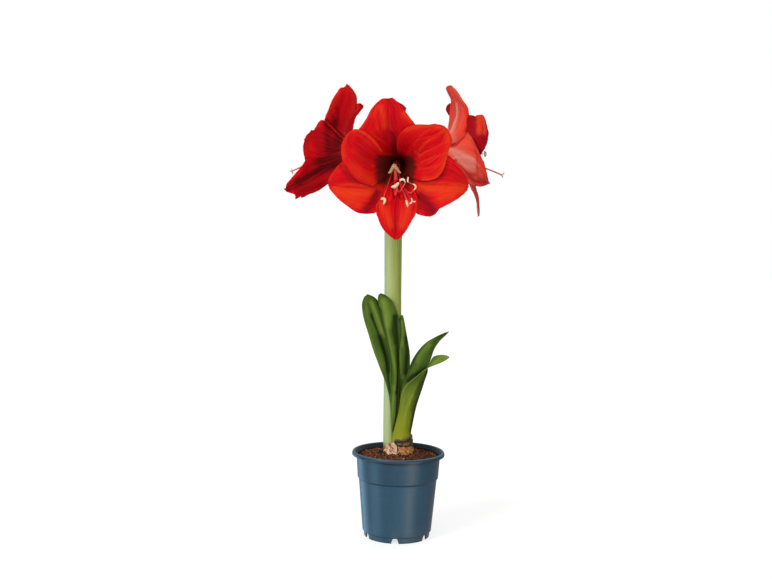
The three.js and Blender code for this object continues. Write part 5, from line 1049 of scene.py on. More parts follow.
        (0.98, 0.04, -0.1, -1.06, -1.18),
        (1.0, 0.65, 0.33, -1.71, -0.21),
    ],
    "right/top": [
        (0.2, 1.56, -1.15, 4.26, -8.69),
        (0.22, 2.47, -1.81, 5.2, -10.51),
        (0.25, 3.47, -2.55, 5.7, -11.22),
        (0.27, 4.62, -3.4, 5.52, -11.0),
        (0.3, 5.97, -4.39, 5.44, -10.82),
        (0.32, 7.62, -5.6, 4.92, -10.27),
        (0.35, 5.41, -6.04, 4.44, -9.74),
        (0.37, 2.68, -5.51, 3.73, -9.12),
        (0.39, 0.67, -5.1, 2.99, -8.53),
        (0.42, -0.77, -4.59, 2.32, -8.01),
        (0.44, -2.18, -4.13, 1.2, -7.35),
        (0.47, -3.46, -3.74, 0.28, -6.83),
        (0.49, -3.49, -3.32, -0.58, -6.43),
        (0.52, -3.42, -2.9, -0.84, -6.3),
        (0.54, -3.27, -2.48, -0.87, -6.22),
        (0.56, -2.93, -2.05, -0.79, -6.11),
        (0.59, -2.4, -1.58, -0.3, -6.06),
        (0.61, -1.86, -1.11, 0.24, -5.99),
        (0.64, -1.83, -0.64, 0.14, -5.98),
        (0.66, -1.76, -0.19, -0.27, -5.93),
        (0.68, -1.64, 0.29, 0.17, -5.79),
        (0.71, -1.42, 0.8, 1.12, -5.48),
        (0.73, -0.6, 1.33, 0.79, -5.56),
        (0.76, 0.29, 1.78, 0.32, -5.7),
        (0.78, 0.72, 2.3, -0.53, -6.14),
        (0.81, 1.1, 2.69, -0.83, -6.25),
        (0.83, 0.47, 2.97, -0.81, -6.14),
        (0.85, -0.45, 3.12, -0.46, -5.8),
        (0.88, -1.46, 3.25, 0.28, -5.07),
        (0.9, -1.57, 3.7, 1.29, -4.08),
        (0.93, -1.88, 4.0, 2.3, -2.95),
        (0.95, -1.06, 4.49, 2.88, -2.08),
        (0.98, 1.68, 2.96, 3.52, -0.88),
        (1.0, 4.85, 1.55, 3.89, 0.07),
    ],
    "right/far_upper": [
        (0.2, 0.0, 0.0, 0.0, 0.0),
        (0.22, 0.0, 0.0, 0.0, 0.0),
        (0.25, 0.0, 0.0, 0.0, 0.0),
        (0.27, 0.0, 0.0, 0.0, 0.0),
        (0.3, 0.0, 0.0, 0.0, 0.0),
        (0.32, 0.0, 0.0, 0.0, 0.0),
        (0.35, 0.0, 0.0, 0.0, 0.0),
        (0.37, 0.0, 0.0, 0.0, 0.0),
        (0.39, 0.0, 0.0, 0.0, 0.0),
        (0.42, 0.0, 0.0, 0.0, 0.0),
        (0.44, 0.0, 0.0, 0.0, 0.0),
        (0.47, 0.0, 0.0, 0.0, 0.0),
        (0.49, 0.0, 0.0, 0.0, 0.0),
        (0.52, 0.06, 0.0, 0.0, 0.0),
        (0.54, 0.36, 0.02, 0.0, 0.0),
        (0.56, 0.91, 0.04, 0.0, 0.0),
        (0.59, 1.72, 0.08, 0.0, 0.0),
        (0.61, 2.78, 0.12, 0.0, 0.0),
        (0.64, 4.08, 0.18, 0.0, 0.0),
        (0.66, 5.67, 0.25, 0.0, 0.0),
        (0.68, 5.87, 0.63, 0.0, 0.0),
        (0.71, 5.73, 1.07, 0.0, 0.0),
        (0.73, 5.45, 1.51, 0.03, 0.01),
        (0.76, 5.34, 1.95, 0.19, 0.1),
        (0.78, 5.65, 2.46, 0.49, 0.26),
        (0.81, 4.97, 2.94, 0.88, 0.47),
        (0.83, 3.58, 3.47, 1.34, 0.71),
        (0.85, 1.26, 3.17, 1.84, 0.98),
        (0.88, -0.82, 2.98, 2.34, 1.25),
        (0.9, -2.14, 3.15, 2.83, 1.51),
        (0.93, -2.14, 3.5, 3.26, 1.74),
        (0.95, -1.34, 3.66, 3.61, 1.93),
        (0.98, 0.74, 3.49, 3.84, 2.05),
        (1.0, 3.93, 2.1, 3.93, 2.1),
    ],
    "right/near_upper": [
        (0.2, 0.72, -1.3, 0.0, 0.0),
        (0.22, 2.04, -3.7, 0.0, 0.0),
        (0.25, 3.65, -6.61, 0.0, 0.0),
        (0.27, 5.52, -9.99, 0.0, 0.0),
        (0.3, 7.68, -13.9, 0.0, 0.0),
        (0.32, 7.25, -13.6, 0.0, 0.0),
        (0.35, 6.74, -12.18, 0.0, 0.0),
        (0.37, 6.46, -10.99, 0.0, -0.0),
        (0.39, 5.55, -9.43, 0.01, -0.04),
        (0.42, 4.75, -8.03, 0.02, -0.11),
        (0.44, 3.71, -6.76, 0.05, -0.22),
        (0.47, 2.79, -5.63, 0.08, -0.37),
        (0.49, 1.16, -4.3, 0.12, -0.55),
        (0.52, -0.71, -2.88, 0.17, -0.77),
        (0.54, -2.46, -1.55, -0.23, -0.23),
        (0.56, -3.98, -0.39, -0.57, 0.42),
        (0.59, -5.33, 0.79, -0.94, 1.12),
        (0.61, -6.66, 2.03, -1.41, 1.76),
        (0.64, -7.49, 2.52, -2.1, 2.63),
        (0.66, -6.87, 1.77, -2.57, 3.21),
        (0.68, -6.43, 0.99, -3.05, 3.72),
        (0.71, -6.08, -0.05, -3.62, 4.22),
        (0.73, -5.76, -0.87, -3.72, 4.4),
        (0.76, -5.39, -1.59, -3.61, 4.4),
        (0.78, -5.14, -1.54, -3.3, 4.38),
        (0.81, -5.2, -1.62, -3.39, 4.48),
        (0.83, -5.27, -0.06, -3.29, 4.57),
        (0.85, -4.73, 1.31, -2.32, 4.56),
        (0.88, -4.13, 2.54, -1.77, 4.67),
        (0.9, -3.41, 3.82, -1.14, 4.64),
        (0.93, -2.73, 4.5, -1.06, 4.53),
        (0.95, -2.5, 4.88, -1.97, 4.57),
        (0.98, -2.92, 4.1, -3.0, 4.52),
        (1.0, -4.14, 2.64, -4.19, 4.47),
    ],
    "right/near_lower": [
        (0.2, 0.15, -0.19, 0.0, 0.0),
        (0.22, 0.22, -0.27, 0.0, 0.0),
        (0.25, 0.35, -0.3, 0.0, 0.0),
        (0.27, -0.27, 0.3, -0.0, -0.0),
        (0.3, -1.93, 2.65, -0.05, -0.09),
        (0.32, -3.5, 4.97, -0.19, -0.3),
        (0.35, -5.37, 7.77, -0.43, -0.69),
        (0.37, -7.22, 10.51, -0.79, -1.26),
        (0.39, -7.99, 10.98, -1.26, -2.02),
        (0.42, -8.48, 10.25, -1.85, -2.97),
        (0.44, -9.6, 7.12, -2.56, -4.09),
        (0.47, -10.89, 4.64, -2.14, -3.52),
        (0.49, -11.83, 2.87, -1.57, -2.91),
        (0.52, -12.38, 1.45, -0.81, -2.01),
        (0.54, -12.74, 0.83, -0.44, -1.67),
        (0.56, -12.86, 0.59, -0.19, -1.59),
        (0.59, -12.67, 0.5, 0.15, -1.36),
        (0.61, -12.32, 0.57, 0.5, -1.13),
        (0.64, -12.17, 0.56, 0.72, -1.02),
        (0.66, -12.11, 0.46, 0.9, -1.09),
        (0.68, -11.73, 0.53, 1.33, -0.42),
        (0.71, -10.83, 0.68, 1.53, -0.22),
        (0.73, -9.87, 0.79, 1.64, -0.31),
        (0.76, -9.41, 0.79, 1.79, 0.21),
        (0.78, -8.77, 0.83, 1.95, 0.46),
        (0.81, -7.73, 0.97, 2.04, 0.84),
        (0.83, -6.38, 1.14, 2.23, 0.98),
        (0.85, -5.48, 1.2, 2.34, 1.58),
        (0.88, -4.57, 1.26, 2.44, 2.15),
        (0.9, -3.53, 1.3, 2.6, 2.31),
        (0.93, -2.65, 1.33, 2.57, 2.83),
        (0.95, -2.04, 1.24, 2.62, 3.16),
        (0.98, -0.74, 1.23, 2.66, 3.7),
        (1.0, 1.98, 1.55, 2.83, 4.09),
    ],
    "right/bottom": [
        (0.2, 0.0, 0.0, 0.0, 0.0),
        (0.22, 0.0, 0.0, 0.0, 0.0),
        (0.25, 0.0, 0.0, 0.0, 0.0),
        (0.27, 0.0, 0.0, 0.0, 0.0),
        (0.3, 0.0, 0.0, 0.0, 0.0),
        (0.32, 0.0, 0.0, 0.0, 0.0),
        (0.35, 0.0, 0.0, 0.03, 0.03),
        (0.37, 0.13, 0.1, 0.35, 0.35),
        (0.39, 0.6, 0.47, 1.09, 1.09),
        (0.42, 1.45, 1.13, 2.25, 2.26),
        (0.44, 2.65, 2.07, 3.82, 3.84),
        (0.47, 4.2, 3.27, 5.78, 5.82),
        (0.49, 6.1, 4.75, 8.15, 8.2),
        (0.52, 8.35, 6.51, 8.86, 8.73),
        (0.54, 7.4, 6.0, 8.6, 8.19),
        (0.56, 6.46, 5.38, 8.54, 7.96),
        (0.59, 5.68, 4.88, 8.17, 7.56),
        (0.61, 4.81, 4.33, 7.85, 7.22),
        (0.64, 4.22, 3.86, 7.85, 6.99),
        (0.66, 3.62, 3.35, 7.83, 6.77),
        (0.68, 2.67, 2.83, 7.67, 6.48),
        (0.71, 1.89, 2.45, 7.42, 6.09),
        (0.73, 1.23, 2.09, 7.15, 5.79),
        (0.76, 0.71, 1.87, 6.75, 5.42),
        (0.78, 0.3, 1.68, 6.63, 5.19),
        (0.81, -0.06, 1.5, 6.2, 4.94),
        (0.83, -0.14, 1.38, 5.31, 4.53),
        (0.85, 0.02, 1.27, 4.49, 4.16),
        (0.88, 0.44, 1.14, 3.75, 3.77),
        (0.9, 0.77, 1.02, 3.19, 3.46),
        (0.93, 0.98, 0.9, 2.62, 3.16),
        (0.95, 1.21, 0.76, 2.1, 2.89),
        (0.98, 1.39, 0.82, 1.79, 2.68),
        (1.0, 0.09, 1.83, 1.55, 2.4),
    ],
    "left/top": [
        (0.2, 0.66, 1.56, 0.0, 0.0),
        (0.22, 1.37, 2.67, 0.0, 0.0),
        (0.25, 1.9, 3.41, 0.0, 0.0),
        (0.27, 2.26, 3.82, 0.0, 0.0),
        (0.3, 2.51, 4.07, 0.0, 0.0),
        (0.32, 2.53, 4.06, 0.0, 0.0),
        (0.35, 2.09, 3.62, 0.0, 0.0),
        (0.37, 1.1, 2.88, 0.0, 0.0),
        (0.39, -0.39, 1.95, 0.0, 0.0),
        (0.42, -1.94, 1.2, 0.0, 0.0),
        (0.44, -3.73, 0.26, 0.0, 0.0),
        (0.47, -3.76, -0.22, 0.0, -0.01),
        (0.49, -2.81, -0.3, 0.11, -0.07),
        (0.52, -2.01, -0.4, 0.39, -0.24),
        (0.54, -0.78, -0.62, 0.84, -0.51),
        (0.56, -0.38, -0.73, 1.46, -0.88),
        (0.59, -0.55, -0.67, 2.26, -1.34),
        (0.61, -0.3, -0.75, 3.2, -1.89),
        (0.64, 0.12, -0.86, 3.93, -2.12),
        (0.66, 0.42, -0.94, 4.05, -1.68),
        (0.68, -0.02, -0.75, 3.94, -1.16),
        (0.71, -0.4, -0.56, 3.4, -0.5),
        (0.73, -0.37, -0.58, 2.93, 0.07),
        (0.76, -0.29, -0.64, 3.21, 0.55),
        (0.78, -0.06, -0.76, 3.12, 1.01),
        (0.81, -0.24, -0.66, 2.89, 1.43),
        (0.83, -0.26, -0.64, 2.83, 1.88),
        (0.85, -0.79, -0.23, 2.68, 2.35),
        (0.88, -1.64, 0.51, 2.58, 2.88),
        (0.9, -2.35, 1.23, 1.6, 3.0),
        (0.93, -2.78, 1.5, 0.34, 2.9),
        (0.95, -1.39, -0.11, -1.02, 2.65),
        (0.98, -1.67, 0.24, -2.4, 2.21),
        (1.0, -2.93, 1.67, -3.94, 1.4),
    ],
    "left/far_upper": [
        (0.2, 0.0, 0.0, 0.0, 0.0),
        (0.22, 0.0, 0.0, 0.0, 0.0),
        (0.25, 0.0, 0.0, 0.0, 0.0),
        (0.27, 0.0, 0.0, 0.0, 0.0),
        (0.3, 0.0, 0.0, 0.0, 0.0),
        (0.32, 0.0, 0.0, 0.0, 0.0),
        (0.35, 0.0, 0.0, 0.0, 0.0),
        (0.37, 0.0, 0.0, 0.0, 0.0),
        (0.39, 0.0, 0.0, 0.0, 0.0),
        (0.42, 0.0, 0.0, 0.0, 0.0),
        (0.44, 0.0, 0.0, 0.0, 0.0),
        (0.47, 0.0, 0.0, 0.0, 0.0),
        (0.49, 0.0, 0.0, 0.0, 0.0),
        (0.52, 0.0, 0.0, 0.0, 0.0),
        (0.54, 0.0, 0.0, 0.0, 0.0),
        (0.56, 0.0, 0.0, 0.01, -0.0),
        (0.59, 0.0, 0.0, 0.05, -0.03),
        (0.61, 0.0, 0.0, 0.13, -0.06),
        (0.64, 0.0, 0.0, 0.23, -0.12),
        (0.66, 0.0, 0.0, 0.38, -0.19),
        (0.68, 0.0, 0.0, 0.57, -0.28),
        (0.71, 0.0, 0.0, 0.81, -0.4),
        (0.73, 0.0, -0.0, -0.07, 0.17),
        (0.76, 0.01, -0.09, -0.58, 0.72),
        (0.78, 0.07, -0.44, -1.0, 1.3),
        (0.81, 0.17, -1.07, -1.82, 2.04),
        (0.83, 0.31, -1.99, -2.83, 2.88),
        (0.85, 0.51, -3.25, -2.85, 3.36),
        (0.88, -0.57, -2.21, -2.07, 3.57),
        (0.9, -1.45, 0.62, -0.63, 3.14),
        (0.93, -2.23, 3.34, -0.17, 3.42),
        (0.95, -2.51, 6.22, 0.55, 3.68),
        (0.98, -1.21, 6.28, 1.29, 3.87),
        (1.0, 0.02, 3.47, -1.43, 4.62),
    ],
    "left/near_upper": [
        (0.2, 0.0, 0.0, 0.3, 0.93),
        (0.22, 0.0, 0.0, 0.59, 1.87),
        (0.25, 0.0, 0.0, 0.99, 3.13),
        (0.27, 0.0, 0.0, 1.31, 4.3),
        (0.3, 0.0, 0.0, 1.51, 5.13),
        (0.32, 0.0, 0.0, 1.71, 5.94),
        (0.35, 0.0, 0.0, 1.96, 6.83),
        (0.37, 0.0, 0.0, 2.12, 7.53),
        (0.39, 0.0, 0.0, 2.14, 8.01),
        (0.42, 0.0, 0.0, 1.96, 8.22),
        (0.44, 0.0, 0.0, 1.79, 8.45),
        (0.47, 0.0, 0.0, 1.87, 8.92),
        (0.49, 0.0, 0.0, 2.16, 9.71),
        (0.52, 0.0, 0.0, 2.21, 10.05),
        (0.54, 0.03, 0.06, 1.86, 9.89),
        (0.56, 0.11, 0.19, 1.42, 8.86),
        (0.59, 0.24, 0.41, 0.81, 7.43),
        (0.61, 0.41, 0.7, 1.08, 5.35),
        (0.64, 0.63, 1.06, 1.16, 2.0),
        (0.66, 0.9, 1.51, 1.46, -1.4),
        (0.68, 1.32, 2.12, 1.79, -3.29),
        (0.71, 1.5, 2.26, 2.39, -4.93),
        (0.73, 0.95, 1.8, 3.17, -6.18),
        (0.76, 0.34, 1.32, 3.67, -7.08),
        (0.78, 0.28, 1.05, 4.02, -7.64),
        (0.81, 0.47, 0.83, 4.66, -8.28),
        (0.83, 0.55, 0.57, 4.67, -8.43),
        (0.85, 0.34, 0.17, 4.06, -7.8),
        (0.88, 0.88, -0.06, 3.23, -5.62),
        (0.9, 1.34, -0.38, 4.32, -5.01),
        (0.93, 1.44, -0.81, 5.12, -5.4),
        (0.95, 1.39, -1.25, 4.08, -4.91),
        (0.98, 2.78, -2.25, 2.86, -4.31),
        (1.0, 3.33, -2.86, 3.5, -5.05),
    ],
    "left/near_lower": [
        (0.2, 0.13, -0.05, 0.0, 0.0),
        (0.22, 0.25, -0.1, 0.0, 0.0),
        (0.25, 0.4, -0.17, 0.0, 0.0),
        (0.27, 0.58, -0.24, 0.0, 0.0),
        (0.3, 0.8, -0.33, 0.0, 0.0),
        (0.32, 1.07, -0.44, 0.0, 0.0),
        (0.35, 1.43, -0.59, 0.0, 0.0),
        (0.37, 1.34, -0.89, 0.0, 0.0),
        (0.39, 0.75, -1.21, -0.0, 0.0),
        (0.42, -0.28, -0.98, -0.05, 0.07),
        (0.44, -1.05, -0.97, -0.19, 0.29),
        (0.47, -1.55, -1.18, -0.43, 0.66),
        (0.49, -2.24, -0.97, -0.76, 1.18),
        (0.52, -2.99, -0.57, -1.19, 1.84),
        (0.54, -3.35, -0.69, -1.72, 2.66),
        (0.56, -3.72, -0.91, -2.34, 3.62),
        (0.59, -4.0, -1.23, -1.78, 3.17),
        (0.61, -4.53, -0.99, -1.2, 2.6),
        (0.64, -5.06, -0.65, -0.53, 2.0),
        (0.66, -5.5, -0.35, -0.21, 1.73),
        (0.68, -5.94, 0.05, -0.25, 1.72),
        (0.71, -6.26, 0.2, -0.55, 1.87),
        (0.73, -6.65, 0.29, -0.34, 1.64),
        (0.76, -6.87, -0.63, -0.18, 1.46),
        (0.78, -7.13, -2.01, -0.48, 1.65),
        (0.81, -7.17, -3.12, -0.68, 1.75),
        (0.83, -7.18, -4.51, -0.86, 1.86),
        (0.85, -7.25, -5.12, -0.92, 1.87),
        (0.88, -2.19, -5.43, -1.3, 2.1),
        (0.9, 2.47, -2.48, -1.24, 2.02),
        (0.93, 3.22, -0.93, -0.92, 1.67),
        (0.95, 2.53, -0.59, -0.13, 1.08),
        (0.98, 2.04, 0.29, 3.58, 0.1),
        (1.0, 3.14, 3.68, 3.81, 1.74),
    ],
}


# ------------------------------------------------------------------ materials


class Nodes:
    """a short way to write a node tree"""

    def __init__(self, name):
        self.m = bpy.data.materials.new(name)
        self.m.use_nodes = True
        self.t = self.m.node_tree
        self.t.nodes.clear()
        self.out = self.t.nodes.new("ShaderNodeOutputMaterial")
        self.bsdf = self.t.nodes.new("ShaderNodeBsdfPrincipled")
        self.t.links.new(self.bsdf.outputs[0], self.out.inputs[0])

    def put(self, socket, value):
        if isinstance(value, bpy.types.NodeSocket):
            self.t.links.new(value, socket)
        elif value is not None:
            socket.default_value = value

    def node(self, kind, ins=None, **props):
        n = self.t.nodes.new(kind)
        for k, v in props.items():
            setattr(n, k, v)
        for k, v in (ins or {}).items():
            self.put(n.inputs[k], v)
        return n

    def attr(self, name):
        return self.node("ShaderNodeAttribute", attribute_name=name, attribute_type="GEOMETRY")

    def split(self, v):
        n = self.node("ShaderNodeSeparateXYZ", {0: v})
        return n.outputs[0], n.outputs[1], n.outputs[2]

    def join(self, x, y, z):
        return self.node("ShaderNodeCombineXYZ", {0: x, 1: y, 2: z}).outputs[0]

    def math(self, op, a, b=None, c=None, clamp=False):
        n = self.node("ShaderNodeMath", {0: a}, operation=op, use_clamp=clamp)
        if b is not None:
            self.put(n.inputs[1], b)
        if c is not None:
            self.put(n.inputs[2], c)
        return n.outputs[0]

    def mix(self, f, a, b, blend="MIX"):
        n = self.t.nodes.new("ShaderNodeMix")
        n.data_type = "RGBA"
        n.blend_type = blend
        self.put(n.inputs[0], f)
        self.put(n.inputs[6], a if isinstance(a, bpy.types.NodeSocket) else (*a[:3], 1))
        self.put(n.inputs[7], b if isinstance(b, bpy.types.NodeSocket) else (*b[:3], 1))
        return n.outputs[2]

    def ramp(self, f, stops, mode="EASE"):
        n = self.node("ShaderNodeValToRGB", {0: f})
        n.color_ramp.interpolation = mode
        e = n.color_ramp.elements
        while len(e) < len(stops):
            e.new(0.5)
        for el, (p, c) in zip(e, stops):
            el.position = p
            el.color = (c, c, c, 1) if isinstance(c, (int, float)) else (*c[:3], 1)
        return n.outputs[0]

    def range(self, v, a, b, lo=0.0, hi=1.0, smooth_=True):
        n = self.node("ShaderNodeMapRange", {0: v, 1: a, 2: b, 3: lo, 4: hi})
        n.interpolation_type = "SMOOTHSTEP" if smooth_ else "LINEAR"
        return n.outputs[0]

    def noise(self, vec, scale, detail=4.0, rough=0.55, distortion=0.0, dims="3D"):
        n = self.node("ShaderNodeTexNoise", {"Scale": scale, "Detail": detail, "Roughness": rough, "Distortion": distortion}, noise_dimensions=dims)
        if vec is not None:
            self.put(n.inputs["Vector"], vec)
        return n.outputs[0]

    def voronoi(self, vec, scale, feature="F1", out=0, rand=1.0):
        n = self.node("ShaderNodeTexVoronoi", {"Scale": scale, "Randomness": rand}, feature=feature)
        if vec is not None:
            self.put(n.inputs["Vector"], vec)
        return n.outputs[out]

    def scaled(self, vec, x, y, z):
        return self.node("ShaderNodeVectorMath", {0: vec, 1: (x, y, z)}, operation="MULTIPLY").outputs[0]

    def pos(self):
        return self.node("ShaderNodeNewGeometry").outputs["Position"]

    def bump(self, height, strength=0.3, distance=0.001, normal=None):
        n = self.node("ShaderNodeBump", {"Height": height, "Strength": strength, "Distance": distance})
        if normal is not None:
            self.put(n.inputs["Normal"], normal)
        return n.outputs[0]

    def set(self, **k):
        for key, v in k.items():
            self.put(self.bsdf.inputs[key.replace("_", " ")], v)

    def leafy(self, colour, amount):
        """lets some light through a thin piece, tinted with colour"""
        tr = self.node("ShaderNodeBsdfTranslucent", {"Color": colour if isinstance(colour, bpy.types.NodeSocket) else (*colour[:3], 1)})
        mixed = self.node("ShaderNodeMixShader", {0: amount})
        self.t.links.new(self.bsdf.outputs[0], mixed.inputs[1])
        self.t.links.new(tr.outputs[0], mixed.inputs[2])
        self.t.links.new(mixed.outputs[0], self.out.inputs[0])
        return tr


def petal_material(name, inner, lit, vein, painted_shade, painted_light, outer, outer_lit, outer_rib, base_out, outer_painted_shade, outer_painted_light, pale, throat, outer_rough=0.5, through=0.28, streak_lit=(0.86, 0.028, 0.011), outer_streak=0.5):
    """inner and outer face of a tepal: branching veins with lighter red between them, painted light and painted shade
    over folds and margins, and a dark throat that is partly painted shade
    """
    k = Nodes(name)
    st, mmv = k.attr("st"), k.attr("mm")
    s, t, side = k.split(st.outputs["Vector"])
    rho, edge, rnd = k.split(mmv.outputs["Vector"])
    p_painted_shade, p_painted_light, p_pale = k.split(k.attr("paint").outputs["Vector"])
    thr, clear, crimson = k.split(k.attr("extra").outputs["Vector"])
    pos = k.pos()
    # warped lengthwise coordinate, so that veins wander a little and meet at the tip
    warp = k.noise(k.join(k.math("MULTIPLY", s, 3.0), k.math("MULTIPLY", t, 2.0), k.math("MULTIPLY", rnd, 20.0)), 1.6, 2.0)
    tw = k.math("ADD", t, k.math("MULTIPLY", k.math("SUBTRACT", warp, 0.5), 0.06))
    seed = k.math("MULTIPLY", rnd, 31.0)
    fine = k.noise(k.join(k.math("MULTIPLY", s, 1.5), k.math("MULTIPLY", tw, 46.0), seed), 1.0, 3.0, 0.6)
    hair = k.noise(k.join(k.math("MULTIPLY", s, 2.5), k.math("MULTIPLY", tw, 130.0), seed), 1.0, 2.0, 0.6)
    veins = k.math("POWER", k.math("ABSOLUTE", k.math("SINE", k.math("MULTIPLY", tw, 45.0))), 0.55)
    broad = k.noise(k.join(k.math("MULTIPLY", s, 2.2), k.math("MULTIPLY", tw, 7.0), seed), 1.0, 2.0)
    blotch = k.noise(pos, 45.0, 3.0)
    grain = k.noise(pos, 2600.0, 2.0)
    # jitter lets painted edges follow the veins
    coarse = k.noise(k.join(k.math("MULTIPLY", s, 1.7), k.math("MULTIPLY", tw, 17.0), k.math("ADD", seed, 3.0)), 1.0, 3.0, 0.62)
    jitter = k.math("ADD", k.math("MULTIPLY", k.math("SUBTRACT", fine, 0.5), 0.4), k.math("MULTIPLY", k.math("SUBTRACT", coarse, 0.5), 1.5))
    kd = k.math("MULTIPLY", p_painted_shade, k.math("ADD", 1.0, jitter), clamp=True)
    kg = k.math("MULTIPLY", p_painted_light, k.math("ADD", k.math("ADD", 0.72, k.math("MULTIPLY", veins, 0.3)), jitter), clamp=True)
    kp = k.math("MULTIPLY", p_pale, k.math("ADD", k.math("ADD", 0.65, k.math("MULTIPLY", hair, 0.5)), jitter), clamp=True)
    # inner face
    c = k.mix(k.range(broad, 0.34, 0.72), inner, lit)
    c = k.mix(k.math("MULTIPLY", k.range(blotch, 0.45, 0.8), 0.25), c, lit)
    c = k.mix(k.math("MULTIPLY", k.math("SUBTRACT", 1.0, veins), 0.50), c, vein)
    c = k.mix(k.math("MULTIPLY", k.range(fine, 0.5, 0.82), 0.35), c, lit)
    c = k.mix(k.math("MULTIPLY", k.range(hair, 0.45, 0.8), 0.18), c, painted_light)
    # streaks wide enough to see from across a room, some orange and some crimson
    streak = k.noise(k.join(k.math("MULTIPLY", s, 1.7), k.math("MULTIPLY", tw, 15.0), k.math("ADD", seed, 5.0)), 1.0, 3.0, 0.62)
    streak2 = k.noise(k.join(k.math("MULTIPLY", s, 2.6), k.math("MULTIPLY", tw, 24.0), k.math("ADD", seed, 9.0)), 1.0, 2.0, 0.6)
    c = k.mix(k.math("MULTIPLY", k.range(streak, 0.52, 0.68), 0.55), c, streak_lit)
    c = k.mix(k.math("MULTIPLY", k.range(streak, 0.46, 0.32), 0.55), c, vein)
    c = k.mix(k.math("MULTIPLY", k.range(streak2, 0.54, 0.66), 0.40), c, streak_lit)
    c = k.mix(k.math("MULTIPLY", k.range(streak2, 0.44, 0.32), 0.40), c, vein)
    mid = k.math("SUBTRACT", 1.0, k.range(k.math("ABSOLUTE", t), 0.02, 0.14))
    c = k.mix(k.math("MULTIPLY", mid, 0.30), c, vein)
    margin = k.math("SUBTRACT", 1.0, k.range(edge, 0.1, 1.3))
    # painted light: margins a little lighter and more orange
    c = k.mix(k.math("MULTIPLY", margin, 0.30), c, painted_light)
    # painted light and painted shade from the strokes
    c = k.mix(kg, c, painted_light)
    c = k.mix(kd, c, painted_shade)
    c = k.mix(k.math("MULTIPLY", kp, 0.8), c, (0.78, 0.24, 0.20))
    # dark throat with a feathered edge: partly the flower's own dark colour and partly painted shade, near black at its
    # core
    feather = k.math("ADD", thr, k.math("MULTIPLY", k.math("SUBTRACT", coarse, 0.5), 0.9))
    dark = k.math("MULTIPLY", k.range(feather, 0.05, 0.66), k.range(thr, 0.0, 0.12))
    c = k.mix(k.math("MULTIPLY", dark, 0.985), c, k.mix(k.range(thr, 0.76, 0.98), throat, (0.020, 0.0065, 0.0045)))
    # outer face
    o = k.mix(k.range(broad, 0.30, 0.70), outer, outer_lit)
    o = k.mix(k.math("MULTIPLY", k.math("SUBTRACT", 1.0, veins), 0.34), o, [x * 0.66 for x in outer])
    o = k.mix(k.math("MULTIPLY", k.range(fine, 0.5, 0.85), 0.35), o, outer_lit)
    o = k.mix(k.math("MULTIPLY", k.range(streak, 0.50, 0.66), outer_streak), o, outer_lit)
    o = k.mix(k.math("MULTIPLY", k.range(streak2, 0.46, 0.34), outer_streak), o, [x * 0.72 for x in outer])
    # the crimson faces take the painted-shade colour of the outer face
    plainred = k.math("MULTIPLY", crimson, k.math("SUBTRACT", 1.0, k.math("MULTIPLY", clear, k.math("ADD", 0.9, jitter), clamp=True)), clamp=True)
    o = k.mix(plainred, o, k.mix(k.math("MULTIPLY", veins, 0.6), [x * 0.85 for x in outer_painted_shade], [min(1, x * 1.25) for x in outer_painted_shade]))
    rib = k.math("MULTIPLY", k.math("SUBTRACT", 1.0, k.range(k.math("ABSOLUTE", t), 0.02, 0.15)), k.math("SUBTRACT", 1.0, k.range(s, 0.35, 0.95)))
    rib = k.math("MULTIPLY", rib, k.math("SUBTRACT", 1.0, crimson))
    o = k.mix(k.math("MULTIPLY", rib, 0.6), o, outer_rib)
    foot = k.math("SUBTRACT", 1.0, k.range(rho, 9.0, 24.0))
    o = k.mix(k.math("MULTIPLY", foot, 0.55), o, base_out)
    # painted light along the margins of the outer face
    o = k.mix(k.math("MULTIPLY", margin, 0.35), o, outer_painted_light)
    # painted light and painted shade from the strokes on the outer face
    o = k.mix(kg, o, outer_painted_light)
    o = k.mix(kd, o, outer_painted_shade)
    o = k.mix(kp, o, pale)
    col = k.mix(side, o, c)
    rough = k.math("ADD", k.math("MULTIPLY", fine, 0.16), 0.40)
    rough = k.math("ADD", rough, k.math("MULTIPLY", k.math("SUBTRACT", 1.0, side), outer_rough - 0.45))
    h = k.math("ADD", k.math("MULTIPLY", veins, 0.5), k.math("MULTIPLY", fine, 0.5))
    h = k.math("ADD", h, k.math("ADD", k.math("MULTIPLY", grain, 0.22), k.math("MULTIPLY", hair, 0.25)))
    k.set(Base_Color=col, Roughness=rough, Normal=k.bump(h, 0.7, 0.0004))
    k.bsdf.inputs["IOR"].default_value = 1.17
    k.bsdf.inputs["Specular IOR Level"].default_value = 0.3
    k.leafy(k.mix(0.5, col, lit), through)
    return k.m


def stalk_material():
    k = Nodes("stalk_skin")
    s, t, side = k.split(k.attr("st").outputs["Vector"])
    pos = k.pos()
    streak = k.noise(k.scaled(pos, 1.0, 1.0, 0.12), 900.0, 3.0)
    spot = k.noise(pos, 160.0, 3.0)
    c = k.mix(k.range(spot, 0.35, 0.7), (0.23, 0.33, 0.07), (0.38, 0.44, 0.13))
    c = k.mix(k.math("MULTIPLY", streak, 0.4), c, (0.47, 0.52, 0.22))
    c = k.mix(k.range(s, 0.86, 0.96), c, (0.30, 0.20, 0.07))
    c = k.mix(k.range(s, 1.00, 1.20), c, (0.46, 0.030, 0.022))
    # the bore of the tube painted near black, painted shade
    c = k.mix(k.math("MULTIPLY", side, 1.0), c, (0.022, 0.004, 0.004))
    k.set(Base_Color=c, Roughness=k.math("ADD", k.math("MULTIPLY", spot, 0.2), 0.36), Normal=k.bump(streak, 0.35, 0.0004))
    k.bsdf.inputs["Subsurface Weight"].default_value = 0.12
    k.bsdf.inputs["Subsurface Radius"].default_value = (0.004, 0.005, 0.001)
    k.bsdf.inputs["Subsurface Scale"].default_value = 1.0
    return k.m


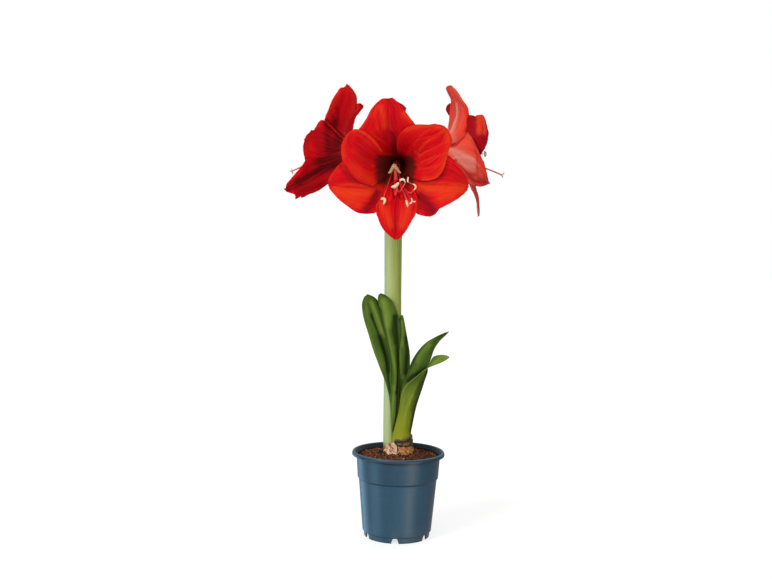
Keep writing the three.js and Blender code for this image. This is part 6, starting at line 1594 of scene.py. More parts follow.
def filament_material(name, root, tip):
    k = Nodes(name)
    s, a, q = k.split(k.attr("st").outputs["Vector"])
    pos = k.pos()
    n = k.noise(pos, 700.0, 3.0)
    c = k.mix(k.range(s, 0.25, 0.97), root, tip)
    c = k.mix(k.math("MULTIPLY", k.range(n, 0.4, 0.7), k.range(s, 0.4, 1.0, 0.0, 0.35)), c, [min(1, x * 1.3 + 0.02) for x in tip])
    k.set(Base_Color=c, Roughness=k.math("ADD", k.math("MULTIPLY", n, 0.2), 0.42), Normal=k.bump(n, 0.3, 0.0002))
    k.bsdf.inputs["IOR"].default_value = 1.25
    k.bsdf.inputs["Specular IOR Level"].default_value = 0.25
    return k.m


def anther_material(name, a_, b_, seam, dust):
    k = Nodes(name)
    s, a, q = k.split(k.attr("st").outputs["Vector"])
    pos = k.pos()
    pollen = k.voronoi(pos, 3200.0)
    n = k.noise(pos, 420.0, 4.0)
    c = k.mix(k.range(n, 0.35, 0.65), a_, b_)
    c = k.mix(k.math("MULTIPLY", k.range(k.math("ABSOLUTE", k.math("SINE", a)), 0.0, 0.35, 1.0, 0.0), 0.5), c, seam)
    c = k.mix(k.math("MULTIPLY", pollen, 0.35), c, dust)
    k.set(Base_Color=c, Roughness=k.math("ADD", k.math("MULTIPLY", n, 0.2), 0.66), Normal=k.bump(k.math("ADD", pollen, n), 0.7, 0.0003))
    k.bsdf.inputs["Specular IOR Level"].default_value = 0.25
    return k.m


def stigma_material(name, a_, b_, root=None):
    k = Nodes(name)
    s, a, q = k.split(k.attr("st").outputs["Vector"])
    pos = k.pos()
    n = k.noise(pos, 500.0, 3.0)
    v = k.voronoi(pos, 2400.0)
    c = k.mix(k.range(n, 0.35, 0.65), a_, b_)
    if root:
        c = k.mix(k.range(s, 0.60, 1.0), root, c)
    k.set(Base_Color=c, Roughness=k.math("ADD", k.math("MULTIPLY", n, 0.2), 0.42), Normal=k.bump(v, 0.5, 0.0002))
    k.bsdf.inputs["IOR"].default_value = 1.3
    return k.m


def leaf_material(name, light, dark, pale, foot, foot_mix, painted_shade=(0.0035, 0.0095, 0.0012), painted_light=(0.200, 0.290, 0.045)):
    """a strap leaf: fine parallel veins, a darker channel that is painted shade, thin pale margins painted as an edge
    highlight, yellower at the foot
    """
    k = Nodes(name)
    s, t, side = k.split(k.attr("st").outputs["Vector"])
    _, edge, rnd = k.split(k.attr("mm").outputs["Vector"])
    p_painted_shade, p_painted_light, p_brown = k.split(k.attr("paint").outputs["Vector"])
    pos = k.pos()
    seed = k.math("MULTIPLY", rnd, 23.0)
    tw = k.math("ADD", t, k.math("MULTIPLY", k.math("SUBTRACT", k.noise(k.join(k.math("MULTIPLY", s, 5.0), t, seed), 1.0, 2.0), 0.5), 0.03))
    veins = k.math("POWER", k.math("ABSOLUTE", k.math("SINE", k.math("MULTIPLY", tw, 38.0))), 0.5)
    fine = k.noise(k.join(k.math("MULTIPLY", s, 4.0), k.math("MULTIPLY", tw, 60.0), seed), 1.0, 3.0, 0.6)
    broad = k.noise(k.join(k.math("MULTIPLY", s, 5.0), k.math("MULTIPLY", t, 2.2), seed), 1.0, 3.0)
    cells = k.noise(pos, 3000.0, 2.0)
    spot = k.noise(pos, 260.0, 4.0, 0.6)
    # broad patches of lighter and darker green; the lit left half and the shaded right half of the blade are painted
    # with the strokes below
    c = k.mix(k.range(broad, 0.32, 0.70), dark, light)
    c = k.mix(k.math("MULTIPLY", k.math("SUBTRACT", 1.0, veins), 0.30), c, [x * 0.6 for x in dark])
    c = k.mix(k.math("MULTIPLY", k.range(fine, 0.45, 0.8), 0.30), c, pale)
    c = k.mix(k.math("MULTIPLY", k.range(spot, 0.62, 0.78), 0.20), c, [x * 0.5 for x in dark])
    c = k.mix(k.math("MULTIPLY", k.math("SUBTRACT", 1.0, k.range(s, 0.0, foot_mix)), 0.92), c, foot)
    c = k.mix(k.math("MULTIPLY", k.math("SUBTRACT", 1.0, k.range(s, 0.0, foot_mix * 0.22)), 0.55), c, (0.40, 0.36, 0.07))
    # painted light from the strokes
    c = k.mix(k.math("MULTIPLY", p_painted_light, k.math("ADD", 0.6, k.math("MULTIPLY", fine, 0.6)), clamp=True), c, painted_light)
    # pale margins: a painted edge highlight
    c = k.mix(k.math("MULTIPLY", k.math("SUBTRACT", 1.0, k.range(edge, 0.1, 0.8)), 0.5), c, pale)
    jitter = k.math("MULTIPLY", k.math("SUBTRACT", fine, 0.5), 0.5)
    # painted shade from the strokes: the dark channels and the shaded halves
    c = k.mix(k.math("MULTIPLY", p_painted_shade, k.math("ADD", 0.95, jitter), clamp=True), c, painted_shade)
    c = k.mix(p_brown, c, (0.30, 0.12, 0.075))
    rough = k.math("ADD", k.math("MULTIPLY", fine, 0.16), 0.36)
    h = k.math("ADD", k.math("MULTIPLY", veins, 0.7), k.math("MULTIPLY", cells, 0.18))
    k.set(Base_Color=c, Roughness=rough, Normal=k.bump(h, 0.5, 0.0004))
    k.bsdf.inputs["IOR"].default_value = 1.20
    k.bsdf.inputs["Specular IOR Level"].default_value = 0.22
    k.leafy(k.mix(0.5, c, (0.20, 0.30, 0.03)), 0.06)
    return k.m


def scape_material():
    k = Nodes("scape_skin")
    s, a, q = k.split(k.attr("st").outputs["Vector"])
    pos = k.pos()
    ca = k.math("COSINE", a)
    sa = k.math("SINE", a)
    streak = k.noise(k.scaled(pos, 1.0, 1.0, 0.035), 520.0, 4.0, 0.6)
    fine = k.noise(k.scaled(pos, 1.0, 1.0, 0.05), 1900.0, 2.0)
    cloud = k.noise(k.scaled(pos, 1.0, 1.0, 0.3), 70.0, 3.0)
    # a pale waxy coat whose side-to-side change is painted light: paler on the lit left side, darker and greener on the
    # shaded right side
    bloom_lit_side = k.range(k.math("ADD", k.math("MULTIPLY", ca, -0.9), k.math("MULTIPLY", k.math("SUBTRACT", cloud, 0.5), 0.9)), -0.35, 0.75)
    c = k.mix(bloom_lit_side, (0.235, 0.290, 0.050), (0.400, 0.490, 0.230))
    c = k.mix(k.math("MULTIPLY", k.range(streak, 0.35, 0.7), 0.38), c, (0.42, 0.49, 0.15))
    c = k.mix(k.math("MULTIPLY", k.range(fine, 0.5, 0.8), 0.28), c, (0.18, 0.25, 0.05))
    low = k.math("SUBTRACT", 1.0, k.range(s, 0.0, 0.42))
    c = k.mix(k.math("MULTIPLY", low, 0.55), c, (0.47, 0.53, 0.21))
    c = k.mix(k.math("MULTIPLY", k.math("SUBTRACT", 1.0, k.range(s, 0.02, 0.09)), 0.75), c, (0.62, 0.62, 0.36))
    xq, yq, zq = k.split(k.pos())
    c = k.mix(k.math("MULTIPLY", k.math("SUBTRACT", 1.0, k.range(k.math("ADD", zq, k.math("MULTIPLY", k.noise(k.pos(), 420.0, 3.0), 0.006)), 0.1195, 0.1245)), 0.88), c, (0.16, 0.075, 0.030))
    k.set(Base_Color=c, Roughness=k.math("ADD", k.math("MULTIPLY", cloud, 0.22), 0.40), Normal=k.bump(k.math("ADD", streak, k.math("MULTIPLY", fine, 0.5)), 0.35, 0.0005))
    k.bsdf.inputs["Specular IOR Level"].default_value = 0.25
    return k.m


def papery_material(name, a_, b_, c_, rough=0.62, scale=1.0):
    """dry scale: lengthwise fibres, stains and a little shine. st holds along, across and how torn"""
    k = Nodes(name)
    s, t, q = k.split(k.attr("st").outputs["Vector"])
    pos = k.pos()
    seed = k.math("MULTIPLY", q, 17.0)
    fibres = k.noise(k.join(k.math("MULTIPLY", s, 3.0), k.math("MULTIPLY", t, 70.0 * scale), seed), 1.0, 4.0, 0.6)
    stain = k.noise(pos, 120.0, 4.0, 0.6)
    c = k.mix(k.range(stain, 0.35, 0.65), a_, b_)
    c = k.mix(k.math("MULTIPLY", k.range(fibres, 0.42, 0.75), 0.6), c, c_)
    c = k.mix(k.math("MULTIPLY", k.range(k.noise(pos, 420.0, 3.0), 0.55, 0.8), 0.35), c, [x * 0.35 for x in a_])
    k.set(Base_Color=c, Roughness=k.math("ADD", k.math("MULTIPLY", fibres, 0.2), rough - 0.1), Normal=k.bump(fibres, 0.6, 0.0006))
    k.bsdf.inputs["Specular IOR Level"].default_value = 0.35
    return k.m


def tunic_material():
    """withered scale ends: grey, rust and brown bands with frayed fibres, and near-black and dark olive bands that are
    painted shade
    """
    k = Nodes("tunic_scales")
    s, t, q = k.split(k.attr("st").outputs["Vector"])
    pos = k.pos()
    seed = k.math("MULTIPLY", q, 17.0)
    fibres = k.noise(k.join(k.math("MULTIPLY", s, 3.0), k.math("MULTIPLY", t, 60.0), seed), 1.0, 4.0, 0.6)
    stain = k.noise(pos, 170.0, 4.0, 0.6)
    c = k.ramp(q, [(0.0, (0.014, 0.015, 0.004)), (0.25, (0.050, 0.040, 0.010)), (0.5, (0.190, 0.130, 0.034)), (0.75, (0.300, 0.125, 0.040)), (1.0, (0.42, 0.38, 0.29))], "LINEAR")
    c = k.mix(k.math("MULTIPLY", k.range(stain, 0.42, 0.68), 0.65), c, (0.050, 0.026, 0.010))
    c = k.mix(k.math("MULTIPLY", k.range(fibres, 0.52, 0.80), 0.55), c, (0.33, 0.24, 0.11))
    c = k.mix(k.math("MULTIPLY", k.range(fibres, 0.30, 0.45, 1.0, 0.0), 0.6), c, (0.012, 0.008, 0.004))
    k.set(Base_Color=c, Roughness=k.math("ADD", k.math("MULTIPLY", fibres, 0.2), 0.50), Normal=k.bump(fibres, 0.8, 0.0008))
    k.bsdf.inputs["IOR"].default_value = 1.35
    return k.m


def bulb_material():
    """bulb skin: tan and peach papery streaks on one shoulder, olive gold with rosy blotches on the other"""
    k = Nodes("bulb_skin")
    s, t, q = k.split(k.attr("st").outputs["Vector"])
    pos = k.pos()
    x, y, z = k.split(pos)
    slant = k.math("ADD", k.math("MULTIPLY", x, 0.62), k.math("MULTIPLY", z, 0.78))
    along = k.math("SUBTRACT", k.math("MULTIPLY", x, 0.78), k.math("MULTIPLY", z, 0.62))
    fib = k.noise(k.join(k.math("MULTIPLY", slant, 520.0), k.math("MULTIPLY", along, 90.0), k.math("ADD", k.math("MULTIPLY", y, 260.0), k.math("MULTIPLY", q, 17.0))), 1.0, 4.0, 0.62)
    fine = k.noise(k.join(k.math("MULTIPLY", slant, 1700.0), k.math("MULTIPLY", along, 260.0), k.math("ADD", k.math("MULTIPLY", y, 900.0), k.math("MULTIPLY", q, 9.0))), 1.0, 4.0, 0.6)
    stain = k.noise(pos, 110.0, 4.0, 0.6)
    right = k.range(x, 0.010, 0.014)
    a_ = k.mix(right, (0.52, 0.215, 0.095), (0.34, 0.130, 0.020))
    b_ = k.mix(right, (1.0, 0.77, 0.50), (0.64, 0.39, 0.085))
    c = k.mix(k.range(fib, 0.42, 0.56), a_, b_)
    c = k.mix(k.math("MULTIPLY", k.math("MULTIPLY", k.range(fine, 0.5, 0.74), k.range(right, 0.0, 1.0, 0.75, 0.25)), 1.0), c, (0.98, 0.84, 0.62))
    c = k.mix(k.math("MULTIPLY", k.range(fine, 0.28, 0.42, 1.0, 0.0), 0.65), c, (0.150, 0.052, 0.020))
    c = k.mix(k.math("MULTIPLY", k.range(stain, 0.56, 0.70), 0.60), c, (0.22, 0.070, 0.026))
    c = k.mix(k.math("MULTIPLY", k.math("MULTIPLY", right, k.range(k.noise(pos, 210.0, 2.0), 0.52, 0.66)), 0.80), c, (0.70, 0.170, 0.110))
    # wide slanting darker bands, and painted shade in the crease between the shoulders
    band = k.noise(k.join(k.math("MULTIPLY", slant, 260.0), k.math("MULTIPLY", along, 30.0), 3.0), 1.0, 3.0, 0.6)
    c = k.mix(k.math("MULTIPLY", k.range(band, 0.47, 0.38), k.range(right, 0.0, 1.0, 0.75, 0.35)), c, (0.150, 0.048, 0.018))
    cleft_shade = k.math("SUBTRACT", 1.0, k.range(k.math("ABSOLUTE", k.math("SUBTRACT", x, 0.0098)), 0.0004, 0.0016))
    c = k.mix(k.math("MULTIPLY", k.math("MULTIPLY", cleft_shade, k.range(z, 0.1125, 0.1155)), 0.75), c, (0.035, 0.011, 0.005))
    k.set(Base_Color=c, Roughness=k.math("ADD", k.math("MULTIPLY", fine, 0.22), 0.45), Normal=k.bump(k.math("ADD", k.math("ADD", fib, band), k.math("MULTIPLY", fine, 0.6)), 0.9, 0.0012))
    k.bsdf.inputs["IOR"].default_value = 1.35
    return k.m


def soil_material():
    """bark and peat: rusty crumbs, a few rosy and straw-pale bits, dark gaps"""
    k = Nodes("soil_crumbs")
    tone = k.attr("tone").outputs["Fac"]
    pos = k.pos()
    n1 = k.noise(pos, 260.0, 5.0, 0.65)
    n2 = k.noise(pos, 1100.0, 4.0, 0.6)
    n3 = k.noise(pos, 60.0, 3.0, 0.6)
    c = k.ramp(tone, [(0.0, (0.010, 0.004, 0.002)), (0.30, (0.066, 0.020, 0.008)), (0.55, (0.195, 0.058, 0.021)), (0.78, (0.300, 0.104, 0.036)), (0.92, (0.34, 0.16, 0.095)), (1.0, (0.50, 0.30, 0.20))], "LINEAR")
    c = k.mix(k.math("MULTIPLY", k.range(n1, 0.35, 0.7), 0.45), c, (0.034, 0.012, 0.006))
    c = k.mix(k.math("MULTIPLY", k.range(n2, 0.52, 0.78), 0.45), c, (0.270, 0.105, 0.050))
    c = k.mix(k.math("MULTIPLY", k.range(n3, 0.42, 0.66), 0.35), c, (0.260, 0.080, 0.028))
    c = k.mix(k.math("MULTIPLY", k.math("SUBTRACT", 1.0, k.range(tone, 0.01, 0.14)), 0.92), c, (0.007, 0.0035, 0.002))
    k.set(Base_Color=c, Roughness=k.math("ADD", k.math("MULTIPLY", n1, 0.2), 0.74), Normal=k.bump(k.math("ADD", n1, n2), 0.9, 0.0012))
    k.bsdf.inputs["IOR"].default_value = 1.3
    return k.m


def pot_material():
    """moulded polypropylene: fine grain, faint flow streaks, scuffs and dust low on the wall; painted shade above the
    step, in thin bands under the step, the lip and at the foot, on the outer face of the lip band and on the inner wall
    above the soil; and a painted highlight along the top of the lip
    """
    k = Nodes("pot_plastic")
    pos = k.pos()
    x, y, z = k.split(pos)
    dx, dy = k.math("SUBTRACT", x, 0.0112), k.math("SUBTRACT", y, 0.0076)
    r = k.math("SQRT", k.math("ADD", k.math("MULTIPLY", dx, dx), k.math("MULTIPLY", dy, dy)))
    grain = k.noise(pos, 2400.0, 3.0, 0.6)
    flow = k.noise(k.scaled(pos, 1.0, 1.0, 0.06), 60.0, 3.0, 0.5)
    dust = k.noise(pos, 35.0, 5.0, 0.65)
    scuff = k.noise(k.scaled(pos, 1.0, 1.0, 9.0), 90.0, 4.0, 0.7)
    rings = k.noise(k.scaled(pos, 0.02, 0.02, 1.0), 900.0, 2.0, 0.6)
    c = k.mix(k.range(flow, 0.3, 0.7), (0.0190, 0.058, 0.100), (0.0255, 0.073, 0.121))
    # painted shade: the wall above the step a little darker
    c = k.mix(k.math("MULTIPLY", k.range(z, 0.0764, 0.0772), 0.30), c, (0.0100, 0.031, 0.050))
    c = k.mix(k.math("MULTIPLY", k.range(rings, 0.5, 0.75), 0.20), c, (0.040, 0.092, 0.142))
    c = k.mix(k.math("MULTIPLY", k.range(dust, 0.52, 0.80), 0.12), c, (0.060, 0.095, 0.120))
    c = k.mix(k.math("MULTIPLY", k.range(scuff, 0.66, 0.80), 0.22), c, (0.11, 0.16, 0.21))
    low = k.math("SUBTRACT", 1.0, k.range(z, 0.002, 0.030))
    c = k.mix(k.math("MULTIPLY", k.math("MULTIPLY", low, k.range(dust, 0.40, 0.70)), 0.25), c, (0.110, 0.115, 0.105))
    # the wall that faces the soil, by the way it faces
    nx, ny, _ = k.split(k.node("ShaderNodeNewGeometry").outputs["True Normal"])
    facing = k.math("DIVIDE", k.math("ADD", k.math("MULTIPLY", nx, dx), k.math("MULTIPLY", ny, dy)), r)
    rim_top_highlight = k.range(z, 0.1102, 0.1118)
    outer_face = k.range(facing, 0.2, 0.8)
    # painted shade on the outer face of the lip band
    c = k.mix(k.math("MULTIPLY", k.math("MULTIPLY", outer_face, k.range(z, 0.1070, 0.1074)), 0.60), c, (0.008, 0.024, 0.038))
    # painted highlight along the top of the lip
    c = k.mix(k.math("MULTIPLY", rim_top_highlight, 0.7), c, (0.070, 0.140, 0.205))
    # painted shade in thin bands under the step, under the lip and at the foot
    for at, half, weight in ((0.0767, 0.0007, 0.85), (0.1062, 0.0016, 0.9), (0.0076, 0.0008, 0.55)):
        ledge_shade = k.range(k.math("ABSOLUTE", k.math("SUBTRACT", z, at)), half * 0.45, half, 1.0, 0.0)
        c = k.mix(k.math("MULTIPLY", k.math("MULTIPLY", ledge_shade, k.range(r, 0.0565, 0.0585, 1.0, 0.35)), weight), c, (0.006, 0.014, 0.022))
    # painted shade on the inner wall above the soil, made uneven by the dust noise
    inside = k.math("MULTIPLY", k.range(facing, -0.3, -0.7), k.range(z, 0.070, 0.085))
    inner_wall_shade = k.math("ADD", 0.76, k.math("MULTIPLY", k.range(dust, 0.35, 0.65), 0.22))
    inner_wall_shade = k.math("MULTIPLY", inner_wall_shade, k.range(z, 0.1105, 0.1118, 1.0, 0.2))
    c = k.mix(k.math("MULTIPLY", inside, inner_wall_shade), c, (0.009, 0.011, 0.015))
    rough = k.math("ADD", k.math("ADD", k.math("MULTIPLY", dust, 0.12), k.math("MULTIPLY", grain, 0.06)), 0.27)
    h = k.math("ADD", k.math("MULTIPLY", grain, 0.35), k.math("MULTIPLY", flow, 0.7))
    k.set(Base_Color=c, Roughness=rough, Normal=k.bump(h, 0.25, 0.0004))
    k.bsdf.inputs["Specular IOR Level"].default_value = 0.30
    return k.m


MATS = {
    "petal_front": petal_material(
        "petal_front", inner=(0.72, 0.0008, 0.0085), lit=(0.84, 0.0030, 0.0090), vein=(0.50, 0.0006, 0.0095), painted_shade=(0.28, 0.002, 0.010), painted_light=(0.84, 0.050, 0.010),
        outer=(0.50, 0.006, 0.012), outer_lit=(0.62, 0.020, 0.016), outer_rib=(0.50, 0.08, 0.04), base_out=(0.46, 0.085, 0.045), outer_painted_shade=(0.14, 0.004, 0.006), outer_painted_light=(0.74, 0.05, 0.02),
        pale=(0.80, 0.42, 0.34), throat=(0.135, 0.0125, 0.0095), through=0.18),
    # the left flower's outer faces are painted dark at the foot, painted shade cast by the front flower
    "petal_left": petal_material(
        "petal_left", inner=(0.66, 0.002, 0.011), lit=(0.78, 0.014, 0.011), vein=(0.46, 0.001, 0.010), painted_shade=(0.24, 0.002, 0.008), painted_light=(0.80, 0.050, 0.014),
        outer=(0.80, 0.0016, 0.0120), outer_lit=(0.90, 0.0060, 0.0130), outer_rib=(0.66, 0.003, 0.012), base_out=(0.20, 0.010, 0.012), outer_painted_shade=(0.105, 0.0030, 0.0045), outer_painted_light=(0.86, 0.022, 0.014),
        pale=(0.70, 0.30, 0.26), throat=(0.022, 0.0022, 0.0030), outer_rough=0.62, through=0.10),
    "petal_right": petal_material(
        "petal_right", inner=(0.60, 0.003, 0.012), lit=(0.76, 0.022, 0.016), vein=(0.46, 0.001, 0.010), painted_shade=(0.24, 0.003, 0.008), painted_light=(0.80, 0.060, 0.026),
        outer=(0.78, 0.072, 0.046), outer_lit=(0.86, 0.100, 0.068), outer_rib=(0.80, 0.26, 0.21), base_out=(0.48, 0.22, 0.14), outer_painted_shade=(0.40, 0.0040, 0.0105), outer_painted_light=(0.98, 0.050, 0.018),
        pale=(0.78, 0.29, 0.22), throat=(0.022, 0.0022, 0.0030), outer_rough=0.5, through=0.16),
    "stalk": stalk_material(),
    "filament_front": filament_material("filament_front", (0.62, 0.0020, 0.011), (0.92, 0.110, 0.090)),
    "filament_left": filament_material("filament_left", (0.20, 0.003, 0.010), (0.60, 0.11, 0.085)),
    "filament_right": filament_material("filament_right", (0.24, 0.004, 0.012), (0.66, 0.15, 0.12)),
    "anther": anther_material("anther_cream", (0.86, 0.56, 0.28), (0.95, 0.80, 0.52), (0.50, 0.22, 0.09), (0.97, 0.90, 0.70)),
    # a darker tan copy of the cream anther colours, painted shade for the anther far down in the throat
    "anther_shaded_tan": anther_material("anther_shaded_tan", (0.27, 0.14, 0.035), (0.52, 0.36, 0.14), (0.12, 0.05, 0.012), (0.62, 0.46, 0.24)),
    "anther_green": anther_material("anther_green", (0.32, 0.36, 0.10), (0.52, 0.56, 0.24), (0.16, 0.16, 0.04), (0.66, 0.66, 0.36)),
    "style": stigma_material("style_skin", (0.62, 0.085, 0.085), (0.72, 0.17, 0.15)),
    "style_front": stigma_material("style_front", (0.50, 0.010, 0.020), (0.60, 0.025, 0.030), root=(0.13, 0.0015, 0.007)),
    "stigma": stigma_material("stigma_skin", (0.92, 0.52, 0.44), (0.98, 0.72, 0.60)),
    "leaf_left": leaf_material("leaf_green", light=(0.090, 0.158, 0.018), dark=(0.050, 0.100, 0.011), pale=(0.165, 0.240, 0.050), foot=(0.130, 0.190, 0.022), foot_mix=0.35),
    "leaf_right": leaf_material("leaf_yellow", light=(0.130, 0.200, 0.020), dark=(0.080, 0.135, 0.014), pale=(0.210, 0.290, 0.065), foot=(0.270, 0.290, 0.013), foot_mix=0.62),
    "scape": scape_material(),
    "bulb": bulb_material(),
    "tunic": tunic_material(),
    "spathe": papery_material("spathe_paper", (0.360, 0.230, 0.110), (0.520, 0.380, 0.220), (0.640, 0.520, 0.360), scale=0.6),
    "soil": soil_material(),
    "pot": pot_material(),
}

# ------------------------------------------------------------------ flowers
FUNNEL = np.array([(7.0, 12.4), (10, 26), (15, 43), (22, 58), (31, 69.5), (42, 78.5), (55, 85), (70, 88.5), (85, 89), (100, 87)])
_x, _y = FUNNEL[:, 0], FUNNEL[:, 1]
_d = np.diff(_y) / np.diff(_x)
SLOPE = np.concatenate([[_d[0]], [(_d[i - 1] * (_x[i + 1] - _x[i]) + _d[i] * (_x[i] - _x[i - 1])) / (_x[i + 1] - _x[i - 1]) for i in range(1, len(_x) - 1)], [_d[-1]]])


def funnel(r):
    r = np.asarray(r, float)
    j = np.clip(np.searchsorted(_x, r) - 1, 0, len(_x) - 2)
    h = _x[j + 1] - _x[j]
    t = (r - _x[j]) / h
    t2, t3 = t * t, t * t * t
    v = (2 * t3 - 3 * t2 + 1) * _y[j] + (t3 - 2 * t2 + t) * h * SLOPE[j] + (3 * t2 - 2 * t3) * _y[j + 1] + (t3 - t2) * h * SLOPE[j + 1]
    return np.where(r < _x[0], _y[0] + (r - _x[0]) * SLOPE[0], np.where(r > _x[-1], _y[-1] + (r - _x[-1]) * SLOPE[-1], v))


def funnel_slope(r):
    return (funnel(r + 0.05) - funnel(r - 0.05)) / 0.1


class Frame:
    """a flower's own axes: w out of the mouth, u to the right seen from the front, v up"""

    def __init__(self, origin, direction):
        self.o = np.array(origin, float)
        self.w = unit(np.array(direction, float))
        self.u = unit(np.cross([0, 0, 1.0], self.w))
        self.v = np.cross(self.w, self.u)

    def at(self, x, y, z):
        x, y, z = (np.asarray(q, float)[..., None] for q in (x, y, z))
        return self.o + x * self.u + y * self.v + z * self.w


def tepal_grid(f, phi, rows, outer, n, m):
    """the smooth tepal that the CAD solid also follows. Returns the points and how far each is from the flower's axis"""
    R = curve_rows(rows, n)
    t = np.linspace(-1, 1, m)
    a = R[:, 0:1] + 0 * t
    b = (R[:, 1:2] + R[:, 2:3]) / 2 + (R[:, 1:2] - R[:, 2:3]) / 2 * t
    k = 1 - smooth(14, 45, a)
    th = np.clip(b / a, -1.3, 1.3)
    x = a * (1 - k) + a * np.cos(th) * k
    y = b * (1 - k) + a * np.sin(th) * k
    rho = np.hypot(x, y)
    off = 3.6 * smooth(6.5, 15, rho) if outer else 0 * rho
    sl = funnel_slope(rho)
    q = np.hypot(1, sl)
    z = funnel(rho) - off / q + R[:, 3:4] * (1 - t * t) + np.where(t > 0, R[:, 4:5], R[:, 5:6]) * t * t
    e = (rho + off * sl / q) / rho
    x, y = x * e, y * e
    c, s = math.cos(math.radians(phi)), math.sin(math.radians(phi))
    return f.at(x * c - y * s, x * s + y * c, z), a


# how each tepal departs from the smooth one, in mm: keel is the depth of the crease, back how far the margins roll back, ruf the ruffle of the margins,
# grow widens (or narrows) one margin between two places along the tepal
SHAPE = {
    "front": {
        "top": dict(keel=2.6, back=1.5, ruf=1.0, seed=11, grow=[(1, 0.04, 0.50, 1.3), (-1, 0.04, 0.50, 1.3)]),
        "upper_left": dict(keel=1.2, back=3.0, ruf=0.8, seed=12, side=(0.6, 0.0)),
        "upper_right": dict(keel=2.2, back=2.8, ruf=0.9, seed=13, side=(0.0, 0.8)),
        "lower_left": dict(keel=3.0, back=0.6, ruf=1.0, seed=14, side=(1.0, 0.0)),
        "lower_right": dict(keel=3.4, back=0.6, ruf=1.0, seed=15, side=(0.0, 1.0)),
        "bottom": dict(keel=3.2, back=-0.4, ruf=0.9, seed=16),
    },
    "left": {
        "top": dict(keel=2.2, back=-1.5, ruf=1.2, seed=21),
        "near_upper": dict(keel=2.0, back=1.5, ruf=1.4, seed=22),
        "near_lower": dict(keel=2.6, back=1.2, ruf=1.4, seed=23),
        "bottom": dict(keel=1.8, back=0.8, ruf=1.2, seed=24),
        "far_lower": dict(keel=2.2, back=1.6, ruf=1.5, seed=25),
        "far_upper": dict(keel=1.6, back=1.2, ruf=1.0, seed=26),
    },
    "right": {
        "top": dict(keel=2.4, back=-1.2, ruf=0.9, seed=31),
        "near_upper": dict(keel=1.8, back=1.5, ruf=1.2, seed=32, crimson=1.0),
        "near_lower": dict(keel=2.2, back=1.6, ruf=1.0, seed=33),
        "bottom": dict(keel=1.2, back=0.4, ruf=0.3, seed=34, whole=1),
        "far_lower": dict(keel=2.2, back=1.6, ruf=1.5, seed=35),
        "far_upper": dict(keel=1.8, back=1.4, ruf=1.0, seed=36, crimson=1.0),
    },
}
# the dark throat of the front flower, a squarish patch in the flower's face that is partly its own dark colour and
# partly painted shade: left, right, lower and upper side, mm, and how soft they are
THROAT = dict(box=(-24.5, 21.5, -23.0, 11.5), soft=(7.5, 6.5, 9.0, 5.0))


def strokes(key, G, s1, m, N):
    """the painted strokes of one tepal or leaf: four tones, painted light and painted shade among them, and the rise of
    the surface, at every grid point
    """
    n = G.shape[0]
    out = {"painted_shade": 0, "painted_light": 0, "pale": 0, "clear": 0, "throat": 0, "brown": 0}
    rise = np.zeros(G.shape[:2])
    for kind, strength, width, lift, places in PAINT.get(key, []):
        path = []
        for s, t in places:
            i = np.interp(s, s1, np.arange(n))
            j = (t + 1) / 2 * (m - 1)
            i0, j0 = int(min(i, n - 2)), int(min(j, m - 2))
            u, v = i - i0, j - j0
            path.append(G[i0, j0] * (1 - u) * (1 - v) + G[i0 + 1, j0] * u * (1 - v) + G[i0, j0 + 1] * (1 - u) * v + G[i0 + 1, j0 + 1] * u * v)
        Q = curve_rows(path, 30) if len(path) > 2 else np.linspace(path[0], path[-1], 2)
        d2 = np.full(G.shape[:2], 1e9)
        for a, b in zip(Q[:-1], Q[1:]):                    # nearest point of the stroke
            ab = b - a
            u = np.clip(((G - a) @ ab) / max(ab @ ab, 1e-9), 0, 1)
            d2 = np.minimum(d2, ((G - a - u[..., None] * ab) ** 2).sum(-1))
        f = np.exp(-d2 / width**2)
        out[kind] = 1 - (1 - out[kind]) * (1 - strength * f)
        rise = rise + lift * np.exp(-d2 / (1.15 * width) ** 2)
    zero = np.zeros(G.shape[:2])
    # clearing strokes lift the painted shade
    painted_shade = (out["painted_shade"] + zero) * (1 - out["clear"])
    return np.stack([painted_shade, out["painted_light"] + zero, np.maximum(out["pale"] + zero, 0), out["throat"] + zero, out["brown"] + zero, out["clear"] + zero], -1), rise


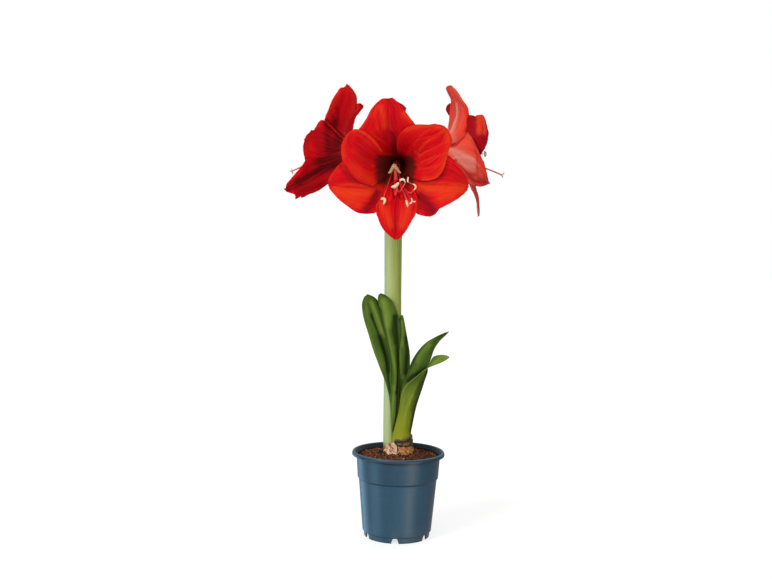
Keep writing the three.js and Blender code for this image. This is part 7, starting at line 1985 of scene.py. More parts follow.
def tepal(tag, name, f, phi, rows, outer, mats):
    n, m = (116, 50) if tag == "front" else (104, 44)
    k = SHAPE[tag][name]
    seed = k["seed"]
    rows = [[r[0], r[1] + 0.16 * r[0] * (r[0] < 20), r[2] - 0.16 * r[0] * (r[0] < 20), *r[3:]] for r in rows]   # the feet grow together
    G, a = tepal_grid(f, phi, rows, outer, n, m)
    t = np.linspace(-1, 1, m)[None]
    L = a.max()
    s = (a / L) + 0 * t                                   # 0 at the foot, 1 at the tip
    if f"{tag}/{name}" in WARP:                           # the margins as they really run
        W = np.array(WARP[f"{tag}/{name}"])
        low, high = ([np.interp(s, W[:, 0], W[:, j]) for j in pair] for pair in ((1, 2), (3, 4)))
        free = np.maximum(smooth(0.80, 1.0, s), k.get("whole", 0))
        weight = np.abs(t) ** 1.6 * (1 - free) + free
        mixed = [(lo * (1 - t) / 2 + hi * (1 + t) / 2) * free + np.where(t < 0, lo, hi) * (1 - free) for lo, hi in zip(low, high)]
        G = G + np.stack([mixed[0] * weight, 0 * weight, mixed[1] * weight], -1)
    across = unit(np.gradient(G, axis=1))
    for sg, s0, s1, mm_ in k.get("grow", []):
        push = mm_ * bump(s0, s0 + 0.35 * (s1 - s0), s1 - 0.35 * (s1 - s0), s1, s) * np.clip(sg * t, 0, 1) ** 2
        G = G + across * (sg * push)[..., None]
    N = grid_normals(G)
    if (N[n // 2 :] @ f.w).mean() < 0:
        N = -N                                            # towards the open mouth
    at = np.abs(t)
    body = smooth(0.24, 0.55, s)                          # nothing moves down in the throat
    tip = 1 - smooth(0.86, 1.0, s)
    h = -k["keel"] * (1 - at) ** 1.3 * body * (0.35 + 0.65 * tip) + 0.5 * k["keel"] * body * tip
    h = h - 0.9 * np.exp(-((t / 0.055) ** 2)) * smooth(0.2, 0.4, s) * tip      # the groove over the midrib
    h = h - k["back"] * at**4 * body * tip
    if "side" in k:                                       # one half lifts more towards the light
        up, dn = k["side"]
        h = h + np.where(t > 0, up, dn) * 3.0 * at**1.5 * body * tip
    # ribs between the veins, then broad waves
    fade = smooth(0.2, 0.45, s) * (1 - smooth(0.9, 1.0, s))
    h = h + 0.13 * np.sin(2 * PI * (t * 7.5 + 0.05 * wave(s, seed + 7))) * fade
    h = h + 0.30 * np.sin(2 * PI * (t * 3.1 + 0.4 + 0.12 * wave(s, seed + 8, (0.7, 1.3)))) * fade * (0.4 + 0.6 * at)
    h = h + 0.8 * wob(G, 34, seed + 3) * body
    # ruffled margins, different on the two sides
    for sg in (1, -1):
        edge = np.clip(sg * t, 0, 1) ** 3.2
        h = h + k["ruf"] * edge * wave(s, seed + 40 + sg, (1.3, 2.4, 3.9, 6.3, 9.7), 0.78) * 1.7 * smooth(0.3, 0.6, s) * (1 - 0.6 * smooth(0.9, 1, s))
    # strokes: folds and ridges, and the tones that go with them, painted light and painted shade among them
    tone, rise = strokes(f"{tag}/{name}", G, a[:, 0] / L, m, N)
    h = h + rise * (1 if tag == "front" else -1)
    # nibbled outline
    jag = 0.35 * k.get("nib", 0.6) / 0.6 * at**8 * (wave(s, seed + 60, (6, 11, 17, 29), 0.9)) * np.sign(t) * smooth(0.35, 0.6, s)
    G = G + N * h[..., None] + across * jag[..., None]
    # thickness: fleshy midrib and foot, thin margins
    th = 0.34 + 0.42 * (1 - at**2.5) + 0.75 * np.exp(-((t / 0.09) ** 2)) * (1 - smooth(0.3, 0.9, s)) - 0.12 * smooth(0.8, 1, s)
    V, P, side = sheet(G, th)
    N3 = grid_normals(G)
    if (N3[n // 2 :] @ f.w).mean() < 0:
        side = 1 - side
    P = outward(V, P)
    tt2 = np.tile((t + 0 * s).ravel(), 2)
    ss2 = np.tile(s.ravel(), 2)
    rho = np.tile((a + 0 * t).ravel(), 2)
    edge = np.tile(((1 - at) * (0.5 * np.abs(np.linalg.norm(G[:, -1] - G[:, 0], axis=-1)))[:, None]).ravel(), 2)  # mm from the nearer margin
    tipd = np.tile((L - a + 0 * t).ravel(), 2)
    st = np.stack([ss2, tt2, side], -1)
    mm = np.stack([rho, np.minimum(edge, tipd), np.full(len(rho), (seed * 0.37) % 1.0)], -1)
    if tag == "front":
        rel = G - f.o
        fx, fy = rel @ f.u + 1.6 * wave(t, seed + 70, (1.2, 2.7, 4.4)), rel @ f.v + 1.4 * wave(t, seed + 71, (1.2, 2.7, 4.4))
        (x0, x1, y0, y1), (d0, d1, d2, d3) = THROAT["box"], THROAT["soft"]
        thr = smooth(x0 - d0, x0 + d0, fx) * (1 - smooth(x1 - d1, x1 + d1, fx)) * smooth(y0 - d2, y0 + d2, fy) * (1 - smooth(y1 - d3, y1 + d3, fy))
        thr = np.clip(1.25 * thr, 0, 1)
        thr = thr * (1 - smooth(38, 48, a + 0 * t))
        # a nearly black core at the bottom of the funnel, painted shade
        core = 1 - smooth(3.0, 11.0, np.hypot(fx - 3, (fy + 2) * 0.7))
        thr = np.clip(0.74 * thr + 0.26 * core * thr, 0, 1)
        thr = thr * (1 - tone[..., 3])
    else:
        # the side flowers' throats darken near the foot, partly their own dark colour and partly painted shade
        thr = 1 - smooth(9, 20, a + 2.2 * wave(t, seed + 70, (1.2, 2.7, 4.4)))
    paint = np.tile(tone[..., :3].reshape(-1, 3), (2, 1))
    extra = np.stack([np.tile(thr.ravel(), 2), np.tile(tone[..., 5].ravel(), 2), np.full(len(rho), k.get("crimson", 0.0))], -1)
    return mesh(f"{tag}_tepal_{name}_skin", V, P, attrs={"st": st, "mm": mm, "paint": paint, "extra": extra}, node=f"{tag}_tepal_{name}", slot="petal", mats=mats)


# the front flower's anthers and filaments as they hang: x, y, w in the flower's frame and the radius, mm
ANTHERS = [
    ("cream", [(13.3, -12.2, 97, 0.55), (13.0, -14.6, 97.5, 0.85), (12.9, -17.2, 98, 0.8), (13.4, -18.6, 98, 0.4)]),
    ("cream", [(18.6, -20.2, 98, 0.45), (20.8, -21.3, 98, 0.9), (22.3, -23.4, 97.5, 1.05), (21.9, -25.6, 97.2, 0.85), (20.3, -27.5, 97, 0.4)]),
    ("cream", [(3.6, -17.6, 90, 0.7), (4.9, -15.9, 90.5, 1.15), (6.9, -15.3, 91, 1.15), (8.8, -16.3, 91, 1.0), (10.0, -18.9, 90.5, 0.55)]),
    # this anther hangs far down in the throat and takes the darker tan copy as painted shade
    ("tan", [(-9.9, -9.4, 60, 1.3), (-7.6, -7.6, 60.5, 1.7), (-5.2, -3.4, 61, 2.0), (-2.9, -0.2, 61.5, 2.2), (-0.6, -3.2, 61, 2.0), (2.4, -7.2, 60.5, 1.5), (5.0, -9.0, 60, 0.9)]),
    ("cream", [(-18.3, -39.8, 86, 0.7), (-16.3, -38.8, 87, 1.3), (-13.7, -39.7, 87.5, 1.5), (-13.8, -42.8, 87, 1.3), (-15.2, -45.7, 86, 0.6)]),
    ("cream", [(-6.2, -24.6, 91, 0.8), (-4.0, -24.4, 92, 1.5), (-1.4, -23.6, 92.5, 2.0), (0.9, -21.2, 92.5, 1.6), (2.9, -19.3, 92, 0.8)]),
    ("cream", [(11.7, -39.8, 92, 0.8), (12.5, -42.1, 93, 1.3), (13.1, -44.9, 93, 1.3), (13.6, -47.6, 92, 0.6)]),
]
FILAMENTS = [
    [(4.2, -18.7, 58, 0.95), (11.4, -28.4, 80, 0.9), (16.6, -31.3, 90, 0.8), (19.8, -27.4, 96.6, 0.5)],
    [(-0.0, -18.9, 55, 0.95), (1.2, -27.6, 76, 0.9), (3.3, -30.7, 84, 0.75), (7.1, -25.0, 89, 0.62), (10.7, -18.7, 90.4, 0.5)],
    [(-0.6, -22.0, 44, 2.2), (-1.2, -12.9, 54, 2.3), (-2.4, -4.6, 59, 1.5)],
    [(-6.8, -13.2, 50, 0.75), (-12.5, -29.2, 70, 0.62), (-14.9, -38.2, 82, 0.5), (-15.1, -41.7, 86.4, 0.5)],
    [(-2.4, -17.9, 52, 1.2), (-1.4, -34.1, 80, 1.25), (-0.1, -29.4, 88, 1.15), (0.2, -25.7, 91, 1.0), (-0.3, -22.9, 92, 0.7)],
    [(4.3, -22.3, 58, 0.95), (9.7, -33.1, 82, 0.85), (12.4, -39.6, 91, 0.6), (12.9, -43.1, 92.6, 0.5)],
]


def anther(f, centre, tilt, depth, length, seed, twist=0.3):
    """a curved two-lobed anther hung by its middle; tilt in degrees in the flower's face"""
    sides, samples = 20, 26
    c, s = math.cos(math.radians(tilt)), math.sin(math.radians(tilt))
    A = unit(c * f.u + s * f.v + depth * f.w)
    B = unit(f.w - A * (f.w @ A))
    q = np.linspace(-1, 1, 9)
    path = [centre + A * (x * length / 2) - B * (0.20 * length * x * x) for x in q]
    rad = [1.55 * math.sqrt(max(1 - abs(x) ** 2.6, 0.03)) for x in q]

    def lobes(a, s_):
        return 0.78 + 0.30 * np.abs(np.cos(a + twist)) ** 0.8 + 0.05 * np.sin(9 * a + 20 * s_ + seed)

    return tube(path, rad, sides, samples, shape=lobes, up=B)


def flower(tag, fl, mats):
    f = Frame(fl["origin"], fl["dir"])
    for name, (phi, outer, rows) in fl["tepals"].items():
        tepal(tag, name, f, phi, rows, outer, [mats["petal_" + tag]])

    # pedicel, ovary and flower tube
    o, foot = fl["ovary"], np.array(fl["foot"], float)
    z0 = 438.9
    path = [[foot[0], foot[1], z0], [foot[0], foot[1], z0 + 7.3], *fl["bend"]] + [list(f.at(0, 0, o + (1 - o) * q)) for q in (0, 0.35, 0.7, 1)]
    rad = [4.6, 4.5] + [4.3 for _ in fl["bend"]] + [5.0, 6.8, 6.9, 6.0]
    n_ov = len(path)

    def stalk_shape(a, s):
        lobe = bump(0.66, 0.80, 0.93, 1.0, s)
        return 1 + 0.085 * lobe * np.cos(3 * a + 0.4) - 0.05 * lobe * np.exp(-((np.sin(1.5 * (a + 0.4))) ** 2) * 40) + 0.012 * np.sin(11 * a + 3 * s)

    bag = Bag()
    Vs, Ps, s, a = tube(path, rad, 40, 90, shape=stalk_shape, caps=False)
    ring = len(Vs) - 40
    # the cup goes on from the last ring: out to the lip, over it and down the bore
    cup = [(6.2, 2.6), (6.5, 6), (7.2, 9), (8.2, 12.0), (8.9, 14.2), (9.1, 15.4), (8.7, 15.5), (7.4, 12.6), (6.3, 9), (5.3, 6), (4.9, 2.4), (3.0, 2.2)]
    base = Vs[ring:].reshape(40, 3)
    rel = base - f.at(0, 0, 1.0)
    ang = np.arctan2(rel @ f.v, rel @ f.u)
    rows_ = [f.at(r * np.cos(ang), r * np.sin(ang), np.full(40, w)) for r, w in cup]
    V = np.concatenate([Vs] + rows_ + [f.at(0.0, 0.0, 2.2)[None], np.array([[foot[0], foot[1], z0]])])
    idx = np.concatenate([[ring + np.arange(40)], [len(Vs) + 40 * i + np.arange(40) for i in range(len(cup))]])
    nxt = np.roll(idx, -1, axis=1)
    quads = np.concatenate([Ps[0], np.stack([idx[:-1], nxt[:-1], nxt[1:], idx[1:]], -1).reshape(-1, 4)])
    top, bottom = len(V) - 2, len(V) - 1
    first = np.arange(40)
    tris = np.concatenate([np.stack([np.full(40, top), idx[-1], nxt[-1]], -1), np.stack([np.full(40, bottom), np.roll(first, -1), first], -1)])
    s_all = np.concatenate([s * 0.9, np.repeat([0.96, 1.02, 1.07, 1.12, 1.17] + [1.2] * (len(cup) - 5), 40), [1.2, 1.2]])
    s_all[-1] = 0
    P = outward(V, [quads, tris])
    inner = np.zeros(len(V))                               # the bore of the tube
    inner[len(Vs) + 40 * 5 : -1] = 1
    bag.add(V, P, st=np.stack([s_all, np.zeros(len(V)), inner], -1))
    bag.build(f"{tag}_pedicel_ovary_skin", node=f"{tag}_pedicel_ovary", slot="stalk", mats=[mats["stalk"]])

    # stamens
    bag = Bag()
    A40 = np.arange(40) * 2 * PI / 40
    ringv, rp = [], []
    for r, w in [(2.3, 2.7), (4.4, 2.7), (4.5, 4.0), (3.9, 5.2), (2.4, 5.0)]:
        ringv.append(f.at(r * np.cos(A40), r * np.sin(A40), np.full(40, w)))
    idx = np.arange(200).reshape(5, 40)
    idx = np.concatenate([idx, idx[:1]])
    nxt = np.roll(idx, -1, axis=1)
    Vc = np.concatenate(ringv)
    bag.add(Vc, outward(Vc, [np.stack([idx[:-1], nxt[:-1], nxt[1:], idx[1:]], -1).reshape(-1, 4)]), st=np.zeros((200, 3)))
    for k, (x, y, w, tilt) in enumerate(fl["stamens"]):
        an = math.radians(60 * k + 30)
        cx, sy = math.cos(an), math.sin(an)
        if tag == "front":
            fp = [(3.3 * cx, 3.3 * sy, 4, 1.0), (3.7 * cx, 3.7 * sy - 0.4, 22, 0.95)] + FILAMENTS[k]
            V, P, s, a = tube([f.at(*p[:3]) for p in fp], [p[3] for p in fp], 14, 90)
            bag.add(V, outward(V, P), mat=0, st=np.stack([s, a, np.full(len(s), k / 6.0)], -1))
            for kind, ap in ANTHERS[:2] if k == 0 else ANTHERS[k + 1 : k + 2]:
                V, P, s, a = tube([f.at(*p[:3]) for p in ap], [p[3] for p in ap], 18, 40, shape=lambda q, s_: 0.86 + 0.24 * np.abs(np.cos(q + 0.6)) ** 0.8 + 0.05 * np.sin(9 * q + 26 * s_ + k))
                bag.add(V, outward(V, P), mat=1 if kind == "cream" else 2, st=np.stack([s, a, np.full(len(s), k / 6.0)], -1))
            if k == 0:                                    # the thin strand between the two halves of the split anther
                V, P, s, a = tube([f.at(13.2, -17.6, 98), f.at(14.4, -18.9, 98), f.at(16.6, -19.6, 98), f.at(19.2, -20.5, 98)], [0.42, 0.34, 0.34, 0.42], 10, 16)
                bag.add(V, outward(V, P), mat=0, st=np.stack([0 * s + 0.95, a, 0 * s], -1))
            continue
        pts = [
            [3.3 * cx, 3.3 * sy, 4], [3.8 * cx, 3.8 * sy - 0.4, 24],
            [x * 0.25 + 3.2 * cx, y * 0.25 + 3.2 * sy - 0.8, 24 + (w - 24) * 0.42],
            [x * 0.72 + 0.8 * cx, y * 0.66 + 0.5 * sy, 24 + (w - 24) * 0.8], [x, y, w],
        ]
        pw = [f.at(*p) for p in pts]
        V, P, s, a = tube(pw, [1.0, 0.95, 0.85, 0.75, 0.5], 14, 60)
        bag.add(V, outward(V, P), mat=0, st=np.stack([s, a, np.full(len(s), w / 100)], -1))
        if tag == "right":                                # two of them hang upright at the mouth
            tilt = {1: 80, 2: 66}.get(k, tilt)
        V, P, s, a = anther(f, f.at(x, y, w + 0.6), tilt, 0.25 * math.sin(3.1 * k), 8.2, k + len(tag))
        bag.add(V, outward(V, P), mat=1, st=np.stack([s, a, np.full(len(s), k / 6.0)], -1))
    bag.build(f"{tag}_stamens_skin", node=f"{tag}_stamens", slot="stamen", mats=[mats["filament_" + tag], mats["anther_green" if tag == "right" else "anther"], mats["anther_shaded_tan"]])

    # style and stigma
    bag = Bag()
    sp = [f.at(*p) for p in fl["style"]]
    V, P, s, a = tube(sp, [1.25 - 0.07 * i for i in range(len(sp))], 16, 90)
    bag.add(V, outward(V, P), mat=0, st=np.stack([s, a, np.zeros(len(s))], -1))
    d = unit(sp[-1] - sp[-2])
    e1 = unit(np.array([0, 0, 1.0]) - d * d[2])
    e2 = np.cross(d, e1)
    for k in range(3):
        an = 2 * PI * k / 3 + 0.5
        o_ = e1 * math.cos(an) + e2 * math.sin(an)
        lobe = [sp[-1] + o_ * x + d * y for x, y in [(0.0, -0.7), (0.9, 0.6), (2.2, 1.25), (3.5, 1.0), (4.5, 0.1)]]
        V, P, s, a = tube(lobe, [0.75, 0.85, 0.85, 0.75, 0.35], 14, 22, shape=lambda q, s_: 1 + 0.08 * np.sin(7 * q + 25 * s_))
        bag.add(V, outward(V, P), mat=1, st=np.stack([s, a, np.ones(len(s))], -1))
    bag.build(f"{tag}_pistil_skin", node=f"{tag}_pistil", slot="pistil", mats=[mats["style_front" if tag == "front" else "style"], mats["stigma"]])


for tag, fl in FLOWERS.items():
    flower(tag, fl, MATS)

# ------------------------------------------------------------------ scape


def build_scape():
    path = [[-8.3, 12.2, 104], [-8.5, 12, 122], [-9.8, 11, 200], [-11.6, 8.5, 320], [-13.4, 4, 439.4]]
    rad = [11.8, 11.8, 11.4, 11.2, 11.6]

    def shape(a, s):
        # faint ribs, a flatter side and a slow unevenness along the stem
        k = 1 + 0.006 * np.sin(13 * a + 2.0 * math.sin(4 * s)) + 0.010 * np.cos(2 * a + 0.6 + 1.3 * s)
        k = k + 0.006 * math.sin(21 * s + 1) + 0.004 * np.sin(5 * a + 9 * s)
        k = k * (1 + 0.02 * smooth(0.93, 0.99, s))
        return k

    V, P, s, a = tube(path, rad, 72, 190, shape=shape, up=[1, 0, 0], caps=False)
    # a domed top, under the flower stalks
    top = V[-72:]
    c = top.mean(0)
    d = np.array([-0.0148, -0.0375, 0.9992])
    extra = [c + (top - c) * k + d * h for k, h in ((0.985, 0.9), (0.93, 1.7), (0.80, 2.2), (0.55, 2.45), (0.25, 2.5))]
    n0 = len(V)
    V = np.concatenate([V] + extra + [[c + d * 2.5], [path[0]]])
    rings = np.concatenate([[n0 - 72 + np.arange(72)], [n0 + 72 * i + np.arange(72) for i in range(5)]])
    nxt = np.roll(rings, -1, axis=1)
    quads = np.concatenate([P[0], np.stack([rings[:-1], nxt[:-1], nxt[1:], rings[1:]], -1).reshape(-1, 4)])
    first = np.arange(72)
    tris = np.concatenate([
        np.stack([np.full(72, len(V) - 2), rings[-1], nxt[-1]], -1),
        np.stack([np.full(72, len(V) - 1), np.roll(first, -1), first], -1)])
    extra_n = len(V) - len(s)
    st = np.stack([np.concatenate([s, np.ones(extra_n)]), np.concatenate([a, np.tile(a[:72], 5), [0, 0]]), np.zeros(len(V))], -1)
    st[-1, 0] = 0
    mesh("scape_skin", V, outward(V, [quads, tris]), attrs={"st": st}, node="scape", slot="scape", mats=[MATS["scape"]])


build_scape()

# ------------------------------------------------------------------ leaves
LEAF = {
    # ridge: extra fold along the middle, mm; wavy: unevenness; mat
    "leaf_1": dict(full=(0.07, 2.2), ridge=1.1, off=0.05, groove=(-0.12, 0.16, 1.5), wavy=0.9, seed=51, mat="leaf_left"),
    "leaf_2": dict(full=(0.20, 1.2), ridge=1.5, off=0.06, groove=None, wavy=0.9, seed=52, mat="leaf_left"),
    "leaf_3": dict(ridge=1.3, off=0.00, groove=None, wavy=0.6, seed=53, mat="leaf_left"),
    "leaf_4": dict(ridge=1.0, off=0.00, groove=None, wavy=0.9, seed=54, mat="leaf_left"),
    "leaf_5": dict(ridge=0.6, off=0.00, groove=None, wavy=0.9, seed=55, mat="leaf_right"),
}


def blade_grid(rows, n, m, sharp=2.0):
    R = curve_rows(rows, n)
    t = np.linspace(-1, 1, m)[None, :, None]
    L, C, Q = R[:, None, 0:3], R[:, None, 3:6], R[:, None, 6:9]
    return C + (L - Q) / 2 * t + ((L + Q) / 2 - C) * np.abs(t) ** sharp


def build_leaf(name, rows):
    k = LEAF[name]
    n, m = 160, 39
    G = blade_grid(rows, n, m, 1.6)
    # the blade ends in a round point
    q = np.clip((np.linspace(0, 1, n) - k.get("tip", 0.96)) / (1 - k.get("tip", 0.96)), 0, 1)
    G = G[:, m // 2 : m // 2 + 1] + (G - G[:, m // 2 : m // 2 + 1]) * np.sqrt(np.clip(1 - 0.97 * q**2, 0, 1))[:, None, None]
    if "full" in k:                              # a fuller, slightly longer end
        wide, longer = k["full"]
        along = np.linspace(0, 1, n)[:, None, None]
        mid_ = G[:, m // 2 : m // 2 + 1]
        G = mid_ + (G - mid_) * (1 + wide * bump(0.80, 0.90, 0.95, 1.0, along)) + np.array([0, 0, longer]) * smooth(0.86, 1.0, along)
    N = grid_normals(G)
    if (N[:, :, 1].mean()) > 0:
        N = -N                                   # towards the front
    t = np.linspace(-1, 1, m)[None]
    at = np.abs(t)
    x = np.cumsum(np.r_[0, np.linalg.norm(np.diff(G[:, m // 2], axis=0), axis=-1)])
    s = (x / x[-1])[:, None] + 0 * t
    width = np.linalg.norm(G[:, 0] - G[:, -1], axis=-1)[:, None]
    body = smooth(0.03, 0.15, s) * (1 - smooth(0.93, 1.0, s))
    h = k["ridge"] * (1 - at) ** 1.1 * body
    h = h - 0.35 * np.exp(-(((t - k["off"]) / 0.05) ** 2)) * body
    h = h + 0.10 * np.sin(2 * PI * (t * 5.5 + 0.04 * wave(s, k["seed"]))) * body
    h = h + k["wavy"] * wob(G, 55, k["seed"]) * smooth(0.1, 0.35, s)
    h = h + 0.5 * k["wavy"] * at**3 * wave(s, k["seed"] + 40, (1.1, 2.2, 3.7)) * np.where(t > 0, 1, -0.8) * body
    if k["groove"]:
        g0, gw, gd = k["groove"]
        h = h - gd * np.exp(-(((t - g0) / gw) ** 2)) * smooth(0.35, 0.6, s) * (1 - smooth(0.92, 1, s))
    tone, rise = strokes(name, G, s[:, 0], m, N)
    G = G + N * (h + rise)[..., None]
    th = (0.55 + 1.15 * (1 - at**2.2)) * (0.75 + 0.25 * (1 - s)) * (1 - 0.45 * smooth(0.9, 1.0, s))
    V, P, side = sheet(G, th)
    edge = (1 - at) * width / 2
    st = np.stack([np.tile(s.ravel(), 2), np.tile((t + 0 * s).ravel(), 2), side], -1)
    mm = np.stack([np.zeros(len(V)), np.tile(edge.ravel(), 2), np.full(len(V), (k["seed"] * 0.29) % 1)], -1)
    paint = np.tile(tone[..., [0, 1, 4]].reshape(-1, 3), (2, 1))
    mesh(name + "_skin", V, outward(V, P), attrs={"st": st, "mm": mm, "paint": paint}, node=name, slot="leaf", mats=[MATS[k["mat"]]])


for name, rows in LEAVES.items():
    build_leaf(name, rows)

# ------------------------------------------------------------------ withered bracts
BRACTS = {
    "spathe_bract_1": [
        [-8.2, -6.0, 437.6, -10.3, -6.7, 437.8, -13.2, -7.1, 437.6], [-4.6, -9.6, 434.2, -9.9, -10.6, 434.6, -15.0, -10.4, 434.2], [-3.4, -11.2, 431, -9.6, -13.4, 432, -15.8, -11.8, 431],
        [-2.2, -13.2, 422, -9.2, -16.2, 422, -16.4, -13.6, 422], [-3.2, -14.0, 411, -8.9, -16.8, 411, -15.0, -14.2, 411],
        [-5.4, -14.4, 402, -8.6, -15.8, 402, -11.8, -14.6, 402], [-7.9, -14.8, 396, -8.4, -15.0, 396, -9.0, -14.8, 396],
    ],
    "spathe_bract_2": [
        [-18.6, 14.2, 437.6, -15.9, 15.1, 437.8, -12.7, 15.4, 437.6], [-21.8, 17.6, 434.2, -16.4, 19.0, 434.6, -11.4, 18.8, 434.2], [-23.2, 18.8, 431, -16.8, 22.4, 432, -10.2, 20.2, 431],
        [-24.0, 20.4, 422, -17.2, 24.8, 422, -10.0, 21.8, 422], [-23.0, 21.4, 411, -17.4, 25.0, 411, -11.4, 22.4, 411],
        [-20.4, 22.0, 401, -17.4, 23.8, 401, -14.2, 22.6, 401], [-18.0, 22.6, 394, -17.5, 22.8, 394, -16.9, 22.6, 394],
    ],
}
for i, (name, rows) in enumerate(BRACTS.items()):
    n, m = 70, 35
    G = blade_grid(rows, n, m)
    t = np.linspace(-1, 1, m)[None]
    s = np.linspace(0, 1, n)[:, None] + 0 * t
    N = grid_normals(G)
    h = 0.45 * np.sin(2 * PI * (3.4 * t + 0.3 * wave(s, 70 + i))) * smooth(0.05, 0.3, s) + 0.8 * wob(G, 9, 72 + i) * smooth(0.1, 0.4, s)
    h = h + 0.9 * np.abs(t) ** 3 * wave(s, 75 + i, (2, 4, 7)) * smooth(0.1, 0.3, s)
    across = unit(np.gradient(G, axis=1))
    G = G + N * h[..., None] + across * (0.4 * np.abs(t) ** 6 * wave(s, 78 + i, (5, 9, 14, 23)) * np.sign(t))[..., None]
    V, P, side = sheet(G, 0.28 + 0.25 * (1 - s))
    st = np.stack([np.tile(s.ravel(), 2), np.tile((t + 0 * s).ravel(), 2), np.full(len(V), 0.3 + 0.4 * i)], -1)
    mesh(name + "_skin", V, outward(V, P), attrs={"st": st}, node=name, slot="spathe", mats=[MATS["spathe"]])

# ------------------------------------------------------------------ bulb
BULB = [
    [0, 52], [8, 52.3], [14, 52.6], [20, 55.5], [24, 60], [28.5, 66], [31, 72], [33, 80], [33, 85], [31.5, 90.5], [28.4, 97], [25.2, 103.2], [22.4, 107.4],
    [20.4, 110.6], [19.1, 112.9], [18.4, 115.2], [17.6, 117.3], [16.3, 119.3], [14.6, 120.6], [12.2, 121.2], [9, 121.2], [4, 121.1], [0, 121.1],
]


def bulb_skin(r, z, a):
    up = smooth(98, 109, z) * (1 - smooth(119.1, 121.0, z))
    front = np.abs(np.angle(np.exp(1j * (a + PI / 2 - 0.06))))
    crease = np.exp(-((front / 0.12) ** 2)) * smooth(104, 111.6, z) * (1 - smooth(117.6, 120.2, z))
    right = np.exp(-((np.angle(np.exp(1j * (a + 0.98))) / 0.55) ** 2))
    left = np.exp(-((np.angle(np.exp(1j * (a + 2.12))) / 0.48) ** 2))
    P = np.stack([np.cos(a) * 20, np.sin(a) * 20, z * 0.5], -1)
    k = 1 + 0.02 * wob(P, 14, 5) + 0.010 * np.sin(23 * a + 0.2 * z) * up
    dr = up * (2.0 * right + 1.8 * left) - 4.2 * crease - 2.2 * up * np.exp(-((np.angle(np.exp(1j * (a + 2.95))) / 0.50) ** 2))
    # edges of the outer scales, one lapping the next
    step = 0.35 * ((a * 2.3 / PI + 0.25 * np.sin(z * 0.12 + 2 * a)) % 1.0)
    # the two shoulders swell in front of the leaves, with a cleft between them
    lift = 4.2 * np.clip(right + 0.95 * left, 0, 1) * bump(9.5, 13.5, 16.5, 21.0, r) * smooth(107, 115.6, z) * (1 - 0.9 * np.exp(-((front / 0.10) ** 2)))
    return r * k + dr + step * up, z + lift + 0.25 * wob(P, 7, 6) * up


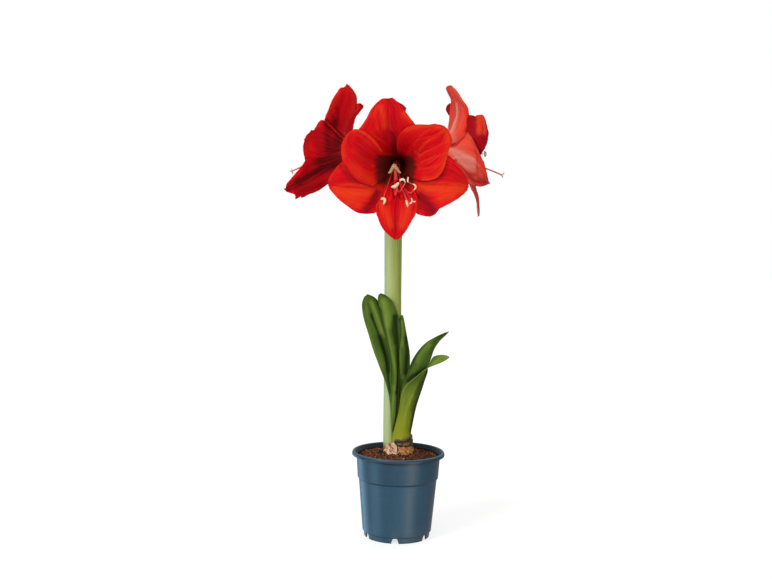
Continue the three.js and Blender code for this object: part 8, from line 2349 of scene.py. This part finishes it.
def build_bulb():
    prof = curve_rows(BULB, 96)
    prof[0, 0] = prof[-1, 0] = 0
    V, P, pos, a = turned(prof, 144, bulb_skin)
    bag = Bag()
    bag.add(V, outward(V, P), st=np.stack([a / (2 * PI) * 4, (V[:, 2] - 90) / 30, 0.3 + 0 * a], -1)[:, [1, 0, 2]])
    # loose papery scales over the shoulder, each a thin curved sheet with torn edges
    r = np.random.default_rng(14)
    prof_z = np.array([p[1] for p in BULB[6:18]])
    prof_r = np.array([p[0] for p in BULB[6:18]])
    scales = [  # middle angle, half span, lowest z, highest z, lift, lean of the sides
        (-2.25, 0.38, 106.1, 118.6, 0.3, 0.3), (-1.98, 0.26, 108.1, 117.8, 1, -0.25), (-2.80, 0.34, 105.1, 116.6, 0.15, 0.15), (-2.15, 0.12, 108.6, 119.2, 1.5, 0.5), (-2.55, 0.1, 107.6, 119, 0.8, 0.4), (-3, 0.13, 107.6, 118.6, 0.5, 0.2),
        (-1.05, 0.46, 106.1, 117.2, 0.5, 0.2), (-0.62, 0.36, 105.6, 115.6, 0.9, -0.2), (-1.4, 0.22, 105.6, 113.2, 1.3, 0.35),
        (-0.15, 0.42, 106.1, 116.4, 0.7, 0.1), (0.45, 0.4, 106.6, 116.8, 0.5, -0.1), (1.05, 0.34, 107.6, 116, 0.9, 0.1), (-1.72, 0.16, 107.6, 114.6, 0.6, 0.5),
    ]
    for i, (am, ha, z0, z1, lift, lean) in enumerate(scales):
        n, m = 34, 30
        q = np.linspace(0, 1, n)[:, None]
        t = np.linspace(-1, 1, m)[None]
        torn_top = 1.1 * wave(t, 200 + i, (1, 2.3, 4.1, 7.7), 0.8)
        torn_low = 0.9 * wave(t, 230 + i, (1, 2.1, 3.7, 6.1), 0.8)
        zz = z0 + torn_low + (z1 - z0 + torn_top - torn_low) * q
        side_l = 0.09 * wave(q, 260 + i, (1.1, 2.7, 5.1))
        side_r = 0.09 * wave(q, 290 + i, (1.3, 2.9, 4.7))
        aa = am + lean * (q - 0.5) * 0.8 + ha * (t + np.where(t > 0, side_l, side_r)) * (1 - 0.35 * (q - 0.35) ** 2 * 2)
        rr = np.interp(zz, prof_z, prof_r)
        r2, z2 = bulb_skin(rr, zz, aa)
        zz = z2
        rr = r2 + 0.35 + lift * (0.30 + 0.7 * q**3 + 0.45 * np.abs(t) ** 4 + 0.5 * (1 - q) ** 5) * 0.8
        rr = rr + 0.22 * np.sin(2 * PI * (4.2 * t + 0.2 * wave(q, 310 + i)))
        G = np.stack([rr * np.cos(aa), rr * np.sin(aa), zz], -1)
        V, P, side = sheet(G, 0.32)
        bag.add(V, outward(V, P), st=np.stack([np.tile((q + 0 * t).ravel(), 2), np.tile((t + 0 * q).ravel(), 2) * ha, np.full(len(V), (0.17 * i) % 1)], -1))
    for i, (am, z0, high, half, out, roll) in enumerate(((-2.62, 117.2, 6.2, 0.075, 1.2, 0.5), (-2.40, 118.0, 4.6, 0.060, 0.8, -0.4), (-2.20, 118.6, 7.4, 0.070, 0.5, 0.3), (-2.02, 118.8, 5.0, 0.055, 0.9, -0.5), (-1.84, 118.0, 6.0, 0.050, 0.4, 0.4), (-2.85, 115.6, 5.0, 0.090, 1.5, 0.6))):
        q = np.linspace(0, 1, 18)[:, None]
        t = np.linspace(-1, 1, 9)[None]
        rr = 18.2 + out * q**1.5 * 1.6 + 0.5 * wave(q, 340 + i) + 0.4 * t * roll
        aa = am + half * t * (1 - 0.75 * q**1.3) + roll * 0.10 * q**2 + 0.02 * wave(q, 350 + i, (1.3, 2.9))
        zz = z0 + high * q + 0.5 * t * roll + 0.4 * wave(t, 360 + i, (1.1, 2.3)) * q
        V, P, side = sheet(np.stack([rr * np.cos(aa), rr * np.sin(aa), zz], -1), 0.3)
        bag.add(V, outward(V, P), st=np.stack([np.tile((q + 0 * t).ravel(), 2), np.tile((t + 0 * q).ravel(), 2) * half, np.full(len(V), (0.23 * i) % 1)], -1))
    bag.build("bulb_skin", node="bulb", slot="bulb", mats=[MATS["bulb"]])


build_bulb()


def build_tunic():
    """dried scale ends that ring the leaf bases in bands, torn along the top"""
    bag = Bag()
    cx, cy, ax, ay = 4.2, -4.5, 12.2, 12.6
    # the lowest band colours, near black and dark olive, are painted shade below and among the scale ends
    parts = [  # middle angle (degrees), half span, radial offset, bottom z, top z, how much the right side rises, flare, colour of the band
        (-80, 62, 0.2, 121.3, 130.1, 4, 0.4, 0.5), (10, 50, 0.2, 121.3, 129.9, 4.6, 0.9, 0.45), (78, 40, 0.3, 120.6, 127.7, 2, 0.6, 0.4),
        (-92, 46, 1, 122.8, 128.1, 2.4, 0.5, 0.02), (-40, 34, 1.1, 123.2, 128.5, 3.6, 0.9, 0.15), (0, 36, 1, 122.4, 128.7, 4.4, 1.0, 0.62),
        (-104, 12, 1.5, 123.4, 125.2, 0.6, 0.3, 0.80), (-66, 20, 1.8, 122.6, 125.8, 1, 0.6, 0.72), (-30, 20, 1.9, 122.8, 126.7, 1.6, 1.1, 0.3),
        (-14, 16, 1.8, 121.6, 125.3, 1.4, 0.9, 0.8), (20, 18, 1.6, 121.4, 126.1, 2, 1.1, 0.1), (-84, 40, 1.5, 121.2, 123.4, 0.6, 0.2, 0), (-45, 30, 2.2, 120.8, 123.2, 0.8, 0.4, 0.04),
    ]
    for i, (am, ha, off, zb, zt, rise, flare, band_tone_and_shade) in enumerate(parts):
        n, m = 22, 44
        q = np.linspace(0, 1, n)[:, None]
        t = np.linspace(-1, 1, m)[None]
        a = np.radians(am + ha * t)
        torn = wave(t, 400 + i, (1.4, 3.1, 5.7, 9.3, 15.1), 0.85)
        ups = rise * smooth(-0.1, 1, np.cos(a))
        top = zt + ups + 0.8 * torn - 1.4 * np.abs(t) ** 5
        zb_ = zb + 0.75 * ups + 0.35 * wave(t, 440 + i, (1.2, 2.9, 4.3, 8.1), 0.8)
        z = zb_ + np.maximum(top - zb_, 0.6) * q
        rad = off + 0.8 * (1 - q) ** 2 + flare * q**3 * (0.6 + 0.4 * wave(t, 430 + i, (1, 2.2))) + 0.20 * np.sin(2 * PI * (5 * t + 0.15 * wave(q, 460 + i))) + 0.15 * wave(q + 0.3 * t, 470 + i, (2, 5))
        G = np.stack([cx + (ax + rad) * np.cos(a), cy + (ay + rad) * np.sin(a), z + 0 * a], -1)
        V, P, side = sheet(G, 0.34)
        bag.add(V, outward(V, P), st=np.stack([np.tile((q + 0 * t).ravel(), 2), np.tile((t + 0 * q).ravel(), 2) * ha / 40, np.full(len(V), band_tone_and_shade)], -1))
    bag.build("neck_tunic_skin", node="neck_tunic", slot="tunic", mats=[MATS["tunic"]])


build_tunic()

# ------------------------------------------------------------------ soil


def soil_height(r):
    return np.interp(r, [0, 17, 20, 28, 38, 48, 53], [113.0, 113.0, 112.3, 109.2, 106.5, 105.3, 105.0])


# the hollow's darkness is painted shade
PIT = (-21.8, 6.0)  # a small dark hollow beside the bulb


def soil_relief(x, y):
    P = np.stack([x, y, 0 * x], -1)
    h = 0.55 * wob(P, 9, 81) + 0.45 * wob(P, 4.2, 82, 24) + 0.25 * wob(P, 2.1, 83, 30)
    return h - 3.6 * np.exp(-((x - PIT[0]) / 3.2) ** 2 - ((y - PIT[1]) / 20.0) ** 2)


def build_soil():
    bag = Bag()
    z0 = 9.15
    low = [[0, z0], [20, z0], [42.0, z0], [43.0, z0 + 1.2], [46.5, 40], [49.2, 74.6], [50.6, 77.4], [52.4, 101]]
    rings = [[r, soil_height(r)] for r in np.linspace(52.9, 18.3, 70)]
    hole = [[18.9, 110.4], [22.0, 107.6], [28.8, 96.8], [33.6, 83], [24.5, 59.6], [14.5, 51.5], [0, 51.5]]
    prof = np.array(low + rings + hole)
    k0, k1 = len(low), len(low) + len(rings)

    def fn(r, z, a):
        top = np.zeros_like(r)
        top[k0 - 1 : k1 - 1] = 1          # rows of the open surface (the first row on the axis isn't in this array)
        x, y = r * np.cos(a), r * np.sin(a)
        fade = 1 - smooth(51.8, 52.9, r)
        return r, z + top * soil_relief(x, y) * fade

    V, P, pos, a = turned(prof, 200, fn)
    r = np.random.default_rng(21)
    # the soil surface is painted darker towards the right, painted shade
    tone = np.clip(0.29 + 0.19 * wob(V, 5, 84, 24) + 0.15 * wob(V, 1.6, 85, 24) - 0.07 * smooth(6, 34, V[:, 0]), 0, 1)
    # the hollow is painted dark, painted shade
    pit_shade = np.exp(-((V[:, 0] - PIT[0]) / 5.0) ** 4 - ((V[:, 1] - PIT[1]) / 25.0) ** 4)
    bag.add(V, outward(V, P), tone=tone * (1 - pit_shade))

    def solid_ball(level):
        bm = bmesh.new()
        bmesh.ops.create_icosphere(bm, subdivisions=level, radius=1)
        v = np.array([x.co[:] for x in bm.verts])
        f = np.array([[q.index for q in p.verts] for p in bm.faces])
        bm.free()
        return v, f

    balls = {1: solid_ball(1), 2: solid_ball(2)}
    count = 0
    for level, number, smallest, largest in ((2, 620, 0.75, 1.7), (1, 2300, 0.35, 0.85)):
        v0, f0 = balls[level]
        for i in range(number):
            rr = math.sqrt(r.uniform(18.0**2, 52.0**2))
            an = r.uniform(0, 2 * PI)
            x, y = rr * math.cos(an), rr * math.sin(an)
            size = smallest + (largest - smallest) * r.random() ** 2.2
            if rr + size > 52.4 or math.hypot(x + 8.3, y - 12.2) < 11.6 + size:
                continue
            if math.hypot((x - PIT[0]) / 4.8, (y - PIT[1]) / 24.0) < 1.0 and r.random() < 0.96:
                continue
            M = np.linalg.qr(r.normal(size=(3, 3)))[0]
            sc = np.array([1.0, r.uniform(0.55, 1.0), r.uniform(0.5, 0.9)]) * size
            v = v0 * (1 + 0.22 * wob(v0, 1.5, 500 + i, 8))[:, None]
            v = (v * sc) @ M.T
            z = float(soil_height(rr) + soil_relief(np.array(x), np.array(y))) + size * r.uniform(0.05, 0.55)
            # crumbs are painted darker towards the right too, painted shade
            tn = np.clip(r.normal(0.51, 0.28), 0.02, 1.0) - 0.07 * float(smooth(6, 34, np.array(x)))
            bag.add(v + [x, y, z], [f0], tone=tn + 0.10 * wob(v, 0.8, 900 + i, 8))
            count += 1
    # fibres and bits of bark
    for i in range(150):
        rr = math.sqrt(r.uniform(18.5**2, 50.0**2))
        an = r.uniform(0, 2 * PI)
        x, y = rr * math.cos(an), rr * math.sin(an)
        if math.hypot(x + 8.3, y - 12.2) < 14:
            continue
        d = r.uniform(0, 2 * PI)
        ln = r.uniform(1.6, 4.6)
        bend = r.uniform(-0.8, 0.8)
        pts = []
        for q in (-1, -0.33, 0.33, 1):
            px = x + q * ln / 2 * math.cos(d) + bend * (1 - q * q) * math.sin(d)
            py = y + q * ln / 2 * math.sin(d) - bend * (1 - q * q) * math.cos(d)
            ph = math.hypot(px, py)
            if ph > 52:
                px, py = px * 52 / ph, py * 52 / ph
            pz = float(soil_height(math.hypot(px, py)) + soil_relief(np.array(px), np.array(py))) + r.uniform(0.25, 0.9)
            pts.append([px, py, pz])
        w = r.uniform(0.12, 0.42)
        v, p, s, a2 = tube(pts, [w * 0.6, w, w, w * 0.5], 6, 9)
        bag.add(v, outward(v, p), tone=float(np.clip(r.normal(0.72, 0.18), 0.1, 1)))
    bag.build("soil_skin", node="soil", slot="soil", mats=[MATS["soil"]])


build_soil()

# ------------------------------------------------------------------ pot


def build_pot():
    top, lip, step, foot = 112.0, 107.0, 77.0, 7.0
    pts = [
        [0, foot + 0.2], [41.4, foot + 0.2], [41.2, 0], [42.8, 0], [43.5, foot], [45.2, foot + 0.8],
        [51.3, step - 1], [52.9, step + 0.6], [55.0, lip + 1.2], [56.2, lip + 2.6], [58.2, lip + 2.2], [58.6, lip],
        [60.7, lip], [60.7, top - 1.8], [59.5, top], [57.1, top], [55.7, top - 2.5],
        [53.5, lip], [51.3, step], [49.8, step - 2.4], [43.7, foot + 2.4], [42.6, foot + 1.8], [0, foot + 1.8],
    ]
    soft = {"all": 0.5, 13: 1.3, 14: 0.9, 15: 0.9, 5: 0.7, 6: 0.8, 7: 0.9, 12: 0.5, 11: 0.35, 8: 1.2, 9: 0.8}
    prof = rounded(pts, soft, 5)
    # extra rings so that the long walls keep their shape after cutting
    full = [prof[0]]
    for a_, b_ in zip(prof[:-1], prof[1:]):
        k = max(1, int(np.linalg.norm(b_ - a_) / 6))
        full += [a_ + (b_ - a_) * (j + 1) / k for j in range(k)]
    full = np.array(full)

    def fn(r, z, a):
        # moulded walls are never quite true: a slight oval and a shallow wave at the rim
        k = 1 + 0.0012 * np.cos(2 * a + 0.7) * smooth(40, 110, z) + 0.0005 * np.cos(5 * a + 1.3) * smooth(60, 110, z)
        return np.minimum(r * k, 60.75), z

    V, P, pos, a = turned(full, 240, fn)
    pot = mesh("pot_skin", V, outward(V, P), mats=[MATS["pot"]])
    cut = Bag()
    for i in range(6):
        an = math.radians(-93.5 + 60 * i)
        R = np.array([[math.cos(an), -math.sin(an), 0], [math.sin(an), math.cos(an), 0], [0, 0, 1]])
        prof2 = rounded([[-5, -1], [-3.9, 3.6], [-2.7, foot - 0.2], [2.7, foot - 0.2], [3.9, 3.6], [5, -1]], 0.9, 4)
        k = len(prof2)
        box = np.array([[x, y_, z_] for x in (37.0, 49.0) for y_, z_ in prof2])
        q = [[j, (j + 1) % k, k + (j + 1) % k, k + j] for j in range(k)]
        v = box @ R.T
        c0, c1 = v[:k].mean(0), v[k:].mean(0)
        v = np.concatenate([v, [c0, c1]])
        t = [[2 * k, (j + 1) % k, j] for j in range(k)] + [[2 * k + 1, k + j, k + (j + 1) % k] for j in range(k)]
        cut.add(v, outward(v, [np.array(q), np.array(t)]))
        ang = np.arange(36) * 2 * PI / 36
        ring = np.stack([34 + 4 * np.cos(ang), 4 * np.sin(ang)], -1)
        v = np.array([[x, y_, z_] for z_ in (4.0, 12.0) for x, y_ in ring]) @ R.T
        v = np.concatenate([v, [v[:36].mean(0), v[36:].mean(0)]])
        q = [[j, (j + 1) % 36, 36 + (j + 1) % 36, 36 + j] for j in range(36)]
        t = [[72, (j + 1) % 36, j] for j in range(36)] + [[73, 36 + j, 36 + (j + 1) % 36] for j in range(36)]
        cut.add(v, outward(v, [np.array(q), np.array(t)]))
    cutter = cut.build("pot_cutter")
    mod = pot.modifiers.new("cut", "BOOLEAN")
    mod.operation = "DIFFERENCE"
    mod.solver = "EXACT"
    mod.object = cutter
    bev = pot.modifiers.new("edge", "BEVEL")
    bev.width = 0.00022
    bev.segments = 2
    bev.limit_method = "ANGLE"
    bev.angle_limit = math.radians(50)
    bpy.context.view_layer.update()
    deps = bpy.context.evaluated_depsgraph_get()
    done = bpy.data.meshes.new_from_object(pot.evaluated_get(deps))
    pot.modifiers.clear()
    pot.data = done
    bpy.data.objects.remove(cutter)
    done.shade_smooth()
    done.set_sharp_from_angle(angle=math.radians(38))
    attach(pot, "root")
    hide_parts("pot")


build_pot()

# ------------------------------------------------------------------ floor, light and camera
scene = bpy.context.scene


def plain_material(name, colour, rough):
    k = Nodes(name)
    k.bsdf.inputs["Base Color"].default_value = (*colour, 1)
    k.bsdf.inputs["Roughness"].default_value = rough
    k.bsdf.inputs["Specular IOR Level"].default_value = 0.2
    return k.m


me = bpy.data.meshes.new("floor")
me.from_pydata([(-8, -8, 0), (8, -8, 0), (8, 8, 0), (-8, 8, 0)], [], [(0, 1, 2, 3)])
floor = bpy.data.objects.new("floor", me)
scene.collection.objects.link(floor)
white = plain_material("floor_white", (0.45, 0.45, 0.45), 0.9)
white.node_tree.nodes["Principled BSDF"].inputs["Emission Color"].default_value = (1, 1, 1, 1)
white.node_tree.nodes["Principled BSDF"].inputs["Emission Strength"].default_value = 0.72
me.materials.append(white)
floor.visible_diffuse = False
floor.visible_glossy = False
floor.visible_shadow = False

world = bpy.data.worlds.new("studio")
scene.world = world
world.use_nodes = True
wt = world.node_tree
wt.nodes.clear()
wo = wt.nodes.new("ShaderNodeOutputWorld")
bg = wt.nodes.new("ShaderNodeBackground")
bg.inputs[0].default_value = (1, 1, 1, 1)
bg.inputs[1].default_value = 0.40
seen = wt.nodes.new("ShaderNodeBackground")
seen.inputs[0].default_value = (1, 1, 1, 1)
seen.inputs[1].default_value = 1.0
path = wt.nodes.new("ShaderNodeLightPath")
mixw = wt.nodes.new("ShaderNodeMixShader")
wt.links.new(path.outputs["Is Camera Ray"], mixw.inputs[0])
wt.links.new(bg.outputs[0], mixw.inputs[1])
wt.links.new(seen.outputs[0], mixw.inputs[2])
wt.links.new(mixw.outputs[0], wo.inputs[0])


def sun(name, towards, strength, softness, colour=(1, 1, 1)):
    """a soft light from far away; towards is the way to the light from the plant"""
    L = bpy.data.lights.new(name, "SUN")
    L.energy = strength
    L.color = colour
    L.angle = math.radians(softness)
    o = bpy.data.objects.new(name, L)
    o.location = Vector(towards).normalized() * 3
    o.rotation_euler = Vector(towards).to_track_quat("Z", "Y").to_euler()
    scene.collection.objects.link(o)
    return o


def towards(azimuth, elevation):
    """azimuth in degrees to the right of the way to the viewer"""
    a, e = math.radians(azimuth), math.radians(elevation)
    return (math.sin(a) * math.cos(e), -math.cos(a) * math.cos(e), math.sin(e))


sun("key", towards(-42, 24), 1.75, 26, (1.0, 0.985, 0.965))
sun("front", towards(4, 12), 0.80, 50, (1.0, 0.99, 0.98))
sun("low", towards(36, -10), 0.55, 50, (1.0, 0.98, 0.97))
sun("back", towards(165, 50), 0.35, 60)


def strip(name, azimuth, height, width, watts, colour):
    """a tall soft box that only shows as a sheen on glossy walls"""
    L = bpy.data.lights.new(name, "AREA")
    L.shape = "RECTANGLE"
    L.size, L.size_y = width, height
    L.energy = watts
    L.color = colour
    o = bpy.data.objects.new(name, L)
    way = Vector(towards(azimuth, -14))
    o.location = Vector((0.0112, 0.0076, 0.06)) + way * 1.6
    o.rotation_euler = way.to_track_quat("Z", "Y").to_euler()
    o.visible_diffuse = False
    o.visible_transmission = False
    o.visible_camera = False
    scene.collection.objects.link(o)


strip("sheen_left", -68, 1.1, 0.75, 8.2, (0.45, 0.78, 1.0))
strip("sheen_edge", -128, 1.1, 0.9, 9.0, (0.35, 0.70, 1.0))
strip("sheen_right", 38, 1.1, 0.42, 5.2, (0.95, 0.92, 0.74))

camera = bpy.data.objects.new("camera", bpy.data.cameras.new("camera"))
scene.collection.objects.link(camera)
scene.camera = camera
camera.data.sensor_width = 36.0
camera.data.lens = 36.0 * 1036.0 / 772.0
camera.data.clip_start = 0.05
camera.data.clip_end = 30
p, r = math.radians(3.22), math.radians(1.2)
fwd = np.array([0, math.cos(p), -math.sin(p)])
r0, u0 = np.array([1.0, 0, 0]), np.array([0, math.sin(p), math.cos(p)])
right = r0 * math.cos(r) + u0 * math.sin(r)
up = -r0 * math.sin(r) + u0 * math.cos(r)
where = (np.array([-20.7, -1350.0, 400.0]) + POT) * 0.001
camera.matrix_world = Matrix(((right[0], up[0], -fwd[0], where[0]), (right[1], up[1], -fwd[1], where[1]), (right[2], up[2], -fwd[2], where[2]), (0, 0, 0, 1)))

scene.view_settings.view_transform = "Standard"
scene.view_settings.look = "None"
